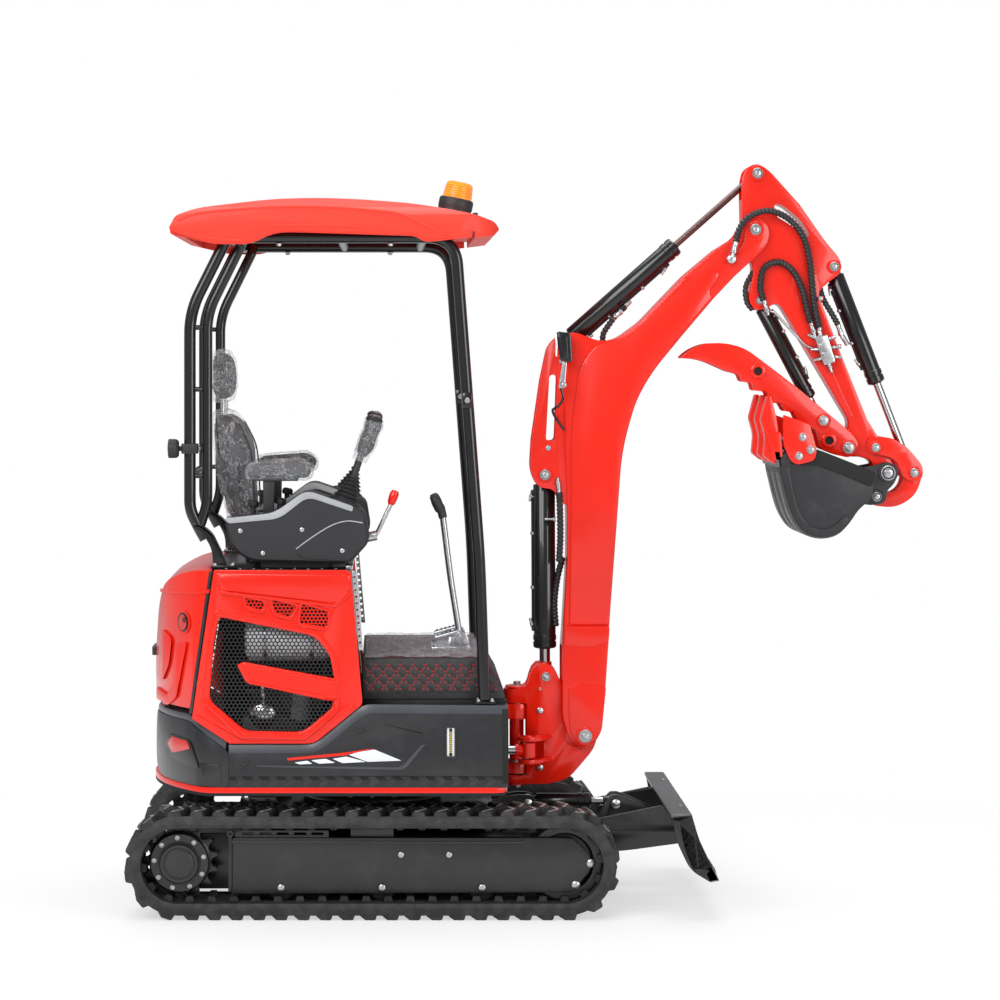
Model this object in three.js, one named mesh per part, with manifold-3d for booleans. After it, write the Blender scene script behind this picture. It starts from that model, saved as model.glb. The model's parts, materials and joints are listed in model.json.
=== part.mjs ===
// Mini excavator on rubber tracks, with canopy, offset boom swing, arm, bucket, thumb and dozer blade.
// Millimetres. +X forward, +Y to the operator's left, +Z up. The ground is Z = 0.
// Every piece is drawn in the machine frame, whose Z axis is the slewing axis; the group is then
// moved back along X so that the origin lies under the middle of the whole machine.
import * as THREE from "three";
import { mergeVertices } from "three/addons/utils/BufferGeometryUtils.js";
import Module from "manifold-3d";

const wasm = await Module();
wasm.setup();

// ---------------------------------------------------------------- driving dimensions
const SEAT_GAP = 0.3; // gap between two pieces that touch
const RUNNING_GAP = 0.4; // radial gap of a pin in its eye
const MOVING_GAP = 5; // side gap between pieces that pass each other

const WIDTH = 1000; // over both tracks
const TRACK = {
  width: 230,
  wheelbase: 1244, // sprocket centre to idler centre
  wheelRadius: 125, // inner face of the belt
  beltThickness: 25,
  lugHeight: 25,
  shoes: 35,
};
const ROLLER = { radius: 44.7, width: 76, places: [-293, 32, 354], axle: 16 };
const SPROCKET = { teeth: 18, hub: 94, cap: 63, thickness: 30 };
const FRAME = { rear: -451, front: 637, bottom: 75, top: 256, width: 110, wall: 12 };
const RING = { radius: 235, top: 397.7 };
const DECK = { bottom: 398, top: 425, front: 436, half: 490, tail: 727 };
const PANEL = { thickness: 25, hoodTop: 1120, skirtTop: 683, doorWall: 14 };
const SWING = { x: 486, pin: 24, lug: 48, lowerLug: [405, 442], upperLug: [590, 640] };
const POST = { bottom: 375, top: 690, half: 60 };
const PLATE_GAP = 32; // half the gap between the plates that hold a cylinder eye
const EYE_HALF = 26; // half the width of a cylinder eye
const ARM_HALF = 45;
const BUCKET = { half: 190, wall: 14, shell: 12, earInner: 64, earOuter: 80 };
const BLADE = { half: 490, armY: 215, armHalf: 24 };
const CANOPY = { half: 500, tube: 19, railZ: 2190, postY: 440, rearY: 385 };

// joint and pin places, machine frame [x, z]
const PIN = {
  boomFoot: [710, 540],
  boomCylinderEye: [580, 735],
  boomCylinderBase: [577, 1410],
  armCylinderBase: [645, 1850],
  armCylinderEye: [1290, 2420],
  armPivot: [1280, 2230],
  bucketCylinderBase: [1547, 2107],
  guideLink: [1684, 1501],
  linkKnee: [1813, 1417],
  bucketPivot: [1722, 1417],
  bucketLink: [1684, 1338],
  thumbPivot: [1593, 1501],
  thumbCylinderBase: [1298, 1993],
  thumbCylinderEye: [1509, 1592],
  bladePivot: [430, 200],
  bladeCylinderBase: [520, 308],
  bladeCylinderEye: [815, 308],
};
const SWING_BASE = [-100, -170];
const SWING_EYE = [516, -125];
const SWING_Z = 498;
const KNEE_BOSS = 30;

const trackHeight = 2 * (TRACK.wheelRadius + TRACK.beltThickness + TRACK.lugHeight);
const axleZ = trackHeight / 2;
const axleX = TRACK.wheelbase / 2;
const trackInnerY = WIDTH / 2 - TRACK.width;
const rearX = -axleX - trackHeight / 2;
const frontX = PIN.linkKnee[0] + KNEE_BOSS;

// ---------------------------------------------------------------- colours
const FINISH = {
  red: [0xf0230f, 0.35, 0.1],
  roof: [0xf04a3a, 0.4, 0.05],
  black: [0x141416, 0.4, 0.3],
  steel: [0x8e9094, 0.3, 0.9],
  chrome: [0xd8dadd, 0.12, 1.0],
  rubber: [0x1b1b1b, 0.9, 0.0],
  plastic: [0x202226, 0.6, 0.0],
  vinyl: [0x1d1d1f, 0.55, 0.0],
  amber: [0xf28a12, 0.2, 0.0],
  engine: [0x55585c, 0.5, 0.5],
};

// ---------------------------------------------------------------- solids
function solid(geometry) {
  const plain = geometry.clone();
  plain.deleteAttribute("normal");
  plain.deleteAttribute("uv");
  const merged = mergeVertices(plain, 1e-4);
  return new wasm.Manifold(
    new wasm.Mesh({
      numProp: 3,
      vertProperties: merged.attributes.position.array,
      triVerts: new Uint32Array(merged.index.array),
    }),
  );
}

function toGeometry(body) {
  const mesh = body.getMesh();
  const geometry = new THREE.BufferGeometry();
  const points = new Float32Array(mesh.numVert * 3);
  for (let i = 0; i < mesh.numVert; i++)
    for (let k = 0; k < 3; k++) points[3 * i + k] = mesh.vertProperties[mesh.numProp * i + k];
  geometry.setAttribute("position", new THREE.BufferAttribute(points, 3));
  geometry.setIndex(new THREE.BufferAttribute(new Uint32Array(mesh.triVerts), 1));
  const flat = geometry.toNonIndexed();
  flat.computeVertexNormals();
  return flat;
}

// A closed outline whose corners [a, b, radius] are rounded where a radius is given.
// A point in line with its neighbours is left out.
function outline(corners) {
  const n = corners.length;
  const points = corners.flatMap(([a, b, radius = 0], i) => {
    const at = new THREE.Vector2(a, b);
    if (radius === 0) return [at];
    const before = new THREE.Vector2(...corners[(i + n - 1) % n].slice(0, 2)).sub(at);
    const after = new THREE.Vector2(...corners[(i + 1) % n].slice(0, 2)).sub(at);
    const reach = Math.min(radius, 0.48 * before.length(), 0.48 * after.length());
    const start = at.clone().add(before.setLength(reach));
    const end = at.clone().add(after.setLength(reach));
    return new THREE.QuadraticBezierCurve(start, at, end).getPoints(reach > 40 ? 3 : 2);
  });
  const bent = points.filter((p, i) => {
    const to = points[(i + 1) % points.length].clone().sub(p);
    const from = p.clone().sub(points[(i + points.length - 1) % points.length]);
    return Math.abs(from.cross(to)) > 1e-6 * from.length() * to.length();
  });
  return new THREE.Shape(bent);
}

const extrude = (corners, depth) =>
  new THREE.ExtrudeGeometry(outline(corners), { depth, bevelEnabled: false });

// Outline in X and Z, thick from y0 to y1, with through holes of other outlines.
function sidePlate(corners, y0, y1, holes = []) {
  const plate = solid(extrude(corners, y1 - y0).rotateX(Math.PI / 2).translate(0, y1, 0));
  return cut(plate, ...holes.map((hole) => sidePlate(hole, y0 - 1, y1 + 1)));
}

// Outline in X and Y, thick from z0 to z1.
const floorPlate = (corners, z0, z1) => solid(extrude(corners, z1 - z0).translate(0, 0, z0));

// Outline in Y and Z, thick from x0 to x1.
function crossPlate(corners, x0, x1) {
  const turn = new THREE.Matrix4().makeBasis(
    new THREE.Vector3(0, 1, 0),
    new THREE.Vector3(0, 0, 1),
    new THREE.Vector3(1, 0, 0),
  );
  return solid(extrude(corners, x1 - x0).applyMatrix4(turn).translate(x0, 0, 0));
}

function box(x0, x1, y0, y1, z0, z1) {
  const size = new THREE.BoxGeometry(x1 - x0, y1 - y0, z1 - z0);
  return solid(size.translate((x0 + x1) / 2, (y0 + y1) / 2, (z0 + z1) / 2));
}

// Round bar between two points.
function bar(from, to, radius, sides = 10, endRadius = radius) {
  const a = new THREE.Vector3(...from);
  const axis = new THREE.Vector3(...to).sub(a);
  const geometry = new THREE.CylinderGeometry(endRadius, radius, axis.length(), sides);
  geometry.translate(0, axis.length() / 2, 0);
  const turn = new THREE.Quaternion().setFromUnitVectors(
    new THREE.Vector3(0, 1, 0),
    axis.normalize(),
  );
  return solid(geometry.applyQuaternion(turn).translate(a.x, a.y, a.z));
}

const barY = ([x, z], y0, y1, radius, sides = 10) => bar([x, y0, z], [x, y1, z], radius, sides);
const barZ = ([x, y], z0, z1, radius, sides = 14) => bar([x, y, z0], [x, y, z1], radius, sides);

// Turned piece: profile of [radius, height] points from axis to axis, standing along +Y at a point.
function turnedY(profile, [x, z], y, sides = 28, up = 1) {
  const points = profile.map(([r, h]) => new THREE.Vector2(r, h));
  const geometry = new THREE.LatheGeometry(points, sides);
  if (up < 0) geometry.rotateX(Math.PI);
  return solid(geometry.translate(x, y, z));
}

function turned(profile, from, direction, sides = 10) {
  const geometry = new THREE.LatheGeometry(profile.map(([r, h]) => new THREE.Vector2(r, h)), sides);
  const turn = new THREE.Quaternion().setFromUnitVectors(
    new THREE.Vector3(0, 1, 0),
    new THREE.Vector3(...direction).normalize(),
  );
  return solid(geometry.applyQuaternion(turn).translate(...from));
}

// Bent tube through corner points, each bend rounded.
function tube(corners, radius, bend = 60, sides = 8) {
  const points = corners.map((p) => new THREE.Vector3(...p));
  const path = new THREE.CurvePath();
  let last = points[0];
  for (let i = 1; i < points.length - 1; i++) {
    const toBefore = points[i - 1].clone().sub(points[i]);
    const toAfter = points[i + 1].clone().sub(points[i]);
    const reach = Math.min(bend, 0.45 * toBefore.length(), 0.45 * toAfter.length());
    const start = points[i].clone().add(toBefore.setLength(reach));
    const end = points[i].clone().add(toAfter.setLength(reach));
    path.add(new THREE.LineCurve3(last, start));
    path.add(new THREE.QuadraticBezierCurve3(start, points[i], end));
    last = end;
  }
  path.add(new THREE.LineCurve3(last, points[points.length - 1]));
  const section = new THREE.Shape();
  for (let k = 0; k < sides; k++) {
    const t = (2 * Math.PI * k) / sides;
    if (k === 0) section.moveTo(radius * Math.cos(t), radius * Math.sin(t));
    else section.lineTo(radius * Math.cos(t), radius * Math.sin(t));
  }
  section.closePath();
  const steps = Math.round(path.getLength() / 130);
  return solid(
    new THREE.ExtrudeGeometry(section, { steps, bevelEnabled: false, extrudePath: path }),
  );
}

// Radius of a hole with flat facets that a round pin turns in.
const HOLE_SIDES = 16;
const holeRadius = (pin, gap = RUNNING_GAP) => (pin + gap) / Math.cos(Math.PI / HOLE_SIDES);

const join = (...bodies) => bodies.flat().reduce((a, b) => a.add(b));
const cut = (body, ...tools) => tools.flat().reduce((a, b) => a.subtract(b), body);
const bothSides = (make) => [make(-1), make(1)];
// Slab between two distances from the middle plane, on the side given by s.
const slab = (s, near, far) => (s > 0 ? [near, far] : [-far, -near]);

// ---------------------------------------------------------------- the scene graph
const group = new THREE.Group();
function piece(name, finish, body, mirrored = false) {
  const [color, roughness, metalness] = FINISH[finish];
  const material = new THREE.MeshStandardMaterial({ color, roughness, metalness });
  const mesh = new THREE.Mesh(toGeometry(body), material);
  mesh.name = name;
  if (mirrored) mesh.scale.y = -1;
  group.add(mesh);
}
function pair(name, finish, body) {
  piece(name + "_right", finish, body);
  piece(name + "_left", finish, body, true);
}

// ---------------------------------------------------------------- cylinders
// Barrel with an eye at its base and a rod with an eye at its far end, along the line from
// base to tip. across is the direction of both pins.
function cylinder({ base, tip, across, barrel, rod, barrelLength, rodLength, eye, pin }) {
  const a = new THREE.Vector3(...base);
  const along = new THREE.Vector3(...tip).sub(a);
  const length = along.length();
  along.normalize();
  const pinAxis = new THREE.Vector3(...across);
  const up = along.clone().cross(pinAxis);
  const place = new THREE.Matrix4().makeBasis(along, pinAxis, up).setPosition(a);
  const put = (geometry) => solid(geometry.applyMatrix4(place));
  const lying = (x0, x1, radius, sides = 12) =>
    new THREE.CylinderGeometry(radius, radius, x1 - x0, sides)
      .rotateZ(-Math.PI / 2)
      .translate((x0 + x1) / 2, 0, 0);
  const disc = (x, radius, half, sides = 12) =>
    new THREE.CylinderGeometry(radius, radius, 2 * half, sides).translate(x, 0, 0);
  const rodStart = length - rodLength;
  const barrelBody = cut(
    join(put(lying(0, barrelLength, barrel)), put(disc(0, eye, EYE_HALF))),
    put(disc(0, holeRadius(pin), barrel + EYE_HALF, HOLE_SIDES)),
    put(lying(eye, barrelLength + 1, holeRadius(rod, SEAT_GAP), HOLE_SIDES)),
    put(
      new THREE.BoxGeometry(2 * eye, 2 * barrel, 2 * barrel).translate(-eye + 0.2 * eye, 0, 0),
    ).subtract(put(disc(0, eye, EYE_HALF))),
  );
  const rodBody = join(put(lying(rodStart, length, rod, 10)), put(disc(length, eye, EYE_HALF)));
  return [barrelBody, rodBody];
}

const inPlane = ([x, z]) => [x, 0, z];
function armCylinder(base, tip, sizes) {
  return cylinder({ base: inPlane(base), tip: inPlane(tip), across: [0, 1, 0], ...sizes });
}

// ================================================================ undercarriage
// Point on the belt at a distance along its inner line, lifted off that line.
function beltPoint(distance, lift) {
  const r = TRACK.wheelRadius;
  const straight = TRACK.wheelbase;
  const half = straight + Math.PI * r;
  const lap = 2 * half;
  let s = ((distance % lap) + lap) % lap;
  const flip = s >= half ? -1 : 1;
  if (s >= half) s -= half;
  if (s < straight) return [flip * (-axleX + s), axleZ + flip * (r + lift)];
  const t = (s - straight) / r;
  return [flip * (axleX + (r + lift) * Math.sin(t)), axleZ + flip * (r + lift) * Math.cos(t)];
}

function trackBelt() {
  const lap = 2 * (TRACK.wheelbase + Math.PI * TRACK.wheelRadius);
  const pitch = lap / TRACK.shoes;
  const outer = [];
  for (let i = 0; i < TRACK.shoes; i++) {
    const at = i * pitch;
    const top = TRACK.beltThickness + TRACK.lugHeight;
    outer.push(beltPoint(at, TRACK.beltThickness));
    outer.push(beltPoint(at + 0.12 * pitch, top));
    outer.push(beltPoint(at + 0.4 * pitch, top));
    outer.push(beltPoint(at + 0.52 * pitch, TRACK.beltThickness));
    outer.push(beltPoint(at + 0.76 * pitch, TRACK.beltThickness));
  }
  const inner = [];
  const turns = 14;
  const innerRadius = TRACK.wheelRadius / Math.cos(Math.PI / (2 * turns));
  for (let side = 0; side < 2; side++)
    for (let k = 0; k <= turns; k++) {
      const t = Math.PI * (k / turns + side);
      const cx = side === 0 ? axleX : -axleX;
      inner.push([
        cx + innerRadius * Math.sin(t),
        axleZ + innerRadius * Math.cos(t),
      ]);
    }
  return sidePlate(outer, -WIDTH / 2, -trackInnerY, [inner]);
}

const frameY = [-WIDTH / 2 + 60, -WIDTH / 2 + 60 + FRAME.width]; // outer and inner face
const wheelY = [frameY[0] + FRAME.wall + SEAT_GAP, frameY[1] - FRAME.wall - SEAT_GAP];

function sideFrame() {
  const nose = axleX + 86;
  const beamCorners = [
    [FRAME.rear, FRAME.bottom],
    [FRAME.front + 4, FRAME.bottom],
    [nose, 120],
    [nose, 178],
    [FRAME.front, 246],
    [FRAME.front - 16, FRAME.top],
    [FRAME.rear, FRAME.top],
  ];
  const innerCorners = [
    [-axleX - 60, axleZ - 40, 40],
    [-axleX + 20, FRAME.bottom, 20],
    ...beamCorners.slice(1, 6),
    [-axleX + 20, FRAME.top, 20],
    [-axleX - 60, axleZ + 40, 40],
  ];
  const outerPlate = sidePlate(beamCorners, frameY[0], frameY[0] + FRAME.wall);
  const innerPlate = sidePlate(innerCorners, frameY[1] - FRAME.wall, frameY[1]);
  const idlerRoom = axleX - TRACK.wheelRadius - 12;
  const topPlate = box(FRAME.rear, idlerRoom, frameY[0] + 1, frameY[1] - 1, 222, FRAME.top);
  const ribs = [FRAME.rear + 8, -130, 200, idlerRoom - 20].map((x) =>
    box(x, x + 12, frameY[0] + 1, frameY[1] - 1, 150, 240),
  );
  const skid = box(-70, 70, wheelY[0], wheelY[1], FRAME.top - 2, trackHeight - 50 - SEAT_GAP);
  const y0 = (frameY[0] + frameY[1] - ROLLER.width) / 2;
  const rollers = ROLLER.places.map((x) => {
    const z = axleZ - TRACK.wheelRadius + SEAT_GAP + ROLLER.radius;
    return join(
      barY([x, z], y0, y0 + ROLLER.width, ROLLER.radius, 16),
      barY([x, z], frameY[0] + 1, frameY[1] - 1, ROLLER.axle, 8),
    );
  });
  return join(outerPlate, innerPlate, topPlate, ribs, skid, rollers);
}

function sprocket() {
  const corners = [];
  for (let i = 0; i < SPROCKET.teeth; i++)
    for (const [share, radius] of [
      [0, 108],
      [0.3, TRACK.wheelRadius - SEAT_GAP],
      [0.5, TRACK.wheelRadius - SEAT_GAP],
      [0.8, 108],
    ]) {
      const t = (2 * Math.PI * (i + share)) / SPROCKET.teeth;
      corners.push([-axleX + radius * Math.cos(t), axleZ + radius * Math.sin(t)]);
    }
  const mid = (frameY[0] + frameY[1]) / 2;
  const centre = [-axleX, axleZ];
  return join(
    sidePlate(corners, mid - SPROCKET.thickness / 2, mid + SPROCKET.thickness / 2),
    barY(centre, mid - 55, mid, SPROCKET.hub, 20),
    barY(centre, mid - 72, mid - 50, SPROCKET.cap, 20),
    barY(centre, mid, frameY[1] - FRAME.wall - SEAT_GAP, 72, 16),
  );
}

function idler() {
  const rim = TRACK.wheelRadius - SEAT_GAP;
  const half = 38;
  const mid = (frameY[0] + frameY[1]) / 2;
  const profile = [
    [0, -half - 4],
    [38, -half - 4],
    [42, -14],
    [88, -10],
    [94, -half],
    [rim, -half],
    [rim, half],
    [94, half],
    [88, 10],
    [42, 14],
    [38, half + 4],
    [0, half + 4],
  ];
  return join(
    turnedY(profile, [axleX, axleZ], mid, 18),
    barY([axleX, axleZ], wheelY[0], wheelY[1], 22, 16),
  );
}

function carbody() {
  const legY = -frameY[1] - SEAT_GAP;
  const core = floorPlate(
    [
      [-270, -210, 60],
      [400, -210, 40],
      [400, 210, 40],
      [-270, 210, 60],
    ],
    140,
    322,
  );
  const legs = [
    [-330, -170],
    [210, 370],
  ].map(([x0, x1]) =>
    crossPlate(
      [
        [-legY, 115],
        [legY, 115],
        [legY, 215],
        [200, 300],
        [-200, 300],
        [-legY, 215],
      ],
      x0,
      x1,
    ),
  );
  const ring = barZ([0, 0], 320, RING.top, RING.radius, 28);
  const [px, pz] = PIN.bladePivot;
  const armOuter = BLADE.armY + BLADE.armHalf;
  const armInner = BLADE.armY - BLADE.armHalf;
  const bladeEars = [-1, 1].flatMap((s) =>
    [
      [armInner - MOVING_GAP - 16, armInner - MOVING_GAP],
      [armOuter + MOVING_GAP, armOuter + MOVING_GAP + 14],
    ].map(([near, far]) =>
      sidePlate(
        [
          [360, 150],
          [px, pz - 34, 20],
          [px + 34, pz, 30],
          [px, pz + 34, 20],
          [360, 250],
        ],
        ...slab(s, near, far),
      ),
    ),
  );
  const bladePins = [-1, 1].map((s) =>
    barY([px, pz], ...slab(s, armInner - MOVING_GAP - 20, armOuter + MOVING_GAP + 18), 16),
  );
  const crossBeam = box(340, 372, -260, 260, 150, 240);
  const [cx, cz] = PIN.bladeCylinderBase;
  const cylinderEars = bothSides((s) =>
    sidePlate(
      [
        [390, 240],
        [500, 250, 20],
        [cx + 30, cz - 24, 16],
        [cx + 30, cz + 24, 24],
        [cx - 30, cz + 30, 20],
        [390, 318],
      ],
      ...slab(s, PLATE_GAP, PLATE_GAP + 14),
    ),
  );
  const cylinderPin = barY([cx, cz], -PLATE_GAP - 18, PLATE_GAP + 18, 12);
  const beamBridge = box(330, 420, -90, 90, 160, 300);
  return join(
    core,
    legs,
    ring,
    crossBeam,
    bladeEars,
    bladePins,
    beamBridge,
    cylinderEars,
    cylinderPin,
  );
}

function dozerBlade() {
  const face = sidePlate(
    [
      [964, 331],
      [1025, 337, 6],
      [1046, 262, 20],
      [1088, 172, 20],
      [1112, 129],
      [1083, 123],
      [1030, 158, 20],
      [998, 240, 30],
      [986, 318],
      [964, 318],
    ],
    -BLADE.half,
    BLADE.half,
  );
  const arms = bothSides((s) =>
    sidePlate(
      [
        [PIN.bladePivot[0] - 26, 176, 20],
        [806, 178, 60],
        [1012, 206],
        [996, 252],
        [806, 246, 60],
        [PIN.bladePivot[0] - 26, 226, 20],
      ],
      ...slab(s, BLADE.armY - BLADE.armHalf, BLADE.armY + BLADE.armHalf),
    ),
  );
  const gussets = bothSides((s) =>
    sidePlate(
      [
        [744, 240],
        [1006, 214],
        [990, 316],
        [950, 326],
        [744, 284],
      ],
      ...slab(s, BLADE.armY - 8, BLADE.armY + 8),
    ),
  );
  const crossTube = box(700, 770, -BLADE.armY, BLADE.armY, 182, 240);
  const [ex, ez] = PIN.bladeCylinderEye;
  const ears = bothSides((s) =>
    sidePlate(
      [
        [708, 200],
        [764, 196],
        [1000, 222],
        [990, 262, 10],
        [ex + 34, ez + 22, 24],
        [ex - 14, ez + 34, 24],
        [ex - 40, ez - 10, 24],
      ],
      ...slab(s, PLATE_GAP + 2, PLATE_GAP + 16),
    ),
  );
  const caps = bothSides((s) =>
    barY([ex, ez], ...slab(s, PLATE_GAP + 10, PLATE_GAP + 24), 17, 16),
  );
  const pinHoles = barY(PIN.bladePivot, -300, 300, holeRadius(16), HOLE_SIDES);
  return cut(join(face, arms, gussets, crossTube, ears, caps), pinHoles);
}

// ================================================================ house
// Floor plan of the house: straight sides, round tail about the slewing axis.
function housePlan(inset = 0, front = DECK.front) {
  const half = DECK.half - inset;
  const tail = DECK.tail - inset;
  const edge = Math.asin(half / tail);
  const steps = 16;
  const corners = [
    [front, -half, 40],
    [front, half, 40],
  ];
  for (let k = 0; k <= steps; k++) {
    const t = edge - (2 * edge * k) / steps;
    corners.push([-tail * Math.cos(t), tail * Math.sin(t), k % steps === 0 ? 60 : 0]);
  }
  return corners;
}

function deck() {
  const plate = floorPlate(housePlan(), DECK.bottom, DECK.top);
  const lugs = [SWING.lowerLug, SWING.upperLug].map(([z0, z1]) =>
    join(
      barZ([SWING.x, 0], z0, z1, SWING.lug, 20),
      floorPlate(
        [
          [330, -100],
          [390, -100],
          [440, -SWING.lug + 6],
          [SWING.x - 20, -SWING.lug + 6],
          [SWING.x - 20, SWING.lug - 6],
          [440, SWING.lug - 6],
          [390, 100],
          [330, 100],
        ],
        z0,
        z1,
      ),
    ),
  );
  const webs = bothSides((s) =>
    sidePlate(
      [
        [150, DECK.top - 2],
        [400, DECK.top - 2],
        [400, SWING.upperLug[1]],
        [330, SWING.upperLug[1]],
      ],
      ...slab(s, 84, 100),
    ),
  );
  const foot = join(
    box(350, 430, -100, 100, DECK.bottom + 2, SWING.lowerLug[1] - 2),
    barZ(SWING_BASE, DECK.top - 2, SWING_Z - 32, 42, 20),
    barZ(SWING_BASE, DECK.top - 2, SWING_Z + EYE_HALF + 12, 14, 20),
  );
  const hole = barZ([SWING.x, 0], 370, 700, holeRadius(SWING.pin), HOLE_SIDES);
  // the swing cylinder passes through the right web
  const cylinderRoom = box(120, 460, -200, -20, SWING_Z - 48, SWING_Z + 60);
  return cut(join(plate, lugs, webs, foot), hole, cylinderRoom);
}

const sideOuter = -DECK.half;
const sideInner = -DECK.half + PANEL.thickness;
const seam = { top: [-513, PANEL.hoodTop + 2], bottom: [-583, 653] };

function counterweight() {
  const silhouette = sidePlate(
    [
      [-460, 425.3],
      [-690, 425.3, 20],
      [-717, 450, 20],
      [-724, 514],
      [-718, 595],
      [-714, 652],
      [-587, 652],
      [-470, 575],
      [-460, 560],
    ],
    -DECK.half + 2,
    DECK.half - 2,
  );
  const plan = floorPlate(housePlan(2, -400), 400, 700);
  return silhouette.intersect(plan);
}

function skirt() {
  const side = sidePlate(
    [
      [-459.7, DECK.top + SEAT_GAP],
      [DECK.front, DECK.top + SEAT_GAP],
      [DECK.front, PANEL.skirtTop],
      [-30, PANEL.skirtTop + 4, 10],
      [-186, 562, 20],
      [-455, 562],
      [-459.7, 555],
    ],
    sideOuter,
    sideOuter + 20,
  );
  const front = crossPlate(
    [
      [sideOuter, DECK.top + SEAT_GAP],
      [-SEAT_GAP, DECK.top + SEAT_GAP],
      [-SEAT_GAP, PANEL.skirtTop],
      [sideOuter, PANEL.skirtTop],
    ],
    DECK.front - 12,
    DECK.front,
  );
  const opening = box(DECK.front - 20, DECK.front + 5, -230, 1, DECK.top - 5, 660);
  const flange = box(-20, DECK.front, sideOuter, -400, PANEL.skirtTop - 12, PANEL.skirtTop);
  const rounded = floorPlate(housePlan(), 300, 800);
  return cut(join(side, front, flange), opening).intersect(rounded);
}

const windowCorners = [
  [-490, 972, 12],
  [-183, 911, 12],
  [-135, 850, 12],
  [-122, 780, 8],
  [-125, 683, 8],
  [-221, 603, 12],
  [-407, 607, 12],
  [-522, 706, 12],
  [-506, 898, 12],
];

function sideCover() {
  const bottom = 566;
  const body = sidePlate(
    [
      [seam.top[0] + 5, PANEL.hoodTop, 6],
      [-68, PANEL.hoodTop, 14],
      [-31, 700],
      [-35, 690, 10],
      [-186, bottom, 20],
      [-456, bottom],
      [seam.bottom[0] + 7, 645],
      [seam.bottom[0] + 7, 653],
    ],
    sideOuter,
    sideInner,
    [windowCorners],
  );
  const diagonal = sidePlate(
    [
      [-420, 853],
      [-405, 872, 10],
      [-110, 818],
      [-110, 768],
      [-170, 772, 10],
    ],
    sideOuter + 2,
    sideInner,
  );
  return join(body, diagonal);
}

function sideGrille() {
  const grow = 14;
  const cx = -310;
  const cz = 790;
  const corners = windowCorners.map(([x, z, r]) => [
    x + grow * Math.sign(x - cx),
    z + grow * Math.sign(z - cz),
    r,
  ]);
  return sidePlate(corners, sideInner + SEAT_GAP, sideInner + 4);
}

function rearDoor() {
  const wall = PANEL.doorWall;
  const bottom = 657;
  const top = PANEL.hoodTop;
  const silhouette = (inset) => [
    [-400, bottom - (inset ? 20 : 0)],
    [-716 + inset, bottom - (inset ? 20 : 0)],
    [-726 + inset, 784, 60],
    [-706 + inset, 986, 40],
    [-683 + inset, 1066, 30],
    [-600 + inset / 2, top - inset, 60],
    [-400, top - inset],
  ];
  const outer = sidePlate(silhouette(0), -DECK.half, DECK.half).intersect(
    floorPlate(housePlan(0, -380), 500, 1300),
  );
  const inner = sidePlate(silhouette(wall), -DECK.half + wall, DECK.half - wall).intersect(
    floorPlate(housePlan(wall, -380), 500, 1300),
  );
  const slope = (seam.top[0] - seam.bottom[0]) / (seam.top[1] - seam.bottom[1]);
  const seamX = (z) => seam.bottom[0] + slope * (z - seam.bottom[1]);
  const beyond = sidePlate(
    [
      [seamX(500), 500],
      [-300, 500],
      [-300, 1300],
      [seamX(1300), 1300],
    ],
    -600,
    600,
  );
  return cut(outer, inner, beyond);
}

function seatDeck() {
  const t = 15;
  const cylinderRoom = box(-60, -30, -230, -110, DECK.top + 5, SWING_Z + 50);
  const plate = sidePlate(
    [
      [seam.top[0] + 8, PANEL.hoodTop],
      [-72, PANEL.hoodTop, 6],
      [-38, 690],
      [-38, DECK.top + SEAT_GAP],
      [-38 - t, DECK.top + SEAT_GAP],
      [-38 - t, 690],
      [-72 - t, PANEL.hoodTop - t],
      [seam.top[0] + 8, PANEL.hoodTop - t],
    ],
    sideInner + SEAT_GAP,
    -sideInner - SEAT_GAP,
  );
  return cut(plate, cylinderRoom);
}

const engine = () => box(-450, -160, -240, 240, DECK.top + SEAT_GAP, 1000);

const floorY = DECK.half - 95;
function floorBox() {
  const top = 812;
  const outer = sidePlate(
    [
      [-37.7, PANEL.skirtTop + SEAT_GAP],
      [DECK.front, PANEL.skirtTop + SEAT_GAP],
      [DECK.front, 698],
      [418, 698],
      [346, top, 20],
      [-30, top],
      [-30, 698],
      [-37.7, 698],
    ],
    -floorY,
    floorY,
  );
  const inner = sidePlate(
    [
      [-20, PANEL.skirtTop - 5],
      [400, PANEL.skirtTop - 5],
      [400, 690],
      [340, top - 8],
      [-20, top - 8],
    ],
    -floorY + 8,
    floorY - 8,
  );
  const flange = box(-37.7, DECK.front, -floorY - 15, floorY + 15, PANEL.skirtTop + SEAT_GAP, 698);
  const flangeRoom = box(-20, 400, -floorY + 8, floorY - 8, 680, 700);
  return cut(join(outer, cut(flange, flangeRoom)), inner);
}

function floorMat() {
  const outer = sidePlate(
    [
      [-29.7, 698.3],
      [430, 698.3],
      [430, 716, 8],
      [360, 830, 20],
      [-29.7, 830],
    ],
    -floorY - 16,
    floorY + 16,
  );
  const inner = sidePlate(
    [
      [-60, 690],
      [433, 690],
      [433, 698.3],
      [418.6, 698.3],
      [346.4, 812.3, 20],
      [-60, 812.3],
    ],
    -floorY - SEAT_GAP,
    floorY + SEAT_GAP,
  );
  return cut(outer, inner);
}

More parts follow.
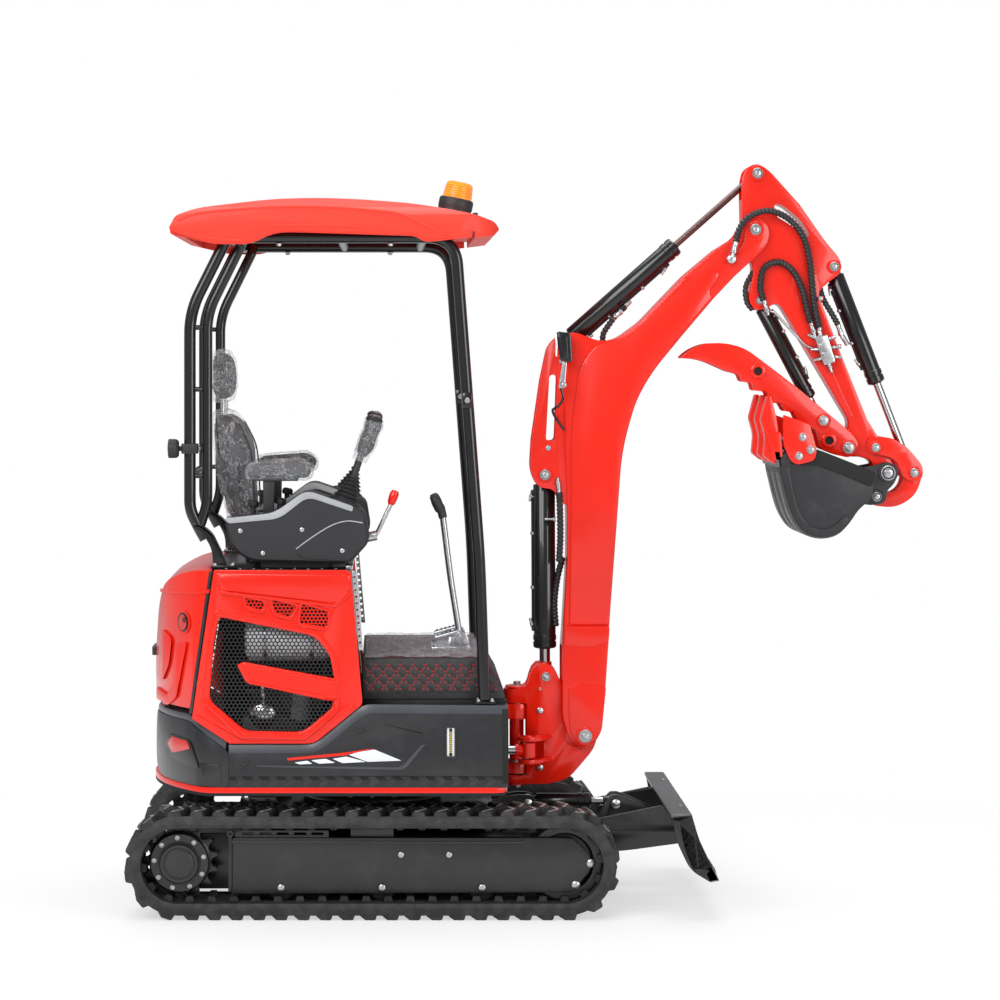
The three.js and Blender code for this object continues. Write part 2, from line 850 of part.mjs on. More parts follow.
// seat, all its pieces stand on the seat deck
const seatTop = 1270;
function seatBase() {
  const z = PANEL.hoodTop + SEAT_GAP;
  return join(
    box(-420, -110, -160, -120, z, z + 30),
    box(-420, -110, 120, 160, z, z + 30),
    box(-400, -130, -170, 170, z + 28, z + 70),
    box(-470, -380, -60, 60, z + 40, z + 70),
    sidePlate(
      [
        [-470, z + 40],
        [-440, z + 40],
        [-452, 1420],
        [-476, 1420],
      ],
      -50,
      50,
    ),
  );
}
function seatCushion() {
  const z = PANEL.hoodTop + 70 + 2 * SEAT_GAP;
  return sidePlate(
    [
      [-395, z],
      [-110, z, 20],
      [-84, 1240, 40],
      [-130, seatTop, 40],
      [-395, seatTop - 10, 20],
    ],
    -230,
    230,
  );
}
function seatBackrest() {
  const body = crossPlate(
    [
      [-215, 1262, 60],
      [215, 1262, 60],
      [225, 1450, 60],
      [180, 1626, 90],
      [-180, 1626, 90],
      [-225, 1450, 60],
    ],
    -540,
    -370,
  );
  const shape = sidePlate(
    [
      [-472, 1262],
      [-390, 1262, 30],
      [-406, 1525, 60],
      [-464, 1626, 30],
      [-528, 1626, 20],
      [-515, 1450, 40],
      [-480, 1300],
    ],
    -300,
    300,
  );
  return cut(
    body.intersect(shape),
    seatBase().translate(-SEAT_GAP, 0, 0),
    seatBase().translate(SEAT_GAP, 0, SEAT_GAP),
    box(-600, -440, -50.5, 50.5, 1200, 1421),
  );
}
function headrest() {
  const pad = sidePlate(
    [
      [-532, 1655, 20],
      [-470, 1655, 30],
      [-458, 1740, 40],
      [-478, 1828, 30],
      [-534, 1828, 30],
    ],
    -130,
    130,
  );
  const posts = bothSides((s) => barZ([-500, s * 70], 1626.3, 1670, 7, 10));
  return join(pad, posts);
}

const consoleY = [-430, -270];
const consoleCorners = [
  [-478, 1284, 20],
  [-316, 1301, 30],
  [-212, 1376, 30],
  [-23, 1311, 20],
  [-7, 1210, 20],
  [-72, 1138, 20],
  [-397, 1145, 30],
  [-456, 1193, 30],
];
function console_() {
  return join(
    sidePlate(consoleCorners, ...consoleY),
    box(-360, -140, -400, -300, PANEL.hoodTop + SEAT_GAP, 1160),
    box(-350, -322, -385, -330, 1290, 1405),
    box(-390, -240, -390, -320, 1403, 1411),
  );
}
const armrest = () =>
  sidePlate(
    [
      [-410, 1411.3, 10],
      [-200, 1411.3, 20],
      [-190, 1450, 30],
      [-230, 1476, 30],
      [-400, 1462, 20],
    ],
    -400,
    -310,
  );
function joystick() {
  const from = [-92, -350, 1325];
  const lean = [0.35, 0, 1];
  const stick = turned(
    [
      [0, 0],
      [52, 0],
      [50, 22],
      [40, 30],
      [42, 44],
      [30, 54],
      [32, 68],
      [20, 80],
      [13, 96],
      [13, 160],
      [24, 178],
      [27, 230],
      [22, 270],
      [30, 290],
      [18, 305],
      [0, 306],
    ],
    from,
    lean,
    16,
  );
  return cut(stick, console_().translate(0, 0, SEAT_GAP), box(-150, 40, -420, -280, 1200, 1300));
}
function bladeLever() {
  const body = join(
    bar([-20, -300, 1215], [14, -300, 1222], 16, 12),
    bar([10, -300, 1216], [68, -300, 1338], 7, 10),
    bar([60, -300, 1322], [80, -300, 1372], 12, 12),
  );
  const seat = console_();
  return cut(body, seat, seat.translate(SEAT_GAP, 0, 0));
}
function travelLevers() {
  const base = 830.3;
  const plinth = box(196, 326, -120, 120, base, base + 18);
  const hub = bar([290, -120, base + 34], [290, 120, base + 34], 24, 16);
  const sticks = bothSides((s) =>
    join(
      bar([292, s * 60, base + 40], [232, s * 60, 1290], 11, 12),
      bar([236, s * 60, 1270], [228, s * 60, 1300], 17, 14),
      bar([232, s * 60, 1290], [204, s * 60, 1340], 15, 12),
    ),
  );
  const pedals = bothSides((s) =>
    sidePlate(
      [
        [210, base + 30],
        [290, base + 52],
        [286, base + 64],
        [206, base + 42],
      ],
      s * 85 - 30,
      s * 85 + 30,
    ),
  );
  return join(plinth, hub, sticks, pedals);
}

// canopy: bent tubes on the hood and on the side skirts
function canopyFrame() {
  const r = CANOPY.tube;
  const roofZ = CANOPY.railZ;
  const yf = CANOPY.postY;
  const yr = CANOPY.rearY;
  const fronts = bothSides((s) =>
    tube(
      [
        [361, s * yf, PANEL.skirtTop + SEAT_GAP + 20],
        [346, s * yf, 1150],
        [268, s * yf, roofZ],
        [-465, s * yf, roofZ],
      ],
      r,
      90,
    ),
  );
  const rears = bothSides((s) =>
    tube(
      [
        [-440, s * yf, roofZ],
        [-470, s * yr, roofZ],
        [-590, s * yr, 1950],
        [-590, s * yr, 1310],
        [-560, s * yr, 1262],
        [-515, s * yr, PANEL.hoodTop + 40],
        [-500, s * yr, PANEL.hoodTop + SEAT_GAP + 8],
      ],
      r,
      60,
    ),
  );
  const inners = bothSides((s) =>
    tube(
      [
        [-430, s * yf, roofZ - 4],
        [-418, s * yr, roofZ - 10],
        [-534, s * yr, 1945],
        [-534, s * yr, 1350],
        [-560, s * yr, 1290],
      ],
      r - 2,
      50,
    ),
  );
  const feet = bothSides((s) => [
    box(-503, -440, s * yr - 42, s * yr + 42, PANEL.hoodTop + SEAT_GAP, PANEL.hoodTop + 14),
    sidePlate(
      [
        [-503, PANEL.hoodTop + 8],
        [-450, PANEL.hoodTop + 8],
        [-520, 1240],
        [-560, 1250],
      ],
      s * yr - 6,
      s * yr + 6,
    ),
    box(330, 405, s * yf - 26, s * yf + 26, PANEL.skirtTop + SEAT_GAP, PANEL.skirtTop + 12),
    bar([361, s * yf, PANEL.skirtTop + 6], [361, s * yf, 760], r, 12),
  ]).flat();
  const crossBars = [
    [-465, roofZ],
    [-100, roofZ],
    [165, roofZ],
  ].map((p) => barY(p, -yf, yf, r - 3, 12));
  const lowBar = barY([-590, 1420], -yr, yr, 14, 12);
  return join(fronts, rears, inners, feet, crossBars, lowBar);
}

const roofTop = [
  [-653, 2200, 16],
  [-636, 2262, 24],
  [-566, 2290, 80],
  [-326, 2328, 100],
  [-40, 2338, 160],
  [160, 2322, 160],
  [330, 2278, 60],
  [400, 2246, 20],
  [412, 2216, 8],
  [392, 2196],
];
function canopyRoof() {
  const under = [
    [339, 2190],
    [170, 2172, 30],
    [138, 2192, 20],
    [-230, 2204, 40],
    [-310, 2204, 40],
    [-390, 2166, 30],
    [-502, 2166, 30],
    [-600, 2188, 20],
  ];
  const side = sidePlate([...roofTop, ...under], -CANOPY.half, CANOPY.half);
  const h = CANOPY.half;
  const front = crossPlate(
    [
      [-h, 2150],
      [h, 2150],
      [h, 2215, 20],
      [h - 34, 2282, 40],
      [h - 200, 2340, 160],
      [-h + 200, 2340, 160],
      [-h + 34, 2282, 40],
      [-h, 2215, 20],
    ],
    -700,
    500,
  );
  const plan = floorPlate(
    [
      [-660, -h + 30, 90],
      [-560, -h, 90],
      [280, -h, 90],
      [420, -h + 70, 90],
      [420, h - 70, 90],
      [280, h, 90],
      [-560, h, 90],
      [-660, h - 30, 90],
    ],
    2100,
    2400,
  );
  const railTop = CANOPY.railZ + CANOPY.tube + SEAT_GAP;
  const railRoom = box(-600, 330, -h + 22, h - 22, 2100, railTop);
  const dome = sidePlate(
    [
      [-580, 2100],
      [-580, 2230],
      [-480, 2276, 60],
      [-40, 2312, 200],
      [220, 2262, 60],
      [240, 2100],
    ],
    -400,
    400,
  );
  return cut(side.intersect(front).intersect(plan), railRoom, dome);
}

function beacon() {
  const lean = [0.21, 0, 1];
  const body = turned(
    [
      [0, 0],
      [48, 0],
      [48, 44],
      [54, 46],
      [54, 62],
      [44, 66],
      [42, 116],
      [34, 128],
      [0, 130],
    ],
    [268, 0, 2262],
    lean,
    24,
  );
  return cut(body, canopyRoof().translate(0, 0, SEAT_GAP));
}

function rearLamp() {
  const y = -CANOPY.rearY;
  const body = join(
    box(-660, -625, y - 40, y + 40, 1478, 1538),
    box(-640, -600, y - 8, y + 8, 1500, 1516),
    barZ([-590, y], 1492, 1524, CANOPY.tube + 8, 14),
  );
  return cut(body, bar([-590, y, 1480], [-590, y, 1540], CANOPY.tube + SEAT_GAP, 16));
}

// ================================================================ front equipment
const pinHole = (at, half, pin) => barY(at, -half, half, holeRadius(pin), HOLE_SIDES);

function swingPost() {
  const silhouette = sidePlate(
    [
      [430, POST.bottom],
      [594, POST.bottom, 30],
      [660, 396, 20],
      [742, 492, 40],
      [756, 540, 40],
      [720, 586, 40],
      [660, 590, 20],
      [644, 689, 20],
      [604, 776, 30],
      [548, 780, 40],
      [527, 740, 20],
      [520, 700, 20],
      [480, POST.top, 20],
      [430, POST.top],
    ],
    -POST.half,
    POST.half,
  );
  const neck = 44;
  const rounded = join(
    barZ([SWING.x, 0], 300, 900, neck, 24),
    floorPlate(
      [
        [SWING.x, -neck],
        [560, -POST.half],
        [800, -POST.half],
        [800, POST.half],
        [560, POST.half],
        [SWING.x, neck],
      ],
      300,
      900,
    ),
  );
  const throat = [
    barZ([SWING.x, 0], SWING.lowerLug[0] - 3, SWING.upperLug[1] + 3, 60, 20),
    box(400, SWING.x + 10, -90, 90, SWING.lowerLug[0] - 3, SWING.upperLug[1] + 3),
  ];
  const pin = barZ([SWING.x, 0], POST.bottom + 2, POST.top + 10, SWING.pin, 24);
  // the slot that the boom cylinder's rod eye moves in
  const eyeSlot = box(440, 700, -PLATE_GAP - 2, PLATE_GAP + 2, 662, 900).subtract(
    box(400, 522, -100, 100, 600, 692),
  );
  const footRoom = box(655, 900, -100, 100, 620, 900);
  const lugPlates = [-1, 1].map((s) =>
    floorPlate(
      [
        [552, -20],
        [604, -20],
        [604, -64, 20],
        [SWING_EYE[0] + 38, SWING_EYE[1] - 22, 20],
        [SWING_EYE[0] + 6, SWING_EYE[1] - 38, 20],
        [SWING_EYE[0] - 34, SWING_EYE[1] - 18, 24],
        [SWING_EYE[0] - 28, SWING_EYE[1] + 24, 20],
        [552, -66],
      ],
      ...slab(s, EYE_HALF + 5, EYE_HALF + 18).map((z) => SWING_Z + z),
    ),
  );
  const caps = [-1, 1].map((s) =>
    barZ(SWING_EYE, ...slab(s, EYE_HALF + 16, EYE_HALF + 22).map((z) => SWING_Z + z), 17),
  );
  const earCaps = bothSides((s) =>
    barY(PIN.boomCylinderEye, ...slab(s, POST.half - 2, POST.half + 8), 22, 20),
  );
  const eyeRoom = barZ(SWING_EYE, SWING_Z - EYE_HALF - 5, SWING_Z + EYE_HALF + 5, 88, 18);
  return cut(
    join(
      cut(silhouette.intersect(rounded), throat, eyeSlot, footRoom, eyeRoom),
      pin,
      lugPlates,
      caps,
      earCaps,
    ),
    pinHole(PIN.boomFoot, 200, 25),
  );
}

const boomBox = [
  [634, 606, 20],
  [634, 823, 20],
  [651, 1125],
  [651, 1292, 60],
  [645, 1450, 60],
  [640, 1700],
  [628, 1878, 20],
  [678, 1888, 20],
  [761, 1856, 30],
  [818, 1865, 40],
  [895, 1921, 20],
  [1043, 2076],
  [1147, 2163],
  [1213, 2203, 20],
  [1247, 2262, 30],
  [1284, 2284, 40],
  [1330, 2240, 40],
  [1322, 2176, 30],
  [1213, 2076],
  [1143, 2002],
  [1029, 1868],
  [936, 1754, 60],
  [882, 1660, 80],
  [835, 1493, 80],
  [818, 1259, 60],
  [798, 991],
  [775, 656],
  [760, 539, 40],
  [711, 490, 40],
  [655, 530, 30],
];
function boom() {
  const half = 70;
  const beam = sidePlate(boomBox, -half, half);
  const footPlates = bothSides((s) =>
    sidePlate(
      [
        [634, 606, 20],
        [634, 823],
        [640, 905],
        [792, 905],
        [775, 656],
        [762, 539, 40],
        [711, 486, 40],
        [655, 530, 30],
      ],
      ...slab(s, POST.half + MOVING_GAP, POST.half + MOVING_GAP + 22),
    ),
  );
  const footRoom = sidePlate(
    [
      [560, 440],
      [860, 440],
      [860, 660],
      [790, 704, 20],
      [690, 716, 20],
      [668, 836],
      [560, 836],
    ],
    -POST.half - MOVING_GAP,
    POST.half + MOVING_GAP,
  );
  const cheeks = bothSides((s) =>
    sidePlate(
      [
        [690, 1300],
        [632, 1312, 20],
        [606, 1362, 20],
        [552, 1368, 40],
        [528, 1426, 40],
        [534, 1526],
        [563, 1727],
        [588, 1844, 30],
        [628, 1880, 20],
        [690, 1880],
      ],
      ...slab(s, ARM_HALF, ARM_HALF + 16),
      [
        [
          [580, 1523, 16],
          [612, 1523, 16],
          [620, 1745, 16],
          [592, 1745, 16],
        ],
      ],
    ),
  );
  const [ax, az] = PIN.armCylinderBase;
  const cylinderRoom = sidePlate(
    [
      [590, az - 62],
      [ax + 40, az - 62, 30],
      [ax + 150, az + 24],
      [ax + 150, az + 120],
      [590, az + 120],
    ],
    -ARM_HALF,
    ARM_HALF,
  );
  const headRoom = sidePlate(
    [
      [1172, 1990],
      [1460, 1990],
      [1460, 2400],
      [1172, 2400],
    ],
    -ARM_HALF - MOVING_GAP,
    ARM_HALF + MOVING_GAP,
  );
  const cylinderPins = [PIN.boomCylinderBase, PIN.armCylinderBase].map((at) =>
    join(
      barY(at, -ARM_HALF - 20, ARM_HALF + 20, 15),
      bothSides((s) => barY(at, ...slab(s, ARM_HALF + 10, ARM_HALF + 25), 22)),
    ),
  );
  const bigPin = barY(PIN.armPivot, -half - 8, half + 8, 22);
  const footPin = barY(
    PIN.boomFoot,
    -POST.half - MOVING_GAP - 34,
    POST.half + MOVING_GAP + 34,
    25,
    24,
  );
  return join(
    cut(join(beam, footPlates), footRoom, cylinderRoom, headRoom),
    cheeks,
    cylinderPins,
    bigPin,
    footPin,
  );
}

function workLight() {
  const body = join(
    box(590, 640, -ARM_HALF - 96, -ARM_HALF - 62, 1828, 1900),
    box(600, 630, -ARM_HALF - 70, -ARM_HALF - 16.3 - 0, 1856, 1872),
  );
  return cut(body, boom().translate(0, -SEAT_GAP, 0));
}

const armCorners = [
  [1237, 2380, 20],
  [1247, 2434, 30],
  [1287, 2456, 30],
  [1328, 2432, 30],
  [1431, 2317],
  [1515, 2196, 20],
  [1570, 2130, 20],
  [1572, 2086, 20],
  [1530, 2056, 20],
  [1492, 2022, 30],
  [1565, 1828],
  [1659, 1593],
  [1712, 1510, 20],
  [1756, 1424, 30],
  [1736, 1384, 30],
  [1700, 1386, 30],
  [1672, 1459, 20],
  [1632, 1470, 10],
  [1593, 1470, 30],
  [1562, 1501, 30],
  [1586, 1530, 20],
  [1600, 1586, 20],
  [1398, 1928, 20],
  [1360, 1990, 30],
  [1310, 1962, 20],
  [1282, 1962, 20],
  [1262, 1990, 20],
  [1268, 2045, 20],
  [1280, 2102, 30],
  [1250, 2180, 60],
  [1240, 2230, 60],
];
function arm() {
  const body = sidePlate(armCorners, -ARM_HALF, ARM_HALF);
  const room = (at, radius) => barY(at, -PLATE_GAP, PLATE_GAP, radius, 16);
  const slots = [
    room(PIN.armCylinderEye, 66),
    sidePlate(
      [
        [1200, 2300],
        [1262, 2352, 20],
        [1330, 2362],
        [1330, 2500],
        [1200, 2500],
      ],
      -PLATE_GAP,
      PLATE_GAP,
    ),
    room(PIN.bucketCylinderBase, 44),
    sidePlate(
      [
        [1504, 2120],
        [1504, 2085],
        [1530, 2020],
        [1620, 2020],
        [1620, 2160],
        [1547, 2160],
      ],
      -PLATE_GAP,
      PLATE_GAP,
    ),
    room(PIN.thumbCylinderBase, 44),
    bar([1298, 0, 1993], [1400, 0, 1799], 31, 16),
  ];
  const stubs = [
    [PIN.bucketCylinderBase, 13],
    [PIN.thumbCylinderBase, 12],
  ].map(([at, radius]) =>
    join(
      barY(at, -ARM_HALF - 1, ARM_HALF + 1, radius),
      bothSides((s) => barY(at, ...slab(s, ARM_HALF - 1, ARM_HALF + 12), 20)),
    ),
  );
  const caps = bothSides((s) =>
    barY(PIN.armCylinderEye, ...slab(s, PLATE_GAP + 6, ARM_HALF + 14), 20),
  );
  return cut(
    join(cut(body, slots), stubs, caps),
    pinHole(PIN.armPivot, 200, 22),
    pinHole(PIN.bucketPivot, 200, 18),
    pinHole(PIN.guideLink, 200, 16),
    pinHole(PIN.thumbPivot, 200, 18),
  );
}

const linkY = [ARM_HALF + MOVING_GAP - 2, ARM_HALF + MOVING_GAP + 10];
function guideLink() {
  const [gx, gz] = PIN.guideLink;
  const [rx, rz] = PIN.linkKnee;
  const plates = bothSides((s) =>
    sidePlate(
      [
        [gx - 30, gz - 18, 24],
        [gx - 26, gz + 34, 26],
        [gx + 50, gz + 36, 40],
        [gx + 104, gz + 4, 40],
        [rx + 32, rz + 20, 24],
        [rx + 26, rz - 30, 26],
        [rx - 30, rz - 26, 24],
        [gx + 66, gz - 40, 40],
        [gx + 22, gz - 26, 20],
      ],
      ...slab(s, ...linkY),
    ),
  );
  const pin = barY(PIN.guideLink, -linkY[1] - 10, linkY[1] + 10, 16);
  // short stubs that carry the bucket link, leaving the middle free for the rod eye
  const stubs = bothSides((s) => barY(PIN.linkKnee, ...slab(s, EYE_HALF + 5, linkY[1] + 10), 15));
  return join(plates, pin, stubs);
}

const hLinkY = [EYE_HALF + 5, linkY[0] - 3];
function bucketLink() {
  const [bx, bz] = PIN.bucketLink;
  const [rx, rz] = PIN.linkKnee;
  const plates = bothSides((s) =>
    sidePlate(
      [
        [rx - 27, rz + 14, 24],
        [rx + 4, rz + 30, 24],
        [rx + 32, rz - 6, 24],
        [rx + 8, rz - 78, 40],
        [bx + 70, bz - 40, 50],
        [bx - 8, bz - 32, 30],
        [bx - 30, bz + 4, 24],
        [bx - 2, bz + 30, 24],
        [bx + 54, bz + 6, 30],
        [rx - 38, rz - 46, 30],
      ],
      ...slab(s, ...hLinkY),
    ),
  );
  const bridge = barY([bx + 66, bz - 8], -hLinkY[0] - 2, hLinkY[0] + 2, 12, 16);
  return cut(join(plates, bridge), pinHole(PIN.linkKnee, 100, 15));
}

// bucket
const bucketCurve = [
  [1340, 1470],
  [1348, 1416],
  [1362, 1356, 40],
  [1384, 1280, 60],
  [1420, 1224, 60],
  [1480, 1204, 60],
  [1540, 1216, 60],
  [1582, 1262, 60],
  [1606, 1300, 30],
  [1640, 1424],
];
function bucket() {
  const [ax, az] = PIN.bucketPivot;
  const [bx, bz] = PIN.bucketLink;
  const sideCorners = [
    ...bucketCurve.slice(0, 9),
    [1650, 1336, 20],
    [1662, 1424, 10],
    [1470, 1500, 20],
    [1376, 1494, 20],
  ];
  const full = sidePlate(sideCorners, -BUCKET.half, BUCKET.half);
  const t = BUCKET.shell;
  const hollow = sidePlate(
    [
      [1340 + t, 1560],
      [1340 + t, 1470],
      [1348 + t, 1418],
      [1362 + t, 1359, 40],
      [1382 + t, 1286, 60],
      [1424 + 4, 1224 + t, 60],
      [1480, 1204 + t, 60],
      [1536, 1216 + t, 60],
      [1574, 1266 + t / 2, 60],
      [1590, 1306, 30],
      [1618, 1400],
      [1618, 1560],
    ],
    -BUCKET.half + BUCKET.wall,
    BUCKET.half - BUCKET.wall,
  );
  const lip = sidePlate(
    [
      [1328, 1490],
      [1346, 1490],
      [1352, 1440],
      [1338, 1440],
    ],
    -BUCKET.half,
    BUCKET.half,
  );
  const ears = bothSides((s) =>
    sidePlate(
      [
        [1612, 1318],
        [bx - 20, bz - 30, 20],
        [bx + 30, bz - 22, 26],
        [bx + 36, bz + 20, 10],
        [ax + 22, az - 36, 20],
        [ax + 38, az + 10, 30],
        [ax + 4, az + 40, 30],
        [ax - 40, az + 26, 20],
        [1640, 1436],
        [1560, 1462],
        [1620, 1400],
      ],
      ...slab(s, BUCKET.earInner, BUCKET.earOuter),
    ),
  );
  const teeth = [-160, 0, 160].map((y) =>
    sidePlate(
      [
        [1305, 1676],
        [1320, 1676],
        [1342, 1600],
        [1346, 1452],
        [1322, 1452],
        [1292, 1476],
        [1284, 1597],
      ],
      y - 22,
      y + 22,
    ),
  );
  const cutters = bothSides((s) =>
    sidePlate(
      [
        [1356, 1614, 6],
        [1443, 1584, 16],
        [1468, 1494, 20],
        [1459, 1462, 20],
        [1402, 1448, 20],
        [1380, 1462, 10],
        [1356, 1515, 20],
      ],
      ...slab(s, BUCKET.half - 2, BUCKET.half + 12),
    ),
  );
  const pin = barY(PIN.bucketPivot, -BUCKET.earOuter - 8, BUCKET.earOuter + 8, 18);
  const caps = bothSides((s) =>
    barY(PIN.bucketLink, ...slab(s, BUCKET.earOuter - 2, BUCKET.earOuter + 8), 20),
  );
  // room behind the back plate for the link's end
  const linkRoom = box(1626, 1720, -BUCKET.earInner, BUCKET.earInner, 1250, 1500);
  return join(cut(full, hollow, linkRoom), lip, ears, teeth, cutters, pin, caps);
}

function thumb() {
  const plateY = [ARM_HALF + MOVING_GAP, ARM_HALF + MOVING_GAP + 14];
  const corners = [
    [1029, 1801, 10],
    [1060, 1828, 30],
    [1110, 1850, 40],
    [1180, 1852, 40],
    [1247, 1834, 40],
    [1331, 1771],
    [1431, 1694],
    [1599, 1553, 20],
    [1632, 1510, 30],
    [1600, 1466, 24],
    [1560, 1474, 20],
    [1500, 1498, 10],
    [1484, 1560],
    [1424, 1592],
    [1412, 1620],
    [1381, 1622],
    [1366, 1650],
    [1331, 1650],
    [1320, 1688],
    [1276, 1692],
    [1270, 1718],
    [1236, 1722],
    [1228, 1746],
    [1190, 1756, 10],
    [1100, 1796, 40],
  ];
  const plates = bothSides((s) => sidePlate(corners, ...slab(s, ...plateY)));
  const tieTube = barY([1289, 1757], -plateY[0] - 2, plateY[0] + 2, 15);
  const pin = barY(PIN.thumbPivot, -plateY[1] - 10, plateY[1] + 10, 18);
  const caps = bothSides((s) =>
    barY(PIN.thumbCylinderEye, ...slab(s, plateY[1] - 2, plateY[1] + 9), 20),
  );
  return join(plates, tieTube, pin, caps);
}

// ================================================================ assembly
pair("side_frame", "black", sideFrame());
pair("track", "rubber", trackBelt());
pair("sprocket", "black", sprocket());
pair("idler", "black", idler());
piece("carbody", "black", carbody());
piece("dozer_blade", "black", dozerBlade());
const [bladeBarrel, bladeRod] = armCylinder(PIN.bladeCylinderBase, PIN.bladeCylinderEye, {
  barrel: 27,
  rod: 15,
  barrelLength: 215,
  rodLength: 240,
  eye: 24,
  pin: 12,
});
piece("blade_cylinder_barrel", "black", bladeBarrel);
piece("blade_cylinder_rod", "chrome", bladeRod);

piece("deck", "red", deck());
piece("counterweight", "black", counterweight());
pair("skirt", "black", skirt());
pair("side_cover", "red", sideCover());
pair("side_grille", "black", sideGrille());
piece("rear_door", "red", rearDoor());
piece("seat_deck", "black", seatDeck());
piece("engine", "engine", engine());
piece("floor_box", "black", floorBox());
piece("floor_mat", "vinyl", floorMat());
piece("seat_base", "black", seatBase());
piece("seat_cushion", "vinyl", seatCushion());
piece("seat_backrest", "vinyl", seatBackrest());
piece("headrest", "vinyl", headrest());
pair("console", "plastic", console_());
pair("armrest", "vinyl", armrest());
pair("joystick", "plastic", joystick());
piece("blade_lever", "black", bladeLever());
piece("travel_levers", "steel", travelLevers());
piece("canopy_frame", "black", canopyFrame());
piece("canopy_roof", "roof", canopyRoof());
piece("beacon", "amber", beacon());
piece("rear_lamp", "black", rearLamp());

piece("swing_post", "red", swingPost());
const [swingBarrel, swingRod] = cylinder({
  base: [...SWING_BASE, SWING_Z],
  tip: [...SWING_EYE, SWING_Z],
  across: [0, 0, 1],
  barrel: 30,
  rod: 15,
  barrelLength: 400,
  rodLength: 480,
  eye: 26,
  pin: 14,
});
piece("swing_cylinder_barrel", "black", swingBarrel);
piece("swing_cylinder_rod", "chrome", swingRod);

piece("boom", "red", boom());
piece("work_light", "black", workLight());
const [boomBarrel, boomRod] = armCylinder(PIN.boomCylinderBase, PIN.boomCylinderEye, {
  barrel: 38,
  rod: 18,
  barrelLength: 586,
  rodLength: 620,
  eye: 28,
  pin: 15,
});
piece("boom_cylinder_barrel", "black", boomBarrel);
piece("boom_cylinder_rod", "chrome", boomRod);

piece("arm", "red", arm());
const [armBarrel, armRod] = armCylinder(PIN.armCylinderBase, PIN.armCylinderEye, {
  barrel: 32,
  rod: 16,
  barrelLength: 500,
  rodLength: 565,
  eye: 28,
  pin: 15,
});
piece("arm_cylinder_barrel", "black", armBarrel);
piece("arm_cylinder_rod", "chrome", armRod);

piece("bucket", "black", bucket());
const [bucketBarrel, bucketRod] = armCylinder(PIN.bucketCylinderBase, PIN.linkKnee, {
  barrel: 29,
  rod: 14,
  barrelLength: 419,
  rodLength: 520,
  eye: 24,
  pin: 13,
});
piece("bucket_cylinder_barrel", "black", bucketBarrel);
piece("bucket_cylinder_rod", "chrome", bucketRod);
piece("guide_link", "red", guideLink());
piece("bucket_link", "red", bucketLink());

piece("thumb", "red", thumb());
const [thumbBarrel, thumbRod] = armCylinder(PIN.thumbCylinderBase, PIN.thumbCylinderEye, {
  barrel: 25,
  rod: 13,
  barrelLength: 370,
  rodLength: 405,
  eye: 22,
  pin: 12,
});
piece("thumb_cylinder_barrel", "black", thumbBarrel);
piece("thumb_cylinder_rod", "chrome", thumbRod);

group.position.x = -(rearX + frontX) / 2;
export default group;
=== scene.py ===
"""Mini excavator: the visible model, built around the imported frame.

Shapes are drawn in millimetres in the machine frame (X forward, Y to the operator's left, Z up, the
slewing axis at X = 0) and moved into the frame's metres when a piece is finished.
"""

import json
import math
import sys

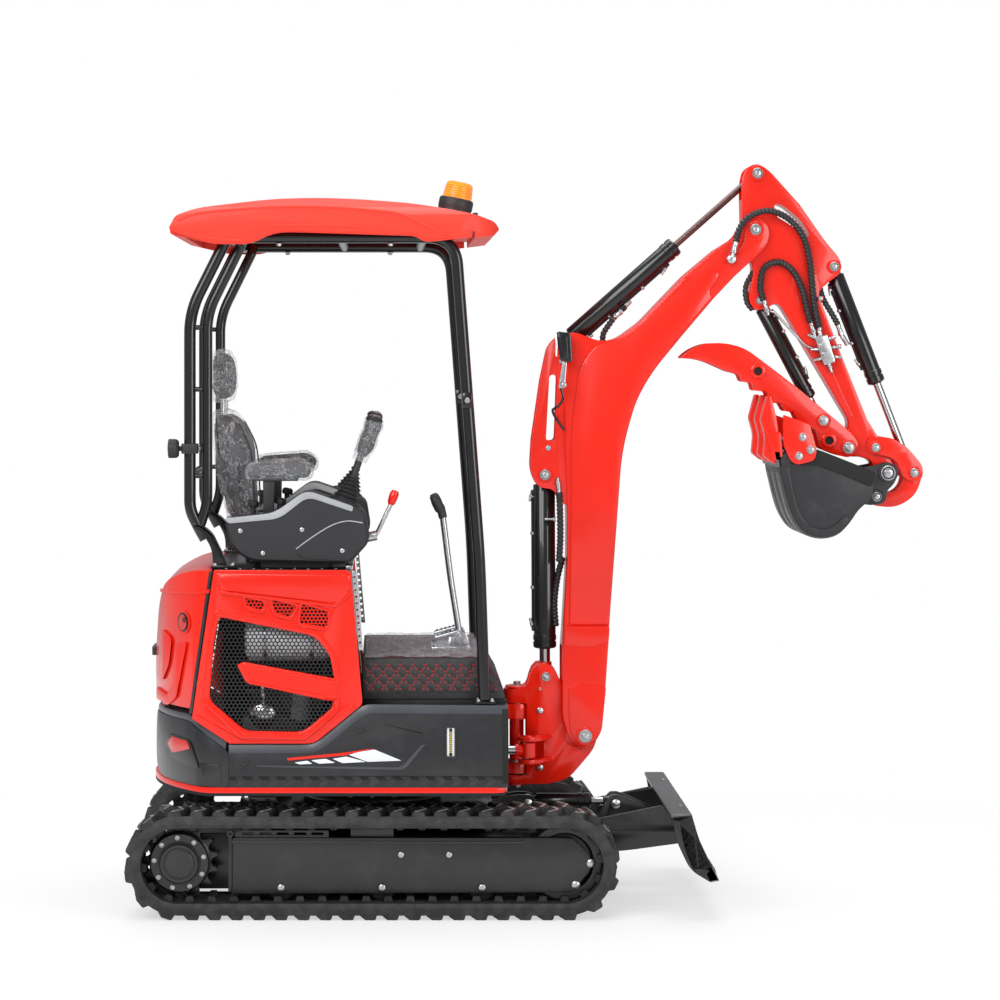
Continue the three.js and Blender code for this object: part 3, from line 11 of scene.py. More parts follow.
import bmesh
import bpy
from mathutils import Matrix, Vector, noise
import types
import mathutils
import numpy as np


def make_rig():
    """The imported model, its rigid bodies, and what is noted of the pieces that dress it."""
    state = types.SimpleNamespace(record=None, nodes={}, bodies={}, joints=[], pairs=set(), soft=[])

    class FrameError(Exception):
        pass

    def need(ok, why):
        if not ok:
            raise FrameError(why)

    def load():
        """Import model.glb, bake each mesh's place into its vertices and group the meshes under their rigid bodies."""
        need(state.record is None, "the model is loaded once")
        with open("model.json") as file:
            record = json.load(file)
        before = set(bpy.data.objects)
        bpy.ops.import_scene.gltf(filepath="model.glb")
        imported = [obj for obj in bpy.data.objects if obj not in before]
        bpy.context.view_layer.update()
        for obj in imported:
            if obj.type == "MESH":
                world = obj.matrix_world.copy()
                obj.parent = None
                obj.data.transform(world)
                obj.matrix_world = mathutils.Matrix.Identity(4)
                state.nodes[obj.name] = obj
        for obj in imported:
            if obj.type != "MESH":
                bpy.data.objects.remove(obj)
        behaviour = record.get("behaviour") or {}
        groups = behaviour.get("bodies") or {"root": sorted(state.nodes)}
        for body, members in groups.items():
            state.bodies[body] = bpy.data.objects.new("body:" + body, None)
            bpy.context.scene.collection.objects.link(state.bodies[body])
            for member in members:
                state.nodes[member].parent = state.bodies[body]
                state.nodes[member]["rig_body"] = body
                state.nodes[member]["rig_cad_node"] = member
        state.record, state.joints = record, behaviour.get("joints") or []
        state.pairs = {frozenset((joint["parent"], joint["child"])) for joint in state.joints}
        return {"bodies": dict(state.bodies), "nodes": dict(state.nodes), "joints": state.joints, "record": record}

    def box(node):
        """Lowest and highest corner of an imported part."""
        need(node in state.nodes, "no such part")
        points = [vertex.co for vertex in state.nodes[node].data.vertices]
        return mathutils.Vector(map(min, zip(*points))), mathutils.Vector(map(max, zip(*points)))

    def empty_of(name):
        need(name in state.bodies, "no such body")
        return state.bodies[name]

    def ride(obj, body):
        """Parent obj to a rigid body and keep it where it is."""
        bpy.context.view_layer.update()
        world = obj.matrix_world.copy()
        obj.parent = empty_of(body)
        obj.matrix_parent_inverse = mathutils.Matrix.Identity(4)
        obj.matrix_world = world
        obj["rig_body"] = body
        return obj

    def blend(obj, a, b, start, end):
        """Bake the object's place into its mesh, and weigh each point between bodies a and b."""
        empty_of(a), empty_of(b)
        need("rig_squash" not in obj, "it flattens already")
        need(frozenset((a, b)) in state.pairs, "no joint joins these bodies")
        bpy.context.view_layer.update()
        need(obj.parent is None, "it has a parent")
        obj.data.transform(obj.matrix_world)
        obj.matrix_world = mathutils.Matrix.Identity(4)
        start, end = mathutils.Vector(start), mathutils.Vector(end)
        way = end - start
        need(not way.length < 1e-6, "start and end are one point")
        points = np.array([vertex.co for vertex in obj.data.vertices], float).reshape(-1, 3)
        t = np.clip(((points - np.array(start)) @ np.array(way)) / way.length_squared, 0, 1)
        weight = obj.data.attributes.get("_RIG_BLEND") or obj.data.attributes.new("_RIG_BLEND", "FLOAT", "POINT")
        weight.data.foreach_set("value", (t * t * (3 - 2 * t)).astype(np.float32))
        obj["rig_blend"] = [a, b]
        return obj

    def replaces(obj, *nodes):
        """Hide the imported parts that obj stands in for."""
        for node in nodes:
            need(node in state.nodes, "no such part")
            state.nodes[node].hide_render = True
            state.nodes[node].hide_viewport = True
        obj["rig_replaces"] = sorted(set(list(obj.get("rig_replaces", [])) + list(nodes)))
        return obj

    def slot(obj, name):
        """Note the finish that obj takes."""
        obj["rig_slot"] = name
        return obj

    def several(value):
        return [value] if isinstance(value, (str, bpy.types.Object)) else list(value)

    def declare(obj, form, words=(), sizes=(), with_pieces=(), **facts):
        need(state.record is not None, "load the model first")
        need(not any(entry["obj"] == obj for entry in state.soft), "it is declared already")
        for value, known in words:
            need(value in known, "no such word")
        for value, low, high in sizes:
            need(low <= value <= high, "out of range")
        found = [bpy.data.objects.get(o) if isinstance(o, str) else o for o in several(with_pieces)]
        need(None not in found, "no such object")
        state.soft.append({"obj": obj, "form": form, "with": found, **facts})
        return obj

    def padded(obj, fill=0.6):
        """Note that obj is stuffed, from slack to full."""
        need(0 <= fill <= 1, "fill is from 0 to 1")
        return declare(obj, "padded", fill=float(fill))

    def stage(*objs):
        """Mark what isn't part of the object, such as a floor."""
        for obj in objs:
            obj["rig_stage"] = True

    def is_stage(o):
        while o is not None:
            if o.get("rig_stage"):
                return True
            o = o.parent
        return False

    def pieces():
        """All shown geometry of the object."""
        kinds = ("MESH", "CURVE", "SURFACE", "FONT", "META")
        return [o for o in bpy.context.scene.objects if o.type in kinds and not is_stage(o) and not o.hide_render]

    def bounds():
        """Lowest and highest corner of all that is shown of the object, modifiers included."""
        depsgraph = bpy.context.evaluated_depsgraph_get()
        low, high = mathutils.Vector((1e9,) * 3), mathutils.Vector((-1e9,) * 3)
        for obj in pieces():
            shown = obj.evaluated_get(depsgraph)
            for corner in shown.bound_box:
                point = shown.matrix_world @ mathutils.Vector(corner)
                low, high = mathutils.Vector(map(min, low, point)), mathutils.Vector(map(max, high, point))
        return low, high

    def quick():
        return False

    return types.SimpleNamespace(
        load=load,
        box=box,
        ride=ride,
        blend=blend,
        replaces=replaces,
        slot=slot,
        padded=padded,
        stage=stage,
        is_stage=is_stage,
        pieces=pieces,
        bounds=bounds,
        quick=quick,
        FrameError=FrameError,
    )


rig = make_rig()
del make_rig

bl_info = {
    "name": "Mini excavator",
    "version": (1, 0, 0),
    "blender": (4, 5, 0),
    "location": "3D View > Sidebar > Excavator",
    "description": "Builds the visible pieces of a mini excavator around its frame",
    "category": "Object",
}

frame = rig.load()
CAD_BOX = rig.bounds()

MM = 0.001
TRACK_LOW, TRACK_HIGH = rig.box("track_right")
TRACK_HEIGHT = (TRACK_HIGH.z - TRACK_LOW.z) / MM
AXLE_X = ((TRACK_HIGH.x - TRACK_LOW.x) / MM - TRACK_HEIGHT) / 2
SHIFT_X = (TRACK_LOW.x + TRACK_HIGH.x) / 2
TO_FRAME = Matrix.Translation((SHIFT_X, 0, 0)) @ Matrix.Scale(MM, 4)

# pins of the front equipment in the machine frame (x, z)
PINS = {
    "boom_foot": (710, 540),
    "boom_rod": (580, 735),
    "boom_barrel": (577, 1410),
    "arm_barrel": (645, 1850),
    "arm_rod": (1290, 2420),
    "arm": (1280, 2230),
    "bucket_barrel": (1547, 2107),
    "guide": (1684, 1501),
    "knee": (1813, 1417),
    "bucket": (1722, 1417),
    "bucket_link": (1684, 1338),
    "thumb": (1593, 1501),
    "thumb_barrel": (1298, 1993),
    "thumb_rod": (1509, 1592),
    "blade": (430, 200),
    "blade_barrel": (520, 308),
    "blade_rod": (815, 308),
}
SWING_X = 486  # swing pin, in front of the slewing axis
SIDE = 490  # half width of the house and of the blade


# ---------------------------------------------------------------- settings
class PaintSettings(bpy.types.PropertyGroup):
    body: bpy.props.FloatVectorProperty(
        name="Body paint", description="Enamel of the house, boom and arm",
        subtype="COLOR", size=4, min=0, max=1, default=(0.86, 0.016, 0.004, 1))
    roof: bpy.props.FloatVectorProperty(
        name="Roof paint", description="Moulded roof of the canopy",
        subtype="COLOR", size=4, min=0, max=1, default=(0.83, 0.05, 0.03, 1))
    black: bpy.props.FloatVectorProperty(
        name="Black paint", description="Enamel of tubes, cylinders and frames",
        subtype="COLOR", size=4, min=0, max=1, default=(0.008, 0.008, 0.009, 1))
    stripe: bpy.props.FloatVectorProperty(
        name="Stripe", description="Pale stripes on the side skirt",
        subtype="COLOR", size=4, min=0, max=1, default=(0.8, 0.82, 0.84, 1))
    thread: bpy.props.FloatVectorProperty(
        name="Thread", description="Stitching of the floor mat",
        subtype="COLOR", size=4, min=0, max=1, default=(0.5, 0.02, 0.025, 1))


class SizeSettings(bpy.types.PropertyGroup):
    edge: bpy.props.FloatProperty(
        name="Edge rounding", description="Radius on the edges of welded plates",
        subtype="DISTANCE", unit="LENGTH", min=0, max=0.01, default=0.0022)
    bolt: bpy.props.FloatProperty(
        name="Bolt head", description="Radius across the corners of a bolt head",
        subtype="DISTANCE", unit="LENGTH", min=0.002, max=0.03, default=0.011)
    hose: bpy.props.FloatProperty(
        name="Hose radius", description="Outer radius of the hydraulic hoses",
        subtype="DISTANCE", unit="LENGTH", min=0.002, max=0.03, default=0.0105)
    shoes: bpy.props.IntProperty(
        name="Track lugs", description="Lugs around each rubber track",
        min=20, max=120, default=46)
    mesh_cell: bpy.props.FloatProperty(
        name="Mesh cell", description="Distance between the holes of the engine mesh",
        subtype="DISTANCE", unit="LENGTH", min=0.005, max=0.05, default=0.0135)
    quilt: bpy.props.FloatProperty(
        name="Quilt diamond", description="Distance between the seams of the floor mat",
        subtype="DISTANCE", unit="LENGTH", min=0.02, max=0.2, default=0.045)


class StageSettings(bpy.types.PropertyGroup):
    lens: bpy.props.FloatProperty(
        name="Lens", description="Focal length of the camera",
        subtype="DISTANCE_CAMERA", unit="CAMERA", min=20, max=300, default=106.9)
    distance: bpy.props.FloatProperty(
        name="Distance", description="From the camera to the middle of the machine",
        subtype="DISTANCE", unit="LENGTH", min=2, max=40, default=10.0)
    height: bpy.props.FloatProperty(
        name="Height", description="Camera height over the floor",
        subtype="DISTANCE", unit="LENGTH", min=0, max=10, default=1.811)
    light: bpy.props.FloatProperty(
        name="Light", description="Strength of the softboxes",
        subtype="POWER", unit="POWER", min=0, max=5000, default=330)


def settings():
    return bpy.context.scene.excavator


class ExcavatorSettings(bpy.types.PropertyGroup):
    paint: bpy.props.PointerProperty(type=PaintSettings)
    size: bpy.props.PointerProperty(type=SizeSettings)
    stage: bpy.props.PointerProperty(type=StageSettings)


# ---------------------------------------------------------------- outlines and paths
def curve(start, corner, end, t):
    """Point of the parabola that rounds a corner."""
    return start * (1 - t) ** 2 + corner * (2 * t * (1 - t)) + end * t * t


def rounded(corners, steps=7):
    """Points of a closed outline. A corner (a, b, reach) is rounded over that reach."""
    points = []
    count = len(corners)
    for i, corner in enumerate(corners):
        here = Vector(corner[:2])
        if len(corner) < 3:
            points.append(here)
            continue
        before = Vector(corners[i - 1][:2]) - here
        after = Vector(corners[(i + 1) % count][:2]) - here
        reach = min(corner[2], 0.48 * before.length, 0.48 * after.length)
        start = here + before.normalized() * reach
        end = here + after.normalized() * reach
        for k in range(steps + 1):
            points.append(curve(start, here, end, k / steps))
    return points


def bent(corners, reach, steps=8):
    """Centre line of a bent pipe through corner points, each bend rounded."""
    corners = [Vector(c) for c in corners]
    path = [corners[0]]
    for a, b, c in zip(corners, corners[1:], corners[2:]):
        r = min(reach, 0.45 * (a - b).length, 0.45 * (c - b).length)
        start = b + (a - b).normalized() * r
        end = b + (c - b).normalized() * r
        for k in range(steps + 1):
            path.append(curve(start, b, end, k / steps))
    return path + [corners[-1]]


def flowing(points, step):
    """Smooth centre line through points, with one point about every step."""
    points = [Vector(p) for p in points]
    ends = [points[0] * 2 - points[1]] + points + [points[-1] * 2 - points[-2]]
    path = []
    for a, b, c, d in zip(ends, ends[1:], ends[2:], ends[3:]):
        count = max(2, round((c - b).length / step))
        for k in range(count):
            t = k / count
            path.append(0.5 * (2 * b + (c - a) * t + (2 * a - 5 * b + 4 * c - d) * t * t
                               + (3 * b - a - 3 * c + d) * t ** 3))
    return path + [points[-1]]


# plane of an outline and the direction it is pulled in
TURN = {
    "x": Matrix(((0, 0, 1, 0), (1, 0, 0, 0), (0, 1, 0, 0), (0, 0, 0, 1))),
    "y": Matrix(((1, 0, 0, 0), (0, 0, 1, 0), (0, 1, 0, 0), (0, 0, 0, 1))),
    "z": Matrix.Identity(4),
}


def along(start, direction):
    """Matrix that stands a shape drawn around Z on a point, facing a direction."""
    turn = Vector(direction).to_track_quat("Z", "Y").to_matrix().to_4x4()
    return Matrix.Translation(start) @ turn


def round_edges(bm, edge, angle):
    """Rounds the edges whose faces meet at more than an angle in degrees."""
    limit = math.radians(angle)
    sharp = [e for e in bm.edges if e.is_manifold and e.calc_face_angle(0) > limit]
    bmesh.ops.bevel(
        bm, geom=sharp, offset=edge, offset_type="OFFSET", segments=2, profile=0.5,
        affect="EDGES", clamp_overlap=True, material=-1)


def join_flat(bm, degrees, verts=()):
    """Joins neighbouring faces that lie in one plane, and points on one line."""
    bmesh.ops.dissolve_limit(
        bm, angle_limit=math.radians(degrees), verts=list(verts), edges=bm.edges[:],
        delimit=set())


def extruded(bm):
    """Makes a closed solid of a sheet and returns the points of its new side."""
    made = bmesh.ops.extrude_face_region(bm, geom=bm.faces[:])
    return [g for g in made["geom"] if isinstance(g, bmesh.types.BMVert)]


def linked(name, data):
    """New object in the scene."""
    o = bpy.data.objects.new(name, data)
    bpy.context.scene.collection.objects.link(o)
    return o


def mesh_object(name, bm):
    """New object in the scene that takes over a mesh."""
    mesh = bpy.data.meshes.new(name)
    bm.to_mesh(mesh)
    bm.free()
    return linked(name, mesh)


class Shape:
    """A piece in the making, in machine millimetres. Every method adds one closed solid."""

    def __init__(self):
        self.bm = bmesh.new()

    def add(self, part, finish=0, matrix=None, edge=0.0, angle=28, smooth=True):
        """Rounds a solid's sharp edges, moves it and merges it into the piece."""
        bmesh.ops.recalc_face_normals(part, faces=part.faces)
        if edge:
            round_edges(part, edge, angle)
        if matrix is not None:
            bmesh.ops.transform(part, matrix=matrix, verts=part.verts)
            if matrix.determinant() < 0:
                bmesh.ops.reverse_faces(part, faces=part.faces)
        for face in part.faces:
            face.material_index = finish
            face.smooth = smooth
        return self.take(part)

    def take(self, bm):
        """Takes over the solids of another mesh as they are."""
        mesh = bpy.data.meshes.new("part")
        bm.to_mesh(mesh)
        bm.free()
        self.bm.from_mesh(mesh)
        bpy.data.meshes.remove(mesh)
        return self

    def plate(self, corners, low, high, axis="y", holes=(), edge=2.0, finish=0, steps=7,
              where=None):
        """Flat outline pulled along an axis, with holes of other outlines."""
        part = bmesh.new()
        rim = []
        for loop in (corners, *holes):
            ring = [part.verts.new((p.x, p.y, 0)) for p in rounded(loop, steps)]
            rim += [part.edges.new((ring[i - 1], ring[i])) for i in range(len(ring))]
        bmesh.ops.triangle_fill(part, use_beauty=True, use_dissolve=False, edges=rim)
        join_flat(part, 1)
        bmesh.ops.translate(part, vec=(0, 0, high - low), verts=extruded(part))
        matrix = TURN[axis] @ Matrix.Translation((0, 0, low))
        return self.add(part, finish, where @ matrix if where else matrix, edge)

    def loft(self, levels, steps=5):
        """Solid through outlines with equally many corners, each (corners, distance)."""
        part = bmesh.new()
        rings = []
        for corners, depth in levels:
            points = [part.verts.new((p.x, p.y, depth)) for p in rounded(corners, steps)]
            rings.append([part.edges.new((points[i - 1], points[i])) for i in range(len(points))])
        for low, high in zip(rings, rings[1:]):
            bmesh.ops.bridge_loops(part, edges=low + high)
        for end in (rings[0], rings[-1]):
            bmesh.ops.triangle_fill(part, use_beauty=True, use_dissolve=False, edges=end)
        join_flat(part, 0.5)
        return self.add(part, 0, TURN["y"])

    def block(self, x, y, z, edge=2.0, finish=0):
        """Box between two X, two Y and two Z."""
        part = bmesh.new()
        bmesh.ops.create_cube(part, size=1)
        size = Matrix.Diagonal((x[1] - x[0], y[1] - y[0], z[1] - z[0], 1))
        middle = Vector((sum(x) / 2, sum(y) / 2, sum(z) / 2))
        bmesh.ops.transform(part, matrix=Matrix.Translation(middle) @ size, verts=part.verts)
        return self.add(part, finish, None, edge)

    def turned(self, profile, at, direction=(0, 1, 0), steps=32, finish=0):
        """Profile of (radius, height) points spun about an axis that starts at a point."""
        part = bmesh.new()
        line = [part.verts.new((r, 0, h)) for r, h in profile]
        edges = [part.edges.new(pair) for pair in zip(line, line[1:])]
        bmesh.ops.spin(
            part, geom=line + edges, cent=(0, 0, 0), axis=(0, 0, 1), dvec=(0, 0, 0),
            angle=math.tau, steps=steps, use_merge=True, use_duplicate=False)
        bmesh.ops.remove_doubles(part, verts=part.verts, dist=1e-3)
        return self.add(part, finish, along(at, direction))

    def disc(self, at, direction, radius, height, finish=0, edge=1.2, steps=32):
        """Round boss or washer that stands on a point."""
        c = min(edge, 0.4 * radius, 0.4 * height)
        profile = [(0, 0), (radius, 0), (radius, height - c), (radius - c, height), (0, height)]
        return self.turned(profile, at, direction, steps, finish)

    def rod(self, start, end, radius, finish=0, steps=24, edge=1.0):
        """Round bar between two points with chamfered ends."""
        start, end = Vector(start), Vector(end)
        length = (end - start).length
        c = min(edge, 0.4 * radius, 0.4 * length)
        profile = [(0, 0), (radius - c, 0), (radius, c), (radius, length - c),
                   (radius - c, length), (0, length)]
        return self.turned(profile, start, end - start, steps, finish)

    def tube(self, path, radius, finish=0, sides=16, swell=None):
        """Round pipe or hose along a centre line. swell(i) scales the radius at point i."""
        path = [Vector(p) for p in path]
        part = bmesh.new()
        count = len(path)
        ways = [(path[min(i + 1, count - 1)] - path[max(i - 1, 0)]).normalized()
                for i in range(count)]
        turn = ways[0].to_track_quat("Z", "Y")
        made = bmesh.ops.create_circle(part, cap_ends=False, radius=radius, segments=sides)
        ring = made["verts"]
        edges = part.edges[:]
        bmesh.ops.edgeloop_fill(part, edges=edges)
        place = Matrix.Translation(path[0]) @ turn.to_matrix().to_4x4()
        if swell:
            place = place @ Matrix.Scale(swell(0), 4)
        bmesh.ops.transform(part, matrix=place, verts=ring)
        for i in range(1, count):
            turn = ways[i - 1].rotation_difference(ways[i]) @ turn
            pulled = bmesh.ops.extrude_edge_only(part, edges=edges)
            ring = [g for g in pulled["geom"] if isinstance(g, bmesh.types.BMVert)]
            edges = [g for g in pulled["geom"] if isinstance(g, bmesh.types.BMEdge)]
            there = Matrix.Translation(path[i]) @ turn.to_matrix().to_4x4()
            if swell:
                there = there @ Matrix.Scale(swell(i), 4)
            bmesh.ops.transform(part, matrix=there @ place.inverted(), verts=ring)
            place = there
        bmesh.ops.edgeloop_fill(part, edges=edges)
        return self.add(part, finish)

    def bolt(self, at, direction, radius=11.0, finish=1, washer=True, height=None):
        """Hexagon bolt head on its washer."""
        way = Vector(direction).normalized()
        at = Vector(at)
        thick = 0.22 * radius
        if washer:
            self.disc(at, way, 1.35 * radius, thick, finish, 0.6, 20)
        part = bmesh.new()
        tall = height or 0.75 * radius
        bmesh.ops.create_cone(
            part, cap_ends=True, segments=6, radius1=radius, radius2=radius, depth=tall)
        lift = (thick if washer else 0) + tall / 2
        self.add(part, finish, along(at + way * lift, way), 0.1 * radius, smooth=False)
        return self.disc(at + way * (lift + tall / 2 - 0.3), way, 0.5 * radius, 0.1 * radius,
                         finish, 0.3, 12)

    def copy_node(self, name, edge=2.0, angle=28):
        """A CAD solid with its flat faces joined and its edges rounded."""
        part = bmesh.new()
        part.from_mesh(frame["nodes"][name].data)
        bmesh.ops.transform(part, matrix=TO_FRAME.inverted(), verts=part.verts)
        bmesh.ops.remove_doubles(part, verts=part.verts, dist=0.02)
        join_flat(part, 0.6, part.verts)
        return self.add(part, 0, None, edge, angle)

    def carve(self, other, how="DIFFERENCE"):
        """Cuts another shape out of this one, or keeps only what both share."""
        a, b = mesh_object("stand_in", self.bm), mesh_object("stand_in", other.bm)
        change = a.modifiers.new("cut", "BOOLEAN")
        change.operation = how
        change.solver = "EXACT"
        change.use_self = True
        change.object = b
        done = a.evaluated_get(bpy.context.evaluated_depsgraph_get())
        self.bm = bmesh.new()
        self.bm.from_mesh(done.to_mesh())
        done.to_mesh_clear()
        for o in (a, b):
            mesh = o.data
            bpy.data.objects.remove(o)
            bpy.data.meshes.remove(mesh)
        return self

    def soften(self, edge, angle=35):
        """Joins flat faces that a cut has split and rounds the sharp edges."""
        bmesh.ops.remove_doubles(self.bm, verts=self.bm.verts, dist=0.01)
        join_flat(self.bm, 0.6, self.bm.verts)
        if edge:
            round_edges(self.bm, edge, angle)
        for face in self.bm.faces:
            face.smooth = True
        return self

    def piece(self, name, body, finishes, nodes=(), slot=None, sharp=34, flip=False):
        """Turns the shape into an object in the frame that rides on a body."""
        place = TO_FRAME @ Matrix.Diagonal((1, -1 if flip else 1, 1, 1))
        bmesh.ops.transform(self.bm, matrix=place, verts=self.bm.verts)
        if flip:
            bmesh.ops.reverse_faces(self.bm, faces=self.bm.faces)
        o = mesh_object(name, self.bm)
        o.data.set_sharp_from_angle(angle=math.radians(sharp))
        for finish in finishes:
            o.data.materials.append(material(finish))
        if body:
            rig.ride(o, body)
        if nodes:
            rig.replaces(o, *nodes)
        if slot:
            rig.slot(o, slot)
        return o


def both_sides(build):
    """Calls a maker for the right side and its mirror image for the left."""
    for flip, side in ((False, "right"), (True, "left")):
        build(side, flip)


# ---------------------------------------------------------------- shaders
class Wire:
    """An output socket that takes part in arithmetic."""

    def __init__(self, shader, socket):
        self.shader = shader
        self.socket = socket

    def maths(self, kind, *others):
        values = dict(enumerate((self, *others)))
        return self.shader.node("Math", {"operation": kind}, values)

    def __add__(self, other):
        return self.maths("ADD", other)

    def __mul__(self, other):
        return self.maths("MULTIPLY", other)

    def __sub__(self, other):
        return self.maths("SUBTRACT", other)

    def __rsub__(self, other):
        return self.shader.node("Math", {"operation": "SUBTRACT"}, {0: other, 1: self})

    def __gt__(self, other):
        return self.maths("GREATER_THAN", other)

    def within(self, low, high):
        """Falls from 1 to 0 between two values, the other way round where low is above high."""
        return self.shader.node(
            "MapRange", {"clamp": True},
            {"Value": self, "From Min": low, "From Max": high, "To Min": 1.0, "To Max": 0.0})


class Shader:
    """A material's node tree."""

    def __init__(self, name):
        self.material = bpy.data.materials.new(name)
        self.material.use_nodes = True
        self.tree = self.material.node_tree
        self.tree.nodes.clear()
        self.end = self.tree.nodes.new("ShaderNodeOutputMaterial")

    def node(self, kind, settings=None, values=None, output=0):
        made = self.tree.nodes.new("ShaderNode" + kind)
        for key, value in (settings or {}).items():
            if key == "stops":
                ramp = made.color_ramp
                ramp.elements[0].position, ramp.elements[0].color = value[0]
                ramp.elements[1].position, ramp.elements[1].color = value[-1]
                for place, color in value[1:-1]:
                    ramp.elements.new(place).color = color
            else:
                setattr(made, key, value)
        for key, value in (values or {}).items():
            if isinstance(value, Wire):
                self.tree.links.new(value.socket, made.inputs[key])
            else:
                made.inputs[key].default_value = value
        return Wire(self, made.outputs[output])

    def place(self):
        return self.node("TexCoord", output="Object")

    def axes(self):
        split = self.node("SeparateXYZ", values={0: self.place()})
        outputs = split.socket.node.outputs
        return [Wire(self, outputs[i]) for i in range(3)]

    def noise(self, scale, detail=3.0, roughness=0.5):
        return self.node(
            "TexNoise", None,
            {"Vector": self.place(), "Scale": scale, "Detail": detail, "Roughness": roughness})

    def cells(self, scale, feature="F1", where=None):
        return self.node(
            "TexVoronoi", {"feature": feature}, {"Vector": where or self.place(), "Scale": scale})

    def mix(self, share, a, b):
        return self.node("Mix", {"data_type": "RGBA"}, {0: share, 6: a, 7: b}, output=2)

    def bump(self, height, strength=0.3, distance=0.001):
        return self.node(
            "Bump", None, {"Height": height, "Strength": strength, "Distance": distance})

    def surface(self, **values):
        """Principled surface. Words of a socket's name are joined by an underscore."""
        named = {key.replace("_", " "): value for key, value in values.items()}
        if "IOR Level" in named:
            named["Specular IOR Level"] = named.pop("IOR Level")
        self.tree.links.new(
            self.node("BsdfPrincipled", None, named).socket, self.end.inputs["Surface"])
        return self.material


def enamel(name, color, shade=0.82, gloss=0.24, coat=0.35, metal=0.0, peel=0.04, specular=0.3):
    """Sprayed paint with a faint unevenness and slightly dull patches."""
    s = Shader(name)
    drift = s.noise(2.3, 4)
    dark = [c * shade for c in color[:3]] + [1]
    cloud = s.noise(14, 5, 0.6)
    return s.surface(
        Base_Color=s.mix(drift.within(0.65, 0.35), tuple(color), tuple(dark)),
        Roughness=cloud * 0.12 + (gloss - 0.05), Metallic=metal,
        Coat_Weight=coat, Coat_Roughness=0.06, IOR_Level=specular,
        Normal=s.bump(s.noise(650, 2), peel, 0.0005))


def body_paint():
    return enamel("red_paint", settings().paint.body)


def roof_paint():
    return enamel("roof_paint", settings().paint.roof, 0.9, 0.46, 0.08, specular=0.2)


def black_paint():
    return enamel("black_paint", settings().paint.black, 0.7, 0.24, 0.5)


def satin_black():
    """Textured black of the frame, skirts and castings, with a little dust on it."""
    s = Shader("satin_black")
    base = settings().paint.black
    dust = s.noise(9, 6, 0.62).within(0.72, 0.5) * 0.16
    return s.surface(
        Base_Color=s.mix(dust, tuple(c * 1.5 for c in base[:3]) + (1,), (0.08, 0.08, 0.085, 1)),
        Roughness=s.noise(30, 4) * 0.2 + 0.26, Coat_Weight=0.25, Coat_Roughness=0.2,
        Normal=s.bump(s.noise(900, 3), 0.14, 0.0006))


def chrome_rod():
    s = Shader("chrome_rod")
    scratch = s.noise(340, 3)
    return s.surface(
        Base_Color=(0.5, 0.505, 0.52, 1), Metallic=1.0, Roughness=scratch * 0.08 + 0.1,
        Normal=s.bump(scratch, 0.03, 0.0003))


def zinc_steel():
    s = Shader("zinc_steel")
    spangle = s.cells(160)
    tone = s.mix(spangle, (0.4, 0.405, 0.415, 1), (0.62, 0.625, 0.63, 1))
    return s.surface(
        Base_Color=tone, Metallic=1.0, Roughness=s.noise(90, 4) * 0.25 + 0.2,
        Normal=s.bump(s.noise(400, 3), 0.06, 0.0004))


def track_rubber():
    """Moulded rubber, greyer where it has been rubbed."""
    s = Shader("track_rubber")
    dust = s.noise(22, 6, 0.65).within(0.62, 0.42)
    return s.surface(
        Base_Color=s.mix(dust * 0.35, (0.012, 0.012, 0.013, 1), (0.07, 0.07, 0.072, 1)),
        Roughness=s.noise(60, 4) * 0.25 + 0.5,
        Normal=s.bump(s.noise(420, 4) + s.noise(60, 3) * 0.6, 0.25, 0.0012))


def worn_rubber():
    """Tops of the lugs, scuffed pale."""
    s = Shader("worn_rubber")
    dust = s.noise(70, 6, 0.7).within(0.66, 0.36)
    return s.surface(
        Base_Color=s.mix(dust, (0.14, 0.135, 0.13, 1), (0.5, 0.49, 0.47, 1)),
        Roughness=0.6, Normal=s.bump(s.noise(500, 4), 0.3, 0.001))


def moulded_plastic(name="black_plastic", color=(0.014, 0.014, 0.016, 1), rough=0.42):
    s = Shader(name)
    grain = s.cells(1400)
    return s.surface(
        Base_Color=s.mix(s.noise(6, 4).within(0.7, 0.3) * 0.4, color, tuple(
            min(1, c * 1.7) for c in color[:3]) + (1,)),
        Roughness=s.noise(40, 4) * 0.18 + rough, Normal=s.bump(grain, 0.18, 0.0004))


def grey_plastic():
    return moulded_plastic("grey_plastic", (0.3, 0.31, 0.32, 1), 0.36)


def black_vinyl():
    """Grained seat vinyl."""
    s = Shader("black_vinyl")
    grain = s.cells(420, "DISTANCE_TO_EDGE")
    return s.surface(
        Base_Color=s.mix(s.noise(12, 4), (0.011, 0.011, 0.013, 1), (0.03, 0.03, 0.034, 1)),
        Roughness=s.noise(50, 4) * 0.2 + 0.32, Coat_Weight=0.15, Coat_Roughness=0.3,
        Normal=s.bump(grain.within(0.12, 0.0) * -1, 0.3, 0.0006))


def clear_film():
    """Wrinkled packing film: almost clear, milky along its folds; its white veil is partly the film's milkiness and
    partly painted sheen of the crinkles.
    """
    s = Shader("clear_film")
    warp = s.node("VectorMath", {"operation": "ADD"}, {
        0: s.place(),
        1: s.node("VectorMath", {"operation": "SCALE"},
                  {0: s.node("TexNoise", None, {"Scale": 9.0, "Detail": 3.0}, output="Color"),
                   "Scale": 0.09})})
    crease = s.cells(17, "DISTANCE_TO_EDGE", warp).within(0.14, 0.0)
    fine = s.cells(48, "DISTANCE_TO_EDGE", warp).within(0.16, 0.0)
    fold = 1 - crease * 0.5 - fine * 0.5
    return s.surface(
        Base_Color=(0.82, 0.84, 0.87, 1), Roughness=0.12, IOR=1.45,
        Alpha=fold * fold * 0.62 + 0.1,
        Normal=s.bump(crease + fine * 0.6 + s.noise(40, 4), 0.9, 0.004))


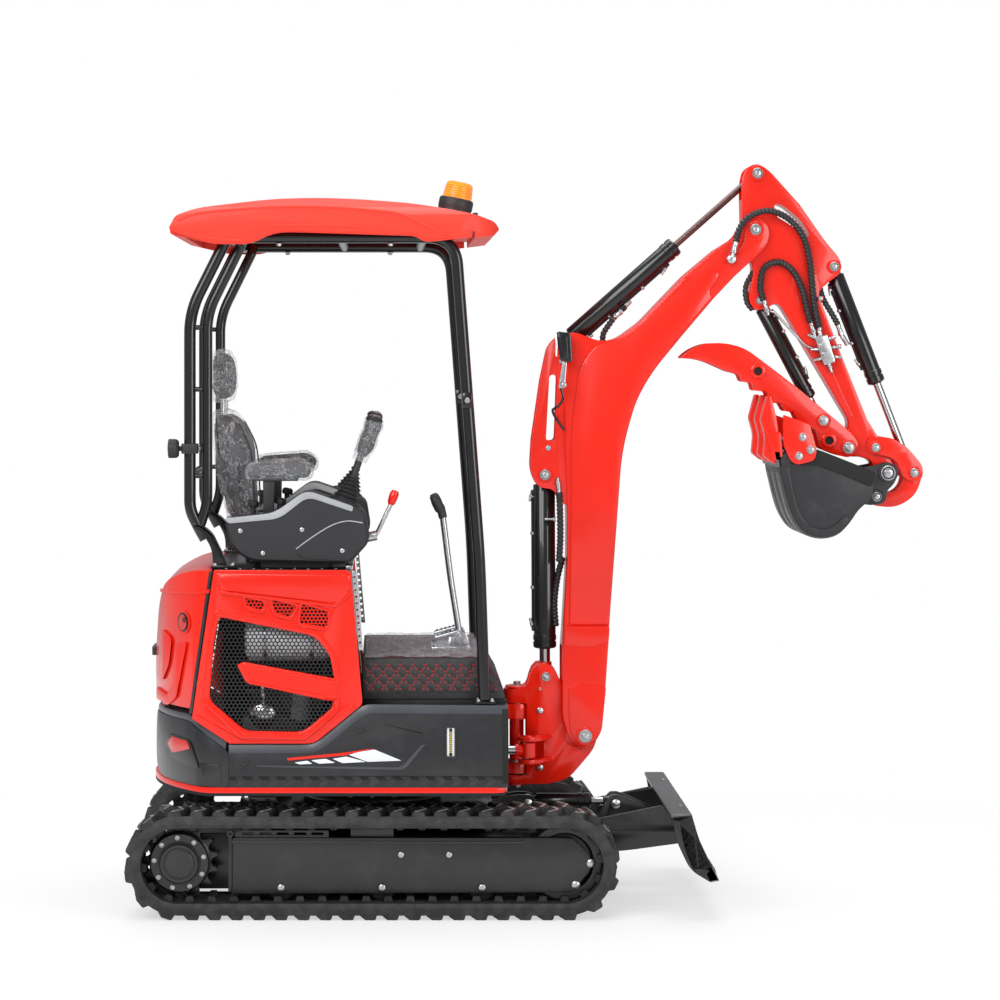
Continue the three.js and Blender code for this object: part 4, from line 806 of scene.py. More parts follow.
def quilt_vinyl():
    s = Shader("quilt_vinyl")
    grain = s.cells(520, "DISTANCE_TO_EDGE")
    return s.surface(
        Base_Color=s.mix(s.noise(16, 4), (0.012, 0.012, 0.013, 1), (0.028, 0.028, 0.03, 1)),
        Roughness=s.noise(60, 4) * 0.2 + 0.4,
        Normal=s.bump(grain.within(0.12, 0.0) * -1, 0.35, 0.0006))


def thread():
    s = Shader("thread")
    twist = s.noise(1500, 2)
    color = tuple(settings().paint.thread)
    return s.surface(
        Base_Color=s.mix(twist, color, tuple(c * 0.5 for c in color[:3]) + (1,)),
        Roughness=0.7, Normal=s.bump(twist, 0.4, 0.0005))


def amber_lens():
    s = Shader("amber_lens")
    depth = s.noise(30, 3)
    return s.surface(
        Base_Color=s.mix(depth, (0.95, 0.22, 0.005, 1), (1.0, 0.36, 0.02, 1)),
        Roughness=depth * 0.05 + 0.12, Coat_Weight=0.5, Coat_Roughness=0.03,
        Emission_Color=(1.0, 0.3, 0.01, 1), Emission_Strength=0.12)


def red_lens():
    s = Shader("red_lens")
    grid = s.cells(260)
    return s.surface(
        Base_Color=s.mix(grid, (0.5, 0.004, 0.004, 1), (0.75, 0.02, 0.01, 1)),
        Roughness=0.15, Coat_Weight=0.6, Coat_Roughness=0.04, Normal=s.bump(grid, 0.4, 0.001))


def clear_lens():
    s = Shader("clear_lens")
    ribs = s.cells(180)
    return s.surface(
        Base_Color=s.mix(ribs, (0.75, 0.77, 0.8, 1), (0.95, 0.95, 0.97, 1)), Metallic=0.4,
        Roughness=0.1, Coat_Weight=0.8, Coat_Roughness=0.03, Normal=s.bump(ribs, 0.3, 0.001))


def engine_iron():
    s = Shader("engine_iron")
    cast = s.noise(180, 5, 0.6)
    return s.surface(
        Base_Color=s.mix(s.noise(8, 5), (0.11, 0.115, 0.12, 1), (0.22, 0.225, 0.23, 1)),
        Metallic=0.7, Roughness=cast * 0.3 + 0.35, Normal=s.bump(cast, 0.3, 0.001))


def bright_metal():
    s = Shader("bright_metal")
    brushed = s.noise(260, 4)
    return s.surface(
        Base_Color=(0.66, 0.67, 0.69, 1), Metallic=1.0, Roughness=brushed * 0.18 + 0.16,
        Normal=s.bump(brushed, 0.08, 0.0005))


def hose_rubber():
    s = Shader("hose_rubber")
    return s.surface(
        Base_Color=s.mix(s.noise(60, 4), (0.009, 0.009, 0.01, 1), (0.025, 0.025, 0.027, 1)),
        Roughness=s.noise(90, 3) * 0.2 + 0.36, Normal=s.bump(s.noise(800, 2), 0.15, 0.0005))


def stripe_paint():
    s = Shader("stripe_paint")
    tone = tuple(settings().paint.stripe)
    return s.surface(
        Base_Color=s.mix(s.noise(30, 4), tone, tuple(c * 0.88 for c in tone[:3]) + (1,)),
        Roughness=0.34, Normal=s.bump(s.noise(500, 2), 0.05, 0.0004))


def bucket_steel():
    """Dark paint on thick plate, rubbed towards bare metal in places."""
    s = Shader("bucket_steel")
    worn = s.noise(11, 7, 0.66).within(0.8, 0.55)
    return s.surface(
        Base_Color=s.mix(worn, (0.022, 0.022, 0.024, 1), (0.05, 0.05, 0.053, 1)),
        Metallic=0.2, Roughness=s.noise(26, 5, 0.6) * 0.28 + 0.3,
        Normal=s.bump(s.noise(300, 5, 0.6), 0.18, 0.0009))


def worn_steel():
    """Wear straps rubbed grey."""
    s = Shader("worn_steel")
    rub = s.noise(18, 6, 0.6)
    return s.surface(
        Base_Color=s.mix(rub, (0.06, 0.06, 0.062, 1), (0.2, 0.2, 0.205, 1)), Metallic=0.5,
        Roughness=rub * 0.2 + 0.32, Normal=s.bump(s.noise(300, 4), 0.1, 0.0006))


def shaded_rod():
    """Thin rod of the arm cylinder: dark metal with a warm tinge, a painted reflection of the red boom."""
    return enamel("shaded_rod", (0.22, 0.13, 0.12, 1), 0.5, 0.18, 0.2, metal=1.0)


def trim_black():
    """Smooth ledge of the skirts and the counterweight, slightly blue and lighter than the satin black: painted
    highlight where the ledge faces the light.
    """
    s = Shader("trim_black")
    drift = s.noise(7, 4)
    return s.surface(
        Base_Color=s.mix(drift, (0.03, 0.033, 0.042, 1), (0.055, 0.06, 0.075, 1)),
        Roughness=drift * 0.15 + 0.25, Coat_Weight=0.3, Coat_Roughness=0.15,
        Normal=s.bump(s.noise(500, 2), 0.06, 0.0004))


def gauge_scale():
    """Fluid column of the sight gauge with its graduation."""
    s = Shader("gauge_scale")
    _, _, z = s.axes()
    lines = s.node("Math", {"operation": "PINGPONG"}, {0: z, 1: 0.0035}) > 0.0024
    return s.surface(
        Base_Color=s.mix(lines, (0.42, 0.33, 0.08, 1), (0.06, 0.045, 0.02, 1)),
        Roughness=0.2, Coat_Weight=0.5, Coat_Roughness=0.05)


# Near black of gaps, joints and black bands, and painted shade where a part lies in shadow: the deck's lower band, the
# engine bay, behind the vents and in the bores of the thumb's bosses.
def dark_gap():
    s = Shader("dark_gap")
    return s.surface(
        Base_Color=s.mix(s.noise(20, 3), (0.004, 0.004, 0.004, 1), (0.01, 0.01, 0.01, 1)),
        Roughness=0.8)


FINISHES = {
    "red": body_paint, "roof": roof_paint, "black": black_paint, "satin": satin_black,
    "chrome": chrome_rod, "zinc": zinc_steel, "rubber": track_rubber, "worn": worn_rubber,
    "plastic": moulded_plastic, "grey": grey_plastic, "vinyl": black_vinyl, "film": clear_film,
    "quilt": quilt_vinyl, "thread": thread, "amber": amber_lens, "red_lens": red_lens,
    "lens": clear_lens, "engine": engine_iron, "bright": bright_metal, "hose": hose_rubber,
    "stripe": stripe_paint, "bucket": bucket_steel, "worn_steel": worn_steel,
    "shade": shaded_rod, "ledge_highlight": trim_black, "gauge": gauge_scale, "dark": dark_gap,
}
MADE = {}


def material(finish):
    """Material of a finish, made the first time it is asked for."""
    if finish not in MADE:
        MADE[finish] = FINISHES[finish]()
    return MADE[finish]


# ---------------------------------------------------------------- undercarriage
TRACK_OUT, TRACK_IN = -500, -270  # Y of the right track's edges
WHEEL_Y = (TRACK_OUT + TRACK_IN) / 2
RIGHT_OUT, RIGHT_IN = -440, -330  # Y of the right frame's faces
WHEEL_R = 125  # inner face of the belt
BELT = 25  # thickness of the belt
LUG = 25  # height of a lug
AXLE_Z = TRACK_HEIGHT / 2
ROLLER_PLACES = (-293, 32, 354)
SPROCKET_TEETH = 15


def belt_place(distance, lift):
    """Point and turn of the belt at a distance along its inner line."""
    straight = 2 * AXLE_X
    half = straight + math.pi * WHEEL_R
    s = distance % (2 * half)
    flip = 1
    if s >= half:
        s -= half
        flip = -1
    if s < straight:
        turn = 0.0
        x, z = s - AXLE_X, WHEEL_R + lift
    else:
        turn = (s - straight) / WHEEL_R
        x = AXLE_X + (WHEEL_R + lift) * math.sin(turn)
        z = (WHEEL_R + lift) * math.cos(turn)
    if flip < 0:
        turn += math.pi
    spin = Matrix.Rotation(turn, 4, "Y")
    return Matrix.Translation((flip * x, 0, AXLE_Z + flip * z)) @ spin


def stadium(radius, steps=24):
    """Outline of a belt's face, at a distance from the axles."""
    points = []
    for side in (1, -1):
        for k in range(steps + 1):
            t = math.pi * k / steps
            points.append((side * (AXLE_X + radius * math.sin(t)),
                           AXLE_Z + side * radius * math.cos(t)))
    return points


class EXCAVATOR_OT_tracks(bpy.types.Operator):
    """Rubber tracks with their outer lugs and inner guide lugs"""

    bl_idname = "excavator.tracks"
    bl_label = "Rubber tracks"

    def execute(self, context):
        both_sides(self.track)
        return {"FINISHED"}

    def lug(self, s, distance, y0, y1, skew, lift, height, length, finish):
        """One moulded block, narrower and skewed towards its top."""
        part = bmesh.new()
        bmesh.ops.create_cube(part, size=1)
        for v in part.verts:
            wide = 0.5 * length if v.co.z < 0 else 0.34 * length
            share = v.co.y + 0.5
            v.co.x = math.copysign(wide, v.co.x) + skew * (share - 0.5)
            v.co.y = y0 + share * (y1 - y0)
            if v.co.z > 0 and height > 0:
                v.co.y += 4 if share < 0.5 else -4
            v.co.z = height if v.co.z > 0 else -2
        bmesh.ops.recalc_face_normals(part, faces=part.faces)
        sharp = [e for e in part.edges if e.verts[0].co.z > 0 or e.verts[1].co.z > 0]
        bmesh.ops.bevel(part, geom=sharp, offset=2.5, offset_type="OFFSET", segments=1,
                        profile=0.5, affect="EDGES", clamp_overlap=True, material=-1)
        bmesh.ops.transform(part, matrix=belt_place(distance, lift), verts=part.verts)
        for face in part.faces:
            face.material_index = 0
            face.smooth = False
        if finish:
            # the trailing half of a lug's top is scuffed
            away = belt_place(distance, lift).to_3x3() @ Vector((0, 0, 1))
            for face in part.faces:
                face.normal_update()
                if face.normal.dot(away) > 0.6:
                    face.material_index = finish
        s.take(part)
        if finish:
            # pale chevron worn into the top
            a, w, m = 0.3 * length, 8, (y0 + y1) / 2
            lean = skew * 0.3
            mark = [(-a - lean, y0 + 8), (w - a - lean, y0 + 8), (0.5 * a + w, m),
                    (w - a + lean, y1 - 8), (lean - a, y1 - 8), (0.5 * a, m)]
            s.plate(mark, height - 1, height + 0.8, axis="z", edge=0,
                    finish=2, where=belt_place(distance, lift))

    def track(self, side, flip):
        s = Shape()
        outer, inner = TRACK_OUT, TRACK_IN
        s.plate(stadium(WHEEL_R + BELT), outer, inner, holes=[stadium(WHEEL_R)], edge=4)
        for y0, y1 in ((outer + 1, outer + 16), (inner - 16, inner - 1)):
            s.plate(stadium(WHEEL_R + BELT + 9), y0, y1, holes=[stadium(WHEEL_R - 5)], edge=4)
        lap = 4 * AXLE_X + math.tau * WHEEL_R
        rows = settings().size.shoes
        pitch = lap / rows
        middle = WHEEL_Y
        for i in range(rows):
            at = i * pitch
            self.lug(s, at, outer + 2, middle + 6, 26, BELT, LUG - 1, 0.72 * pitch, 1)
            self.lug(s, at + 0.5 * pitch, middle - 6, inner - 2, -26, BELT, LUG - 1,
                     0.72 * pitch, 1)
            for y in (middle - 52, middle + 52):
                self.lug(s, at, y - 9, y + 9, 0, 0, -18, 30, 0)
        s.piece(f"rubber_track_{side}", "undercarriage", ["rubber", "rubber", "worn"],
                [f"track_{side}"], "track_rubber", flip=flip)


class EXCAVATOR_OT_undercarriage(bpy.types.Operator):
    """Track frames, rollers, sprockets, idlers, the middle frame and the dozer blade"""

    bl_idname = "excavator.undercarriage"
    bl_label = "Undercarriage"

    def execute(self, context):
        both_sides(self.side_frame)
        both_sides(self.sprocket)
        both_sides(self.idler)
        self.middle()
        self.blade(settings().size.edge / MM)
        return {"FINISHED"}

    def side_frame(self, side, flip):
        s = Shape()
        nose = AXLE_X + 86
        beam = [(-451, 76, 6), (644, 80, 8), (nose - 4, 150, 10), (nose - 4, 200, 10),
                (644, 255, 8), (600, 256), (-451, 256, 6)]
        s.plate(beam, RIGHT_OUT, RIGHT_OUT + 12, edge=2.5)
        for x, z in ((nose - 2, 174), (656, 104)):
            s.turned([(0, 0), (15, 0), (16, 4), (13, 10), (7, 13), (0, 14)],
                     (x, RIGHT_OUT + 8, z), (0, -1, 0), 24, 1)
        inner = [(-682, 135, 40), (-602, 75, 20), *beam[1:6], (-602, 256, 20), (-682, 215, 40)]
        s.plate(inner, RIGHT_IN - 12, RIGHT_IN, edge=2)
        s.block((-451, 484), (RIGHT_OUT + 1, RIGHT_IN - 1), (226, 256), 3)
        s.block((-456, 490), (RIGHT_OUT - 5, RIGHT_OUT + 3), (238, 246), 2)
        s.block((-463, -451), (RIGHT_OUT - 6, RIGHT_IN), (82, 262), 2.5)
        s.turned([(5, -4), (11, -4), (11, 4), (5, 4), (5, -4)], (-457, RIGHT_OUT - 1, 270),
                 (0, 1, 0), 24, 0)
        for x in (-443, -130, 200, 464):
            s.block((x, x + 12), (RIGHT_OUT + 1, RIGHT_IN - 1), (150, 240), 1)
        s.block((-70, 70), (-427, -343), (254, 299), 4)
        self.perforated(s)
        for x in ROLLER_PLACES:
            self.roller(s, x)
            s.turned([(0, 0), (11, 0), (12, 3), (10.5, 7), (6, 9), (0, 9.6)],
                     (x, RIGHT_OUT - 3, 97), (0, -1, 0), 24, 1)
        for x in (93, 248):
            s.turned([(0, 0), (10, 0), (10.5, 3), (9, 6.5), (5, 8), (0, 8.6)],
                     (x, RIGHT_OUT - 3, 203), (0, -1, 0), 24, 1)
        s.piece(f"track_frame_{side}", "undercarriage", ["satin", "zinc"], [f"side_frame_{side}"],
                "black_paint", flip=flip)

    def perforated(self, s):
        """Slotted guide strip over the beam."""
        holes = []
        for k in range(5):
            x = -420 + 56 * k
            holes.append([(x, 265, 4), (x + 40, 265, 4), (x + 40, 273, 4), (x, 273, 4)])
        s.plate([(-440, 257), (-140, 257), (-140, 280, 6), (-440, 280, 6)],
                RIGHT_OUT + 6, RIGHT_OUT + 10, holes=holes, edge=0.8)

    def roller(self, s, x):
        """Track roller with its groove, and its axle."""
        z = AXLE_Z - WHEEL_R + 45
        half = 38
        profile = [(0, -half), (36, -half), (44.4, -half + 5), (44.4, -14), (38, -11), (38, 11),
                   (44.4, 14), (44.4, half - 5), (36, half), (0, half)]
        s.turned(profile, (x, WHEEL_Y, z), (0, 1, 0), 40, 0)
        s.rod((x, RIGHT_OUT + 2, z), (x, RIGHT_IN - 2, z), 16, 0)

    def sprocket(self, side, flip):
        s = Shape()
        corners = []
        for i in range(SPROCKET_TEETH):
            for share, radius in ((0.0, 100), (0.2, 106), (0.34, 124.4), (0.54, 124.4),
                                  (0.68, 106), (0.88, 100)):
                t = math.tau * (i + share) / SPROCKET_TEETH
                corners.append((-AXLE_X + radius * math.cos(t), AXLE_Z + radius * math.sin(t)))
        s.plate(corners, -400, -370, edge=2)
        centre = (-AXLE_X, WHEEL_Y, AXLE_Z)
        s.turned([(0, -55), (66, -55), (68, -50), (92, -50), (94, -47), (94, -22), (100, -18),
                  (100, 6), (0, 6)], centre, (0, 1, 0), 56, 0)
        s.turned([(0, 0), (50, 0), (52, 2), (60, 2), (63, -2), (63, -18), (0, -18)],
                 (-AXLE_X, -455, AXLE_Z), (0, -1, 0), 56, 0)
        s.turned([(0, 0), (46, 0), (46, 2), (44, 3.5), (0, 3.5)], (-AXLE_X, -455, AXLE_Z),
                 (0, -1, 0), 48, 0)
        for k in range(9):
            t = math.tau * k / 9 + 0.25
            at = (-AXLE_X + 81 * math.cos(t), -435, AXLE_Z + 81 * math.sin(t))
            s.turned([(3.6, 3), (5.2, 6), (7.6, 6.4), (8.2, 5), (8.2, 0), (0, 0), (0, 3), (3.6, 3)],
                     at, (0, -1, 0), 18, 1)
        for t in (0.9, -0.9):
            s.bolt((-AXLE_X + 44 * math.cos(t), -457, AXLE_Z + 44 * math.sin(t)), (0, -1, 0), 6, 0,
                   washer=False, height=3)
        s.rod(centre, (-AXLE_X, RIGHT_IN - 12.4, AXLE_Z), 72, 0, 40, 3)
        s.piece(f"drive_sprocket_{side}", "undercarriage", ["satin", "zinc"], [f"sprocket_{side}"],
                "black_paint", flip=flip)

    def idler(self, side, flip):
        s = Shape()
        half = 38
        rim = WHEEL_R - 0.4
        s.turned([(0, -half - 4), (34, -half - 4), (38, -half), (42, -14), (86, -10), (92, -14),
                  (95, -half), (rim - 6, -half), (rim, 5 - half), (rim, half - 5), (rim - 6, half),
                  (95, half), (92, 14), (86, 10), (42, 14), (38, half), (34, half + 4),
                  (0, half + 4)], (AXLE_X, WHEEL_Y, AXLE_Z), (0, 1, 0), 64, 0)
        s.rod((AXLE_X, RIGHT_OUT + 12.4, AXLE_Z), (AXLE_X, RIGHT_IN - 12.4, AXLE_Z), 22, 0)
        s.piece(f"front_idler_{side}", "undercarriage", ["satin"], [f"idler_{side}"],
                "black_paint", flip=flip)

    def middle(self):
        s = Shape()
        s.copy_node("carbody", edge=2.5)
        s.turned([(195, 0), (236, 0), (238, 4), (238, 20), (226, 24), (226, 60), (195, 60),
                  (195, 0)], (0, 0, 334), (0, 0, 1), 72, 0)
        for k in range(20):
            t = math.tau * k / 20
            s.bolt((231 * math.cos(t), 231 * math.sin(t), 355), (0, 0, 1), 7)
        for y in (-1, 1):
            s.bolt((372, y * 150, 214), (1, 0, 0), 10)
            s.bolt((PINS["blade"][0], y * 262, PINS["blade"][1]), (0, y, 0), 12)
            s.disc(at_pin("blade_barrel", y * 48), (0, y, 0), 16, 4, 1)
            s.bolt(at_pin("blade_barrel", y * 52), (0, y, 0), 9)
        s.piece("middle_frame", "undercarriage", ["satin", "zinc"], ["carbody"], "black_paint")

    def blade(self, edge):
        s = Shape()
        s.copy_node("dozer_blade", edge=edge)
        s.plate([(1092, 176), (1112, 127), (1084, 122), (1070, 148)], -SIDE, SIDE, edge=1,
                finish=1)
        for y in (-420, -280, -140, 0, 140, 280, 420):
            s.turned([(0, 0), (12, 0), (12, 2), (8, 4), (0, 4)], (1103, y, 150), (0.92, 0, 0.38),
                     20, 1)
        for y in (-1, 1):
            low, high = sorted((y * (SIDE - 10), y * SIDE))
            s.plate([(962, 331, 6), (1025, 337, 6), (1047, 262, 20), (1089, 172, 20), (1112, 129),
                     (1082, 123), (1020, 160, 30), (976, 252, 30)], low, high, edge=2)
            s.disc(at_pin("blade_rod", y * 54), (0, y, 0), 15, 4, 2)
            s.bolt(at_pin("blade_rod", y * 58), (0, y, 0), 9, 2)
            s.bolt((1006, y * 300, 333), (0.1, 0, 1), 8, 2)
        s.block((958, 1026), (-SIDE + 2, SIDE - 2), (327, 339), 3, 1)
        s.piece("blade_weldment", "blade", ["satin", "worn_steel", "zinc"], ["dozer_blade"],
                "black_paint")


# ---------------------------------------------------------------- pins and cylinders
def at_pin(pin, y=0.0):
    """Point on a pin's axis."""
    x, z = PINS[pin]
    return Vector((x, y, z))


def pin_ends(shape, pin, reach, size, boss=0.0):
    """Washer and nut on both ends of a pin, on a painted boss where one is given."""
    for s in (-1, 1):
        start = at_pin(pin, s * reach)
        if boss:
            shape.disc(start - Vector((0, s * 3, 0)), (0, s, 0), boss, 7, 0, 1.5, 40)
            start = start + Vector((0, s * 4, 0))
        washer(shape, start, (0, s, 0), size)


def washer(shape, at, way, size):
    """Thick zinc washer with a turned groove, and its nut."""
    shape.turned([(0, 0), (size, 0), (size, 3), (size - 1.2, 4.4), (0.84 * size, 4.4),
                  (0.8 * size, 0.6), (0.68 * size, 0.6), (0.64 * size, 3.6), (0, 3.6)],
                 at, way, 36, 1)
    shape.bolt(Vector(at) + Vector(way).normalized() * 3, way, 0.56 * size, washer=False)


def ring(shape, at, direction, inner, outer, half, finish=0):
    """Round eye with a chamfered edge."""
    c = 2.0
    profile = [(inner, -half), (outer - c, -half), (outer, c - half), (outer, half - c),
               (outer - c, half), (inner, half), (inner, -half)]
    return shape.turned(profile, at, direction, 36, finish)


def fitting(shape, at, way, size):
    """Zinc hose fitting: a collar, a hexagon nut and a short neck."""
    at, way = Vector(at), Vector(way).normalized()
    shape.disc(at, way, size, 8, 1, 1.0, 20)
    shape.bolt(at + way * 8, way, 1.15 * size, washer=False, height=11)
    shape.disc(at + way * 19, way, 0.8 * size, 14, 1, 1.0, 20)


RAM_EYE_HALF = 25  # half width of a cylinder's eye
EYE_PLAY = 0.8  # gap between an eye and its pin


def ram(name, base, tip, sizes, across=(0, 1, 0), port_side=1, ports=True, finish=("chrome", "red")):
    """Hydraulic cylinder between two pins: a black barrel with its eye and gland, and a rod.

    The sizes are the barrel's radius, the rod's radius, the distance from the base pin to the
    barrel's mouth, the eyes' radius, the pins' radius and the rod's length from its own pin.
    """
    barrel, rod, length, eye, pin, inside = sizes
    base, tip, across = Vector(base), Vector(tip), Vector(across)
    way = (tip - base).normalized()
    b = Shape()
    ring(b, base, across, pin + EYE_PLAY, eye, RAM_EYE_HALF)
    gland = barrel + 2.0
    b.turned(
        [(0, eye - 6), (0.7 * barrel, eye - 6), (0.75 * barrel, eye + 5), (barrel - 2, eye + 7),
         (barrel, eye + 10), (barrel, length - 44), (gland, length - 42), (gland, length - 27),
         (barrel - 1, length - 26), (barrel - 1, length - 22), (gland, length - 21),
         (gland, length - 5), (gland - 4, length), (rod + 6, length), (rod + 4, length + 3),
         (0, length + 3)],
        base, way, 40)
    if ports:
        # two hose ports and the steel pipe between them
        side = across.cross(way).normalized() * port_side
        line = []
        for share, lean in ((0.0, 1), (1.0, -1)):
            start = base + way * (eye + 34 + share * (length - eye - 100)) + side * (barrel - 4)
            b.rod(start, start + side * 11, 10, 0, 20)
            line.append(start + side * 6)
            fitting(b, start + side * 7 - way * 2, side * 0.3 + way * lean, 5.5)
        b.rod(line[0] + way * 16, line[1] - way * 16, 5, 0, 12)
        for share in (0.3, 0.7):
            middle = line[0].lerp(line[1], share)
            b.rod(middle - way * 5, middle + way * 5, 8.5, 1, 12)
    b.piece(f"{name}_ram_barrel", f"{name}_barrel", ["black", "zinc"],
            [f"{name}_cylinder_barrel"], "black_paint")
    r = Shape()
    ring(r, tip, across, pin + EYE_PLAY, eye, RAM_EYE_HALF, 1)
    r.rod(tip - way * (eye + 16), tip - way * (eye - 7), 0.82 * eye, 1, 32)
    r.rod(tip - way * inside, tip - way * (eye - 4), rod, 0, 32)
    r.piece(f"{name}_ram_rod", f"{name}_rod", finish, [f"{name}_cylinder_rod"], "chrome_rod")


class EXCAVATOR_OT_cylinders(bpy.types.Operator):
    """Hydraulic cylinders of the boom, arm, bucket, thumb, blade and boom swing"""

    bl_idname = "excavator.cylinders"
    bl_label = "Hydraulic cylinders"

    def execute(self, context):
        ram("boom", at_pin("boom_barrel"), at_pin("boom_rod"), (37, 18, 584, 28, 15, 620))
        # the arm cylinder's rod takes a dark warm finish: painted reflection of the red boom
        ram("arm", at_pin("arm_barrel"), at_pin("arm_rod"), (31, 11, 498, 28, 15, 565),
            finish=("shade", "red"))
        ram("bucket", at_pin("bucket_barrel"), at_pin("knee"), (28, 14, 417, 24, 13, 520))
        ram("thumb", at_pin("thumb_barrel"), at_pin("thumb_rod"), (24, 13, 368, 22, 12, 405),
            port_side=-1)
        ram("blade", at_pin("blade_barrel"), at_pin("blade_rod"), (28, 15, 213, 24, 12, 240),
            ports=False, finish=("chrome", "black"))
        low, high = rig.box("swing_cylinder_rod")
        z = (low.z + high.z) / 2 / MM
        ram("swing", (-100, -170, z), (516, -125, z), (28, 15, 398, 26, 14, 480), (0, 0, 1),
            ports=False)
        return {"FINISHED"}


# ---------------------------------------------------------------- swing post and boom
BOOM_LINE = [
    (634, 606, 20), (634, 823, 20), (651, 1125), (651, 1292, 60), (645, 1450, 60), (640, 1700),
    (628, 1878, 20), (678, 1888, 20), (761, 1856, 30), (818, 1865, 40), (895, 1921, 20),
    (1043, 2076), (1147, 2163), (1213, 2203, 20), (1247, 2262, 30), (1284, 2284, 40),
    (1330, 2240, 40), (1322, 2176, 30), (1213, 2076), (1143, 2002), (1029, 1868),
    (936, 1754, 60), (882, 1660, 80), (835, 1493, 80), (818, 1259, 60), (798, 991), (775, 656),
    (760, 539, 40), (711, 490, 40), (655, 530, 30),
]
BOOM_HALF = 70
POST_HALF = 60
CHEEK = 45  # half the room between the lugs of the boom's cylinders


class EXCAVATOR_OT_boom(bpy.types.Operator):
    """Swing post, boom and its work light"""

    bl_idname = "excavator.boom"
    bl_label = "Boom"

    def execute(self, context):
        edge = settings().size.edge / MM
        self.post(edge)
        self.beam(edge)
        self.light()
        return {"FINISHED"}

    def post(self, edge):
        s = Shape()
        s.copy_node("swing_post", edge=edge)
        pin_ends(s, "boom_rod", POST_HALF + 8, 15)
        for y in (-1, 1):
            s.plate([(640, 500, 40), (745, 500, 40), (745, 580, 40), (650, 585, 30)],
                    *sorted((y * (POST_HALF - 2), y * (POST_HALF + 2.5))), edge=1.5)
            s.bolt((560, y * 52, 690), (0, 0, 1), 9)
            for z in (430, 620):
                s.bolt((560, y * (POST_HALF - 1), z), (0, y, 0), 8)
        for z, lift in ((693, 1), (374, -1)):
            s.disc((SWING_X, 0, z), (0, 0, lift), 40, 7, 0, 2, 40)
            s.bolt((SWING_X, 0, z + 6 * lift), (0, 0, lift), 14)
        s.piece("swing_post_casting", "swing_post", ["red", "zinc"], ["swing_post"], "red_paint")

    def beam(self, edge):
        s = Shape()
        s.plate(BOOM_LINE, -BOOM_HALF, BOOM_HALF, edge=5, steps=10)
        foot = [(634, 606, 20), (634, 823), (640, 905, 10), (792, 905, 10), (775, 656),
                (762, 539, 40), (711, 486, 40), (655, 530, 30)]
        near = POST_HALF + 5
        for y in (-1, 1):
            s.plate(foot, *sorted((y * near, y * (near + 22))), edge=3, steps=12)
        room = Shape()
        room.plate([(560, 440), (860, 440), (860, 660), (790, 704, 20), (690, 716, 20),
                    (668, 836), (560, 836)], -near, near, edge=0)
        ax, az = PINS["arm_barrel"]
        room.plate([(590, az - 62), (ax + 40, az - 62, 30), (ax + 150, az + 24),
                    (ax + 150, az + 120), (590, az + 120)], -CHEEK, CHEEK, edge=0)
        room.plate([(1172, 1990), (1460, 1990), (1460, 2400), (1172, 2400)],
                   -CHEEK - 5, CHEEK + 5, edge=0)
        s.carve(room)
        slot = [(580, 1523, 16), (612, 1523, 16), (620, 1745, 16), (592, 1745, 16)]
        for y in (-1, 1):
            s.plate([(690, 1300), (632, 1312, 20), (606, 1362, 20), (552, 1368, 40),
                     (528, 1426, 40), (534, 1526), (563, 1727), (588, 1844, 30),
                     (628, 1880, 20), (690, 1880)],
                    *sorted((y * CHEEK, y * (CHEEK + 16))), holes=[slot], edge=edge, steps=10)
            low, high = sorted((y * (BOOM_HALF - 2), y * (BOOM_HALF + 6)))
            s.plate([(658, 908, 10), (788, 908, 10), (794, 991), (813, 1262), (830, 1492, 80),
                     (877, 1662, 80), (931, 1758, 60), (1024, 1872), (1134, 2001, 6),
                     (1124, 2024, 14), (1152, 2060, 14), (1161, 2087, 16), (1120, 2096, 20),
                     (1066, 2069, 10), (1044, 2070, 4), (894, 1914, 20), (817, 1858, 40),
                     (746, 1846, 60), (690, 1770, 90), (664, 1560, 80), (663, 1290)],
                    low, high, edge=4, steps=10)
            low, high = sorted((y * (near + 20), y * (near + 26)))
            s.plate([(655, 610, 24), (655, 700, 10), (690, 716, 10), (780, 704, 10), (764, 545, 30),
                     (711, 494, 44), (663, 534, 34)], low, high, edge=2, steps=10)
            s.plate([(640, 840, 10), (640, 905, 10), (792, 905, 10), (789, 858, 10), (740, 836, 20)],
                    *sorted((y * (near + 20), y * (near + 24))), edge=1.5)
            low, high = sorted((y * BOOM_HALF, y * (BOOM_HALF + 8)))
            s.plate([(1196, 2120, 20), (1240, 2180, 30), (1252, 2262, 30), (1284, 2276, 34),
                     (1322, 2240, 34), (1314, 2182, 30), (1262, 2120, 20)], low, high, edge=2)
        for pin in ("boom_barrel", "arm_barrel"):
            s.rod(at_pin(pin, -CHEEK - 18), at_pin(pin, CHEEK + 18), 15, 1)
            pin_ends(s, pin, CHEEK + 18, 18, 25)
        s.rod(at_pin("arm", -BOOM_HALF - 8), at_pin("arm", BOOM_HALF + 8), 20.2, 1)
        pin_ends(s, "arm", BOOM_HALF + 8, 19, 27)
        s.rod(at_pin("boom_foot", -near - 30), at_pin("boom_foot", near + 30), 24.6, 1)
        pin_ends(s, "boom_foot", near + 27, 22, 31)
        for y in (-1, 1):
            s.bolt((588, y * (CHEEK + 15), 1500), (0, y, 0), 7)
            s.bolt((632, y * (CHEEK + 15), 1790), (0, y, 0), 7)
        s.piece("boom_weldment", "boom", ["red", "zinc"], ["boom"], "red_paint")

